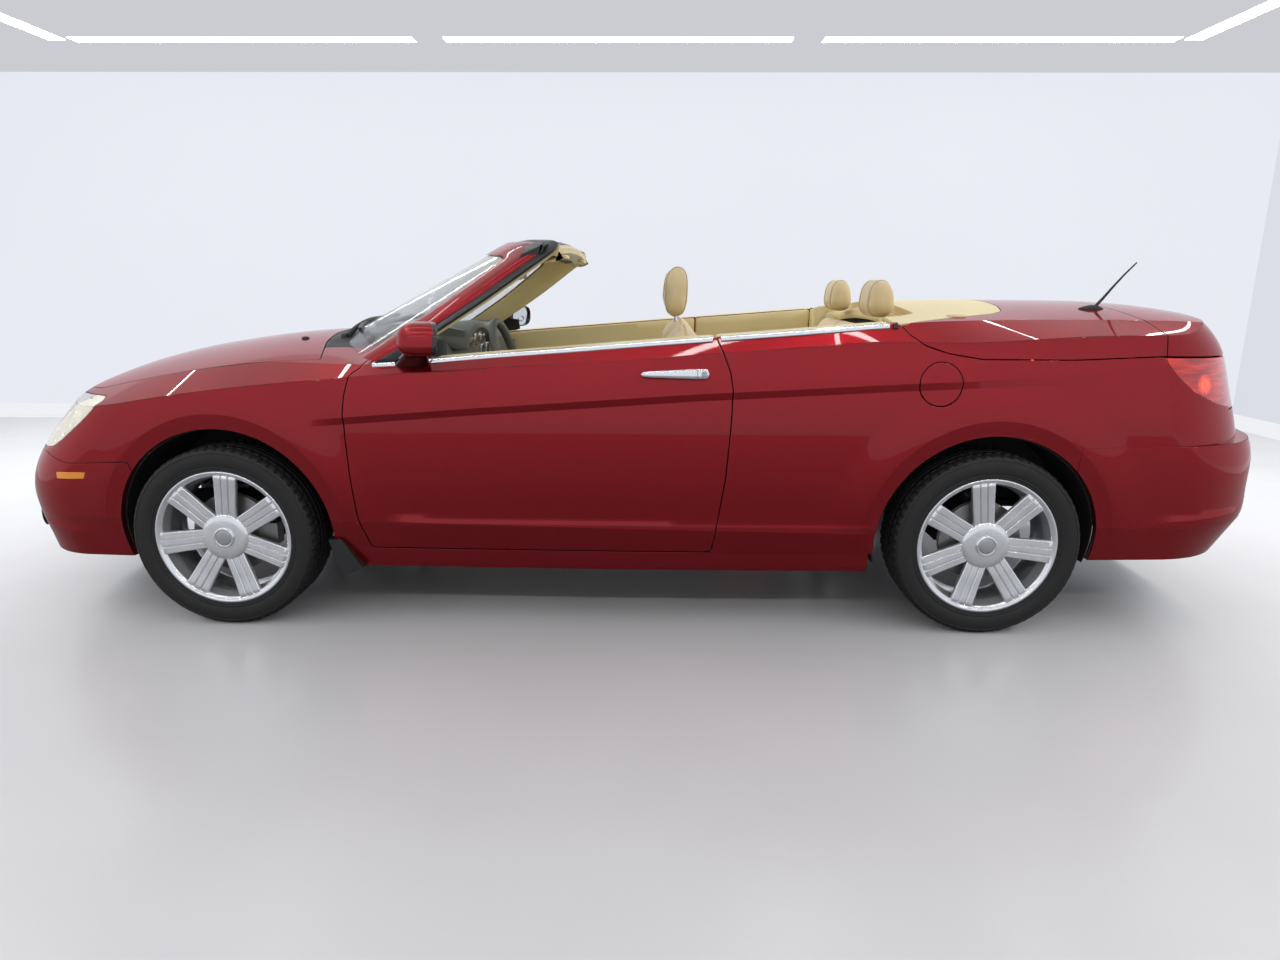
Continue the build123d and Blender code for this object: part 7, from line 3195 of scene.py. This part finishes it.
    def _console(self) -> None:
        """Gear lever and brake lever."""
        boot = [[(-0.430 + 0.050 * s * u, 0.048 * s * v, z) for u, v in superellipse(28, 2.6)]
                for z, s in ((0.474, 1.0), (0.488, 0.98), (0.502, 0.70), (0.530, 0.42), (0.556, 0.30))]
        parts = [loft("lever_boot", np.array(boot), self.palette.get("dash"), angle=0.9)]
        parts.append(tube("lever", [(-0.430, 0, 0.545), (-0.433, 0, 0.580), (-0.436, 0, 0.615)], 0.006,
                self.palette.get("chrome")))
        knob = [[(-0.437 + r * math.cos(a), r * math.sin(a), z) for a in np.arange(24) * math.pi / 12] for z,
            r in ((0.606, 0.010), (0.616, 0.020), (0.634, 0.024), (0.652, 0.020), (0.660, 0.006))]
        parts.append(loft("lever_knob", np.array(knob), self.palette.get("dash"), angle=1.2))
        handle = tube("brake_lever",
            [(-0.06, 0.055, 0.500), (-0.13, 0.055, 0.530), (-0.21, 0.055, 0.552), (-0.25, 0.055, 0.557)],
            0.012, self.palette.get("dash"), radii=[0.009, 0.010, 0.013, 0.012])
        parts.append(handle)
        ride(merge("console_fittings", parts), "body", "dash")

    def _deck(self) -> None:
        """Pads, shelf and corner trims round the rear deck."""
        x, y = 1.165, -0.640
        z = float(self.form.roof(np.array([x]), np.array([y]))[0])
        rows = []
        for s, h in ((1.0, 0.0), (1.0, 0.003), (0.9, 0.0055), (0.5, 0.007), (0.05, 0.0075)):
            row = []
            for u, v in superellipse(28, 2.3):
                px, py = x + 0.036 * s * u, y + 0.020 * s * v
                row.append((px, py, float(self.form.roof(np.array([px]), np.array([py]))[0]) + 0.0025 + h))
            rows.append(row)
        pad = loft("cover_pad_left", np.array(rows), self.palette.get("leather"), angle=0.9)
        other = mirrored_copy(pad, "cover_pad_right")
        ride(pad, "body", "cream")
        ride(other, "body", "cream")
        rows = []
        for y in np.linspace(-0.626, 0.626, 41):
            z = float(self.form.roof(np.array([1.03]), np.array([abs(y)]))[0])
            end = float(np.interp(abs(y), (0.0, 0.568, 0.630), (1.050, 1.050, 0.995)))
            rows.append([(end - 0.060, y, z - 0.060), (end - 0.056, y, z - 0.040),
                    (end - 0.040, y, z - 0.028), (end, y, z - 0.016),
                         (end, y, z - 0.030), (end - 0.050, y, z - 0.075)])
        ride(loft("rear_shelf", np.array(rows), self.palette.get("cream"), angle=0.8), "body", "cream")
        rows = []
        for x, y, u, v in ((0.882, 0.745, 1, 0), (0.882, 0.700, 1, 0), (0.882, 0.648, 1, 0),
            (0.886, 0.638, 0.7, 0.7), (0.896, 0.634, 0, 1),
                           (0.940, 0.634, 0, 1), (0.985, 0.634, 0, 1)):
            z = float(self.form.roof(np.array([x]), np.array([y]))[0]) - 0.004
            rows.append([(x, -y, z), (x + 0.006 * u, -y - 0.006 * v, z - 0.002),
                    (x + 0.006 * u, -y - 0.006 * v, 0.520), (x, -y, 0.518)])
        corner = loft("corner_trim_left", np.array(rows), self.palette.get("cream"), angle=0.8)
        ride(mirrored_copy(corner, "corner_trim_right"), "body", "cream")
        ride(corner, "body", "cream")


# ---------------------------------------------------------------- studio and camera
@dataclass(frozen=True)
class Studio:
    """A pale room with strips of light under its ceiling.

    Attributes:
        ceiling: height of the ceiling.
        back: Y of the far wall.
        front: Y of the near wall.
        left: X of the wall before the car.
        right: X of the wall behind the car.
        camera_place: place of the camera.
        camera_turn: yaw, pitch down and roll in degrees.
        focal_pixels: focal length in pixels of the frame.
        frame_pixels: width of the frame.
        sensor: width of the sensor in millimetres.
    """

    ceiling: float = 2.94
    back: float = 3.72
    front: float = -4.5
    left: float = -6.6
    right: float = 5.25
    camera_place: tuple[float, float, float] = (0.0734, -3.7154, 1.2554)
    camera_turn: tuple[float, float, float] = (-1.097, 13.618, 0.310)
    focal_pixels: float = 822.1
    frame_pixels: float = 1280.0
    sensor: float = 36.0

    def build(self) -> None:
        """Makes the room, the lights and the camera."""
        self._floor()
        self._walls()
        self._lights()
        self._camera()

    def _plane(self, name: str, corners: Array, material: bpy.types.Material,
        cuts: int = 1) -> bpy.types.Object:
        """Flat part of the room.

        Args:
            name: object name.
            corners: its four corners.
            material: finish.
            cuts: number of steps along each side.

        Returns:
            The plane.
        """
        a, b, c, d = (np.array(p, float) for p in corners)
        t = np.linspace(0, 1, cuts + 1)
        grid = np.array([[a * (1 - u) * (1 - v) + b * u * (1 - v) + c * u * v + d * (1 - u) * v for v in t]
                for u in t])
        mesh = bpy.data.meshes.new(name)
        mesh.from_pydata([tuple(p) for p in grid.reshape(-1, 3).tolist()], [], grid_faces(cuts + 1, cuts + 1))
        mesh.flip_normals()
        mesh.materials.append(material)
        obj = bpy.data.objects.new(name, mesh)
        bpy.context.scene.collection.objects.link(obj)
        return obj

    def _floor(self) -> None:
        """Pale floor, with painted shade: dark grey to reflections and bounce light, pale only to the camera.
        """
        material = bpy.data.materials.new("studio_floor")
        material.use_nodes = True
        nodes, links = material.node_tree.nodes, material.node_tree.links
        shader = nodes["Principled BSDF"]
        place = nodes.new("ShaderNodeTexCoord")
        cloud = nodes.new("ShaderNodeTexNoise")
        cloud.inputs["Scale"].default_value = 1.6
        cloud.inputs["Detail"].default_value = 6.0
        mix = nodes.new("ShaderNodeMix")
        mix.data_type = "RGBA"
        mix.inputs[6].default_value = (0.575, 0.578, 0.592, 1)
        mix.inputs[7].default_value = (0.635, 0.638, 0.652, 1)
        span = nodes.new("ShaderNodeMapRange")
        span.inputs["To Min"].default_value = 0.20
        span.inputs["To Max"].default_value = 0.30
        fine = nodes.new("ShaderNodeTexNoise")
        fine.inputs["Scale"].default_value = 90.0
        bump = nodes.new("ShaderNodeBump")
        bump.inputs["Strength"].default_value = 0.12
        bump.inputs["Distance"].default_value = 0.002
        for node in (cloud, fine):
            links.new(place.outputs["Object"], node.inputs["Vector"])
        links.new(cloud.outputs["Fac"], mix.inputs["Factor"])
        links.new(cloud.outputs["Fac"], span.inputs["Value"])
        # Painted shade: every ray but the camera's sees a dark grey floor, so the body's reflections of the
        # floor and the light bounced from it are darker.
        path = nodes.new("ShaderNodeLightPath")
        seen = nodes.new("ShaderNodeMix")
        seen.data_type = "RGBA"
        seen.inputs[6].default_value = (0.21, 0.212, 0.22, 1)
        links.new(path.outputs["Is Camera Ray"], seen.inputs["Factor"])
        links.new(mix.outputs[2], seen.inputs[7])
        links.new(seen.outputs[2], shader.inputs["Base Color"])
        links.new(span.outputs["Result"], shader.inputs["Roughness"])
        links.new(fine.outputs["Fac"], bump.inputs["Height"])
        links.new(bump.outputs["Normal"], shader.inputs["Normal"])
        wide = 14.0
        self._plane("floor", ((-wide, -wide, 0), (wide, -wide, 0), (wide, wide, 0), (-wide, wide, 0)),
            material)

    def _wall_material(self, name: str, color: tuple[float, float, float]) -> bpy.types.Material:
        """Pale finish that is seen from inside the room only.

        Args:
            name: its name.
            color: its colour.

        Returns:
            The material.
        """
        material = bpy.data.materials.new(name)
        material.use_nodes = True
        nodes, links = material.node_tree.nodes, material.node_tree.links
        shader = nodes["Principled BSDF"]
        shader.inputs["Roughness"].default_value = 0.9
        place = nodes.new("ShaderNodeTexCoord")
        cloud = nodes.new("ShaderNodeTexNoise")
        cloud.inputs["Scale"].default_value = 0.7
        mix = nodes.new("ShaderNodeMix")
        mix.data_type = "RGBA"
        mix.inputs[6].default_value = (*[c * 0.97 for c in color], 1)
        mix.inputs[7].default_value = (*color, 1)
        links.new(place.outputs["Object"], cloud.inputs["Vector"])
        links.new(cloud.outputs["Fac"], mix.inputs["Factor"])
        links.new(mix.outputs[2], shader.inputs["Emission Color"])
        shader.inputs["Emission Strength"].default_value = 1.0
        shader.inputs["Base Color"].default_value = (0.02, 0.02, 0.02, 1)
        shader.inputs["Specular IOR Level"].default_value = 0.0
        self._one_sided(material, shader)
        return material

    def _walls(self) -> None:
        """Walls, ceiling and skirting."""
        wall = self._wall_material("studio_wall", (0.80, 0.825, 0.89))
        side = self._wall_material("studio_side_wall", (0.70, 0.725, 0.795))
        roof = self._wall_material("studio_ceiling", (0.60, 0.61, 0.645))
        x0, x1, y0, y1, z1 = self.left, self.right, self.front, self.back, self.ceiling
        planes = (
            ("wall_back", ((x0, y1, 0), (x1, y1, 0), (x1, y1, z1), (x0, y1, z1)), wall),
            ("wall_right", ((x1, y1, 0), (x1, y0, 0), (x1, y0, z1), (x1, y1, z1)), side),
            ("wall_left", ((x0, y0, 0), (x0, y1, 0), (x0, y1, z1), (x0, y0, z1)), wall),
            ("wall_front", ((x1, y0, 0), (x0, y0, 0), (x0, y0, z1), (x1, y0, z1)), wall),
            ("ceiling", ((x0, y1, z1), (x1, y1, z1), (x1, y0, z1), (x0, y0, z1)), roof),
        )
        for name, corners, material in planes:
            obj = self._plane(name, corners, material)
            obj.visible_shadow = False
            obj.visible_diffuse = False
        board = self._wall_material("studio_skirting", (0.86, 0.875, 0.91))
        for name, corners in (
            ("skirting_back", ((x0, y1 - 0.02, 0), (x1, y1 - 0.02, 0), (x1, y1 - 0.02, 0.13),
            (x0, y1 - 0.02, 0.13))),
            ("skirting_right", ((x1 - 0.02, y1, 0), (x1 - 0.02, y0, 0), (x1 - 0.02, y0, 0.13),
            (x1 - 0.02, y1, 0.13))),
        ):
            obj = self._plane(name, corners, board)
            obj.visible_shadow = False
            obj.visible_diffuse = False

    def _strip(self, name: str, start: tuple[float, float], end: tuple[float, float], power: float,
        wide: float = 0.13) -> None:
        """Strip light under the ceiling.

        Args:
            name: object name.
            start: X and Y of one end.
            end: X and Y of the other end.
            power: watts per metre.
            wide: its width.
        """
        length = math.dist(start, end)
        light = bpy.data.lights.new(name, "AREA")
        light.shape = "RECTANGLE"
        light.size = length
        light.size_y = wide
        light.energy = power * length
        light.color = (1.0, 0.985, 0.96)
        obj = bpy.data.objects.new(name, light)
        bpy.context.scene.collection.objects.link(obj)
        middle = ((start[0] + end[0]) / 2, (start[1] + end[1]) / 2, self.ceiling - 0.015)
        obj.location = middle
        obj.rotation_euler = (0, 0, math.atan2(end[1] - start[1], end[0] - start[0]))
        obj.visible_glossy = False
        seen = self._tube(f"{name}_seen", start, end, 0.13)
        seen.visible_glossy = False
        seen.visible_transmission = False
        self._tube(name, start, end, 0.035).visible_camera = False

    def _tube(self, name: str, start: tuple[float, float], end: tuple[float, float],
        wide: float) -> bpy.types.Object:
        """Glowing strip in the ceiling.

        Args:
            name: object name.
            start: X and Y of one end.
            end: X and Y of the other end.
            wide: its width.

        Returns:
            The strip.
        """
        along = (Vector(end) - Vector(start)).normalized()
        out = Vector((-along.y, along.x)) * (wide / 2)
        corners = [(*(Vector(p) + out * s), self.ceiling - 0.006) for p,
            s in ((start, 1), (end, 1), (end, -1), (start, -1))]
        glow = self._plane(f"{name}_glow", corners, self._glow())
        glow.visible_shadow = False
        glow.visible_diffuse = False
        return glow

    def _glow(self) -> bpy.types.Material:
        """Finish of the glowing strips.

        Returns:
            The material.
        """
        name = "studio_strip"
        if name in bpy.data.materials:
            return bpy.data.materials[name]
        material = bpy.data.materials.new(name)
        material.use_nodes = True
        nodes, links = material.node_tree.nodes, material.node_tree.links
        shader = nodes["Principled BSDF"]
        place = nodes.new("ShaderNodeTexCoord")
        cloud = nodes.new("ShaderNodeTexNoise")
        cloud.inputs["Scale"].default_value = 3.0
        span = nodes.new("ShaderNodeMapRange")
        span.inputs["To Min"].default_value = 16.0
        span.inputs["To Max"].default_value = 21.0
        shader.inputs["Emission Color"].default_value = (1.0, 0.985, 0.96, 1)
        links.new(place.outputs["Object"], cloud.inputs["Vector"])
        links.new(cloud.outputs["Fac"], span.inputs["Value"])
        links.new(span.outputs["Result"], shader.inputs["Emission Strength"])
        self._one_sided(material, shader)
        return material

    @staticmethod
    def _one_sided(material: bpy.types.Material, shader: bpy.types.Node) -> None:
        """Lets sight through a plane from behind.

        Args:
            material: finish of the plane.
            shader: what is seen from the front.
        """
        nodes, links = material.node_tree.nodes, material.node_tree.links
        geometry = nodes.new("ShaderNodeNewGeometry")
        clear = nodes.new("ShaderNodeBsdfTransparent")
        choose = nodes.new("ShaderNodeMixShader")
        links.new(geometry.outputs["Backfacing"], choose.inputs["Fac"])
        links.new(shader.outputs["BSDF"], choose.inputs[1])
        links.new(clear.outputs["BSDF"], choose.inputs[2])
        links.new(choose.outputs["Shader"], nodes["Material Output"].inputs["Surface"])

    def _lights(self) -> None:
        """Strip lights and the soft light of the world."""
        x0, x1, y0, y1 = -4.30, 3.85, -4.25, 2.75
        cuts = np.linspace(x0, x1, 4)
        for i, (a, b) in enumerate(zip(cuts[:-1], cuts[1:])):
            self._strip(f"strip_back_{i}", (a + 0.11, y1), (b - 0.11, y1), 20)
            self._strip(f"strip_front_{i}", (a + 0.1, y0), (b - 0.1, y0), 11)
        for i, (a, b) in enumerate(zip((y0, -1.4), (-1.5, y1))):
            self._strip(f"strip_left_{i}", (x0, a), (x0, b), 20)
            self._strip(f"strip_right_{i}", (x1, a), (x1, b), 20)
        for name, start, end in (("near", (-3.2, -2.3), (2.9, -2.3)), ("over", (-3.2, -0.75), (2.9, -0.75)),
            ("cross_a", (-2.3, -2.3), (-2.3, 1.2)),
                                 ("cross_b", (1.0, -2.3), (1.0, 1.2)), ("cross_c", (2.5, -2.3), (2.5, 1.2))):
            self._tube(f"strip_{name}", start, end, 0.035)
        world = bpy.data.worlds.new("studio")
        bpy.context.scene.world = world
        world.use_nodes = True
        shade = world.node_tree.nodes["Background"]
        shade.inputs["Color"].default_value = (0.93, 0.95, 1.0, 1)
        shade.inputs["Strength"].default_value = 0.58
        bpy.context.scene.view_settings.view_transform = "Standard"

    def _camera(self) -> None:
        """Camera low on the left of the car."""
        yaw, pitch, roll = (math.radians(a) for a in self.camera_turn)
        forward = Vector((math.sin(yaw) * math.cos(pitch), math.cos(yaw) * math.cos(pitch), -math.sin(pitch)))
        right = Vector((math.cos(yaw), -math.sin(yaw), 0))
        up = right.cross(forward)
        across = right * math.cos(roll) + up * math.sin(roll)
        above = up * math.cos(roll) - right * math.sin(roll)
        data = bpy.data.cameras.new("camera")
        data.sensor_width = self.sensor
        data.lens = self.sensor * self.focal_pixels / self.frame_pixels
        camera = bpy.data.objects.new("camera", data)
        bpy.context.scene.collection.objects.link(camera)
        turn = Matrix((across, above, -forward)).transposed().to_4x4()
        camera.matrix_world = Matrix.Translation(self.camera_place) @ turn
        bpy.context.scene.camera = camera


CARRIED = {
    "paint": ("sills", "front_bumper", "hood", "fenders", "door_left", "door_right", "quarters", "tonneau",
    "trunk_lid",
              "rear_bumper", "mirror_left", "mirror_right", "fuel_flap"),
    "underbody": ("front_frame", "rear_frame", "front_suspension", "rear_suspension", "wheel_houses",
    "fuel_tank"),
    "carpet": ("floor_pan",),
    "black_trim": ("cowl", "seat_bases", "windscreen_frame", "antenna"),
    "cream": ("deck_cover",),
    "leather": ("front_seats", "front_headrests", "rear_seat", "rear_headrests"),
    "chrome": ("headrest_posts", "handle_left", "handle_right", "grille"),
    "dash": ("dashboard", "steering_wheel"),
    "screen": ("windscreen",),
    "bowl": ("headlamps",),
    "red_core": ("tail_lamps",),
    "alloy": ("engine",),
    "steel": ("exhaust",),
    "iron": ("hub_fl", "hub_fr", "hub_rl", "hub_rr", "knuckle_fl", "knuckle_fr"),
    "rim": ("rim_fl", "rim_fr", "rim_rl", "rim_rr"),
    "tyre": ("tyre_fl", "tyre_fr", "tyre_rl", "tyre_rr"),
}


def dress_nodes(frame: dict, palette: Palette) -> None:
    """Gives every carried-over node its finish.

    Args:
        palette: finishes.
    """
    for finish, names in CARRIED.items():
        for name in names:
            mesh = frame["nodes"][name].data
            mesh.materials.clear()
            mesh.materials.append(palette.get(finish))


def main() -> None:
    """Builds the whole scene."""
    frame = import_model()
    palette = Palette()
    dress_nodes(frame, palette)
    painted = PaintedBody(palette)
    painted.build()
    Wheels(palette).build()
    Windscreen(palette, painted.upper.form).build()
    Fittings(palette, painted.upper.form).build()
    EngineBay(palette).build()
    Cabin(palette, painted.upper.form).build()
    Studio().build()
    bpy.context.view_layer.update()


if __name__ == "__main__":
    main()
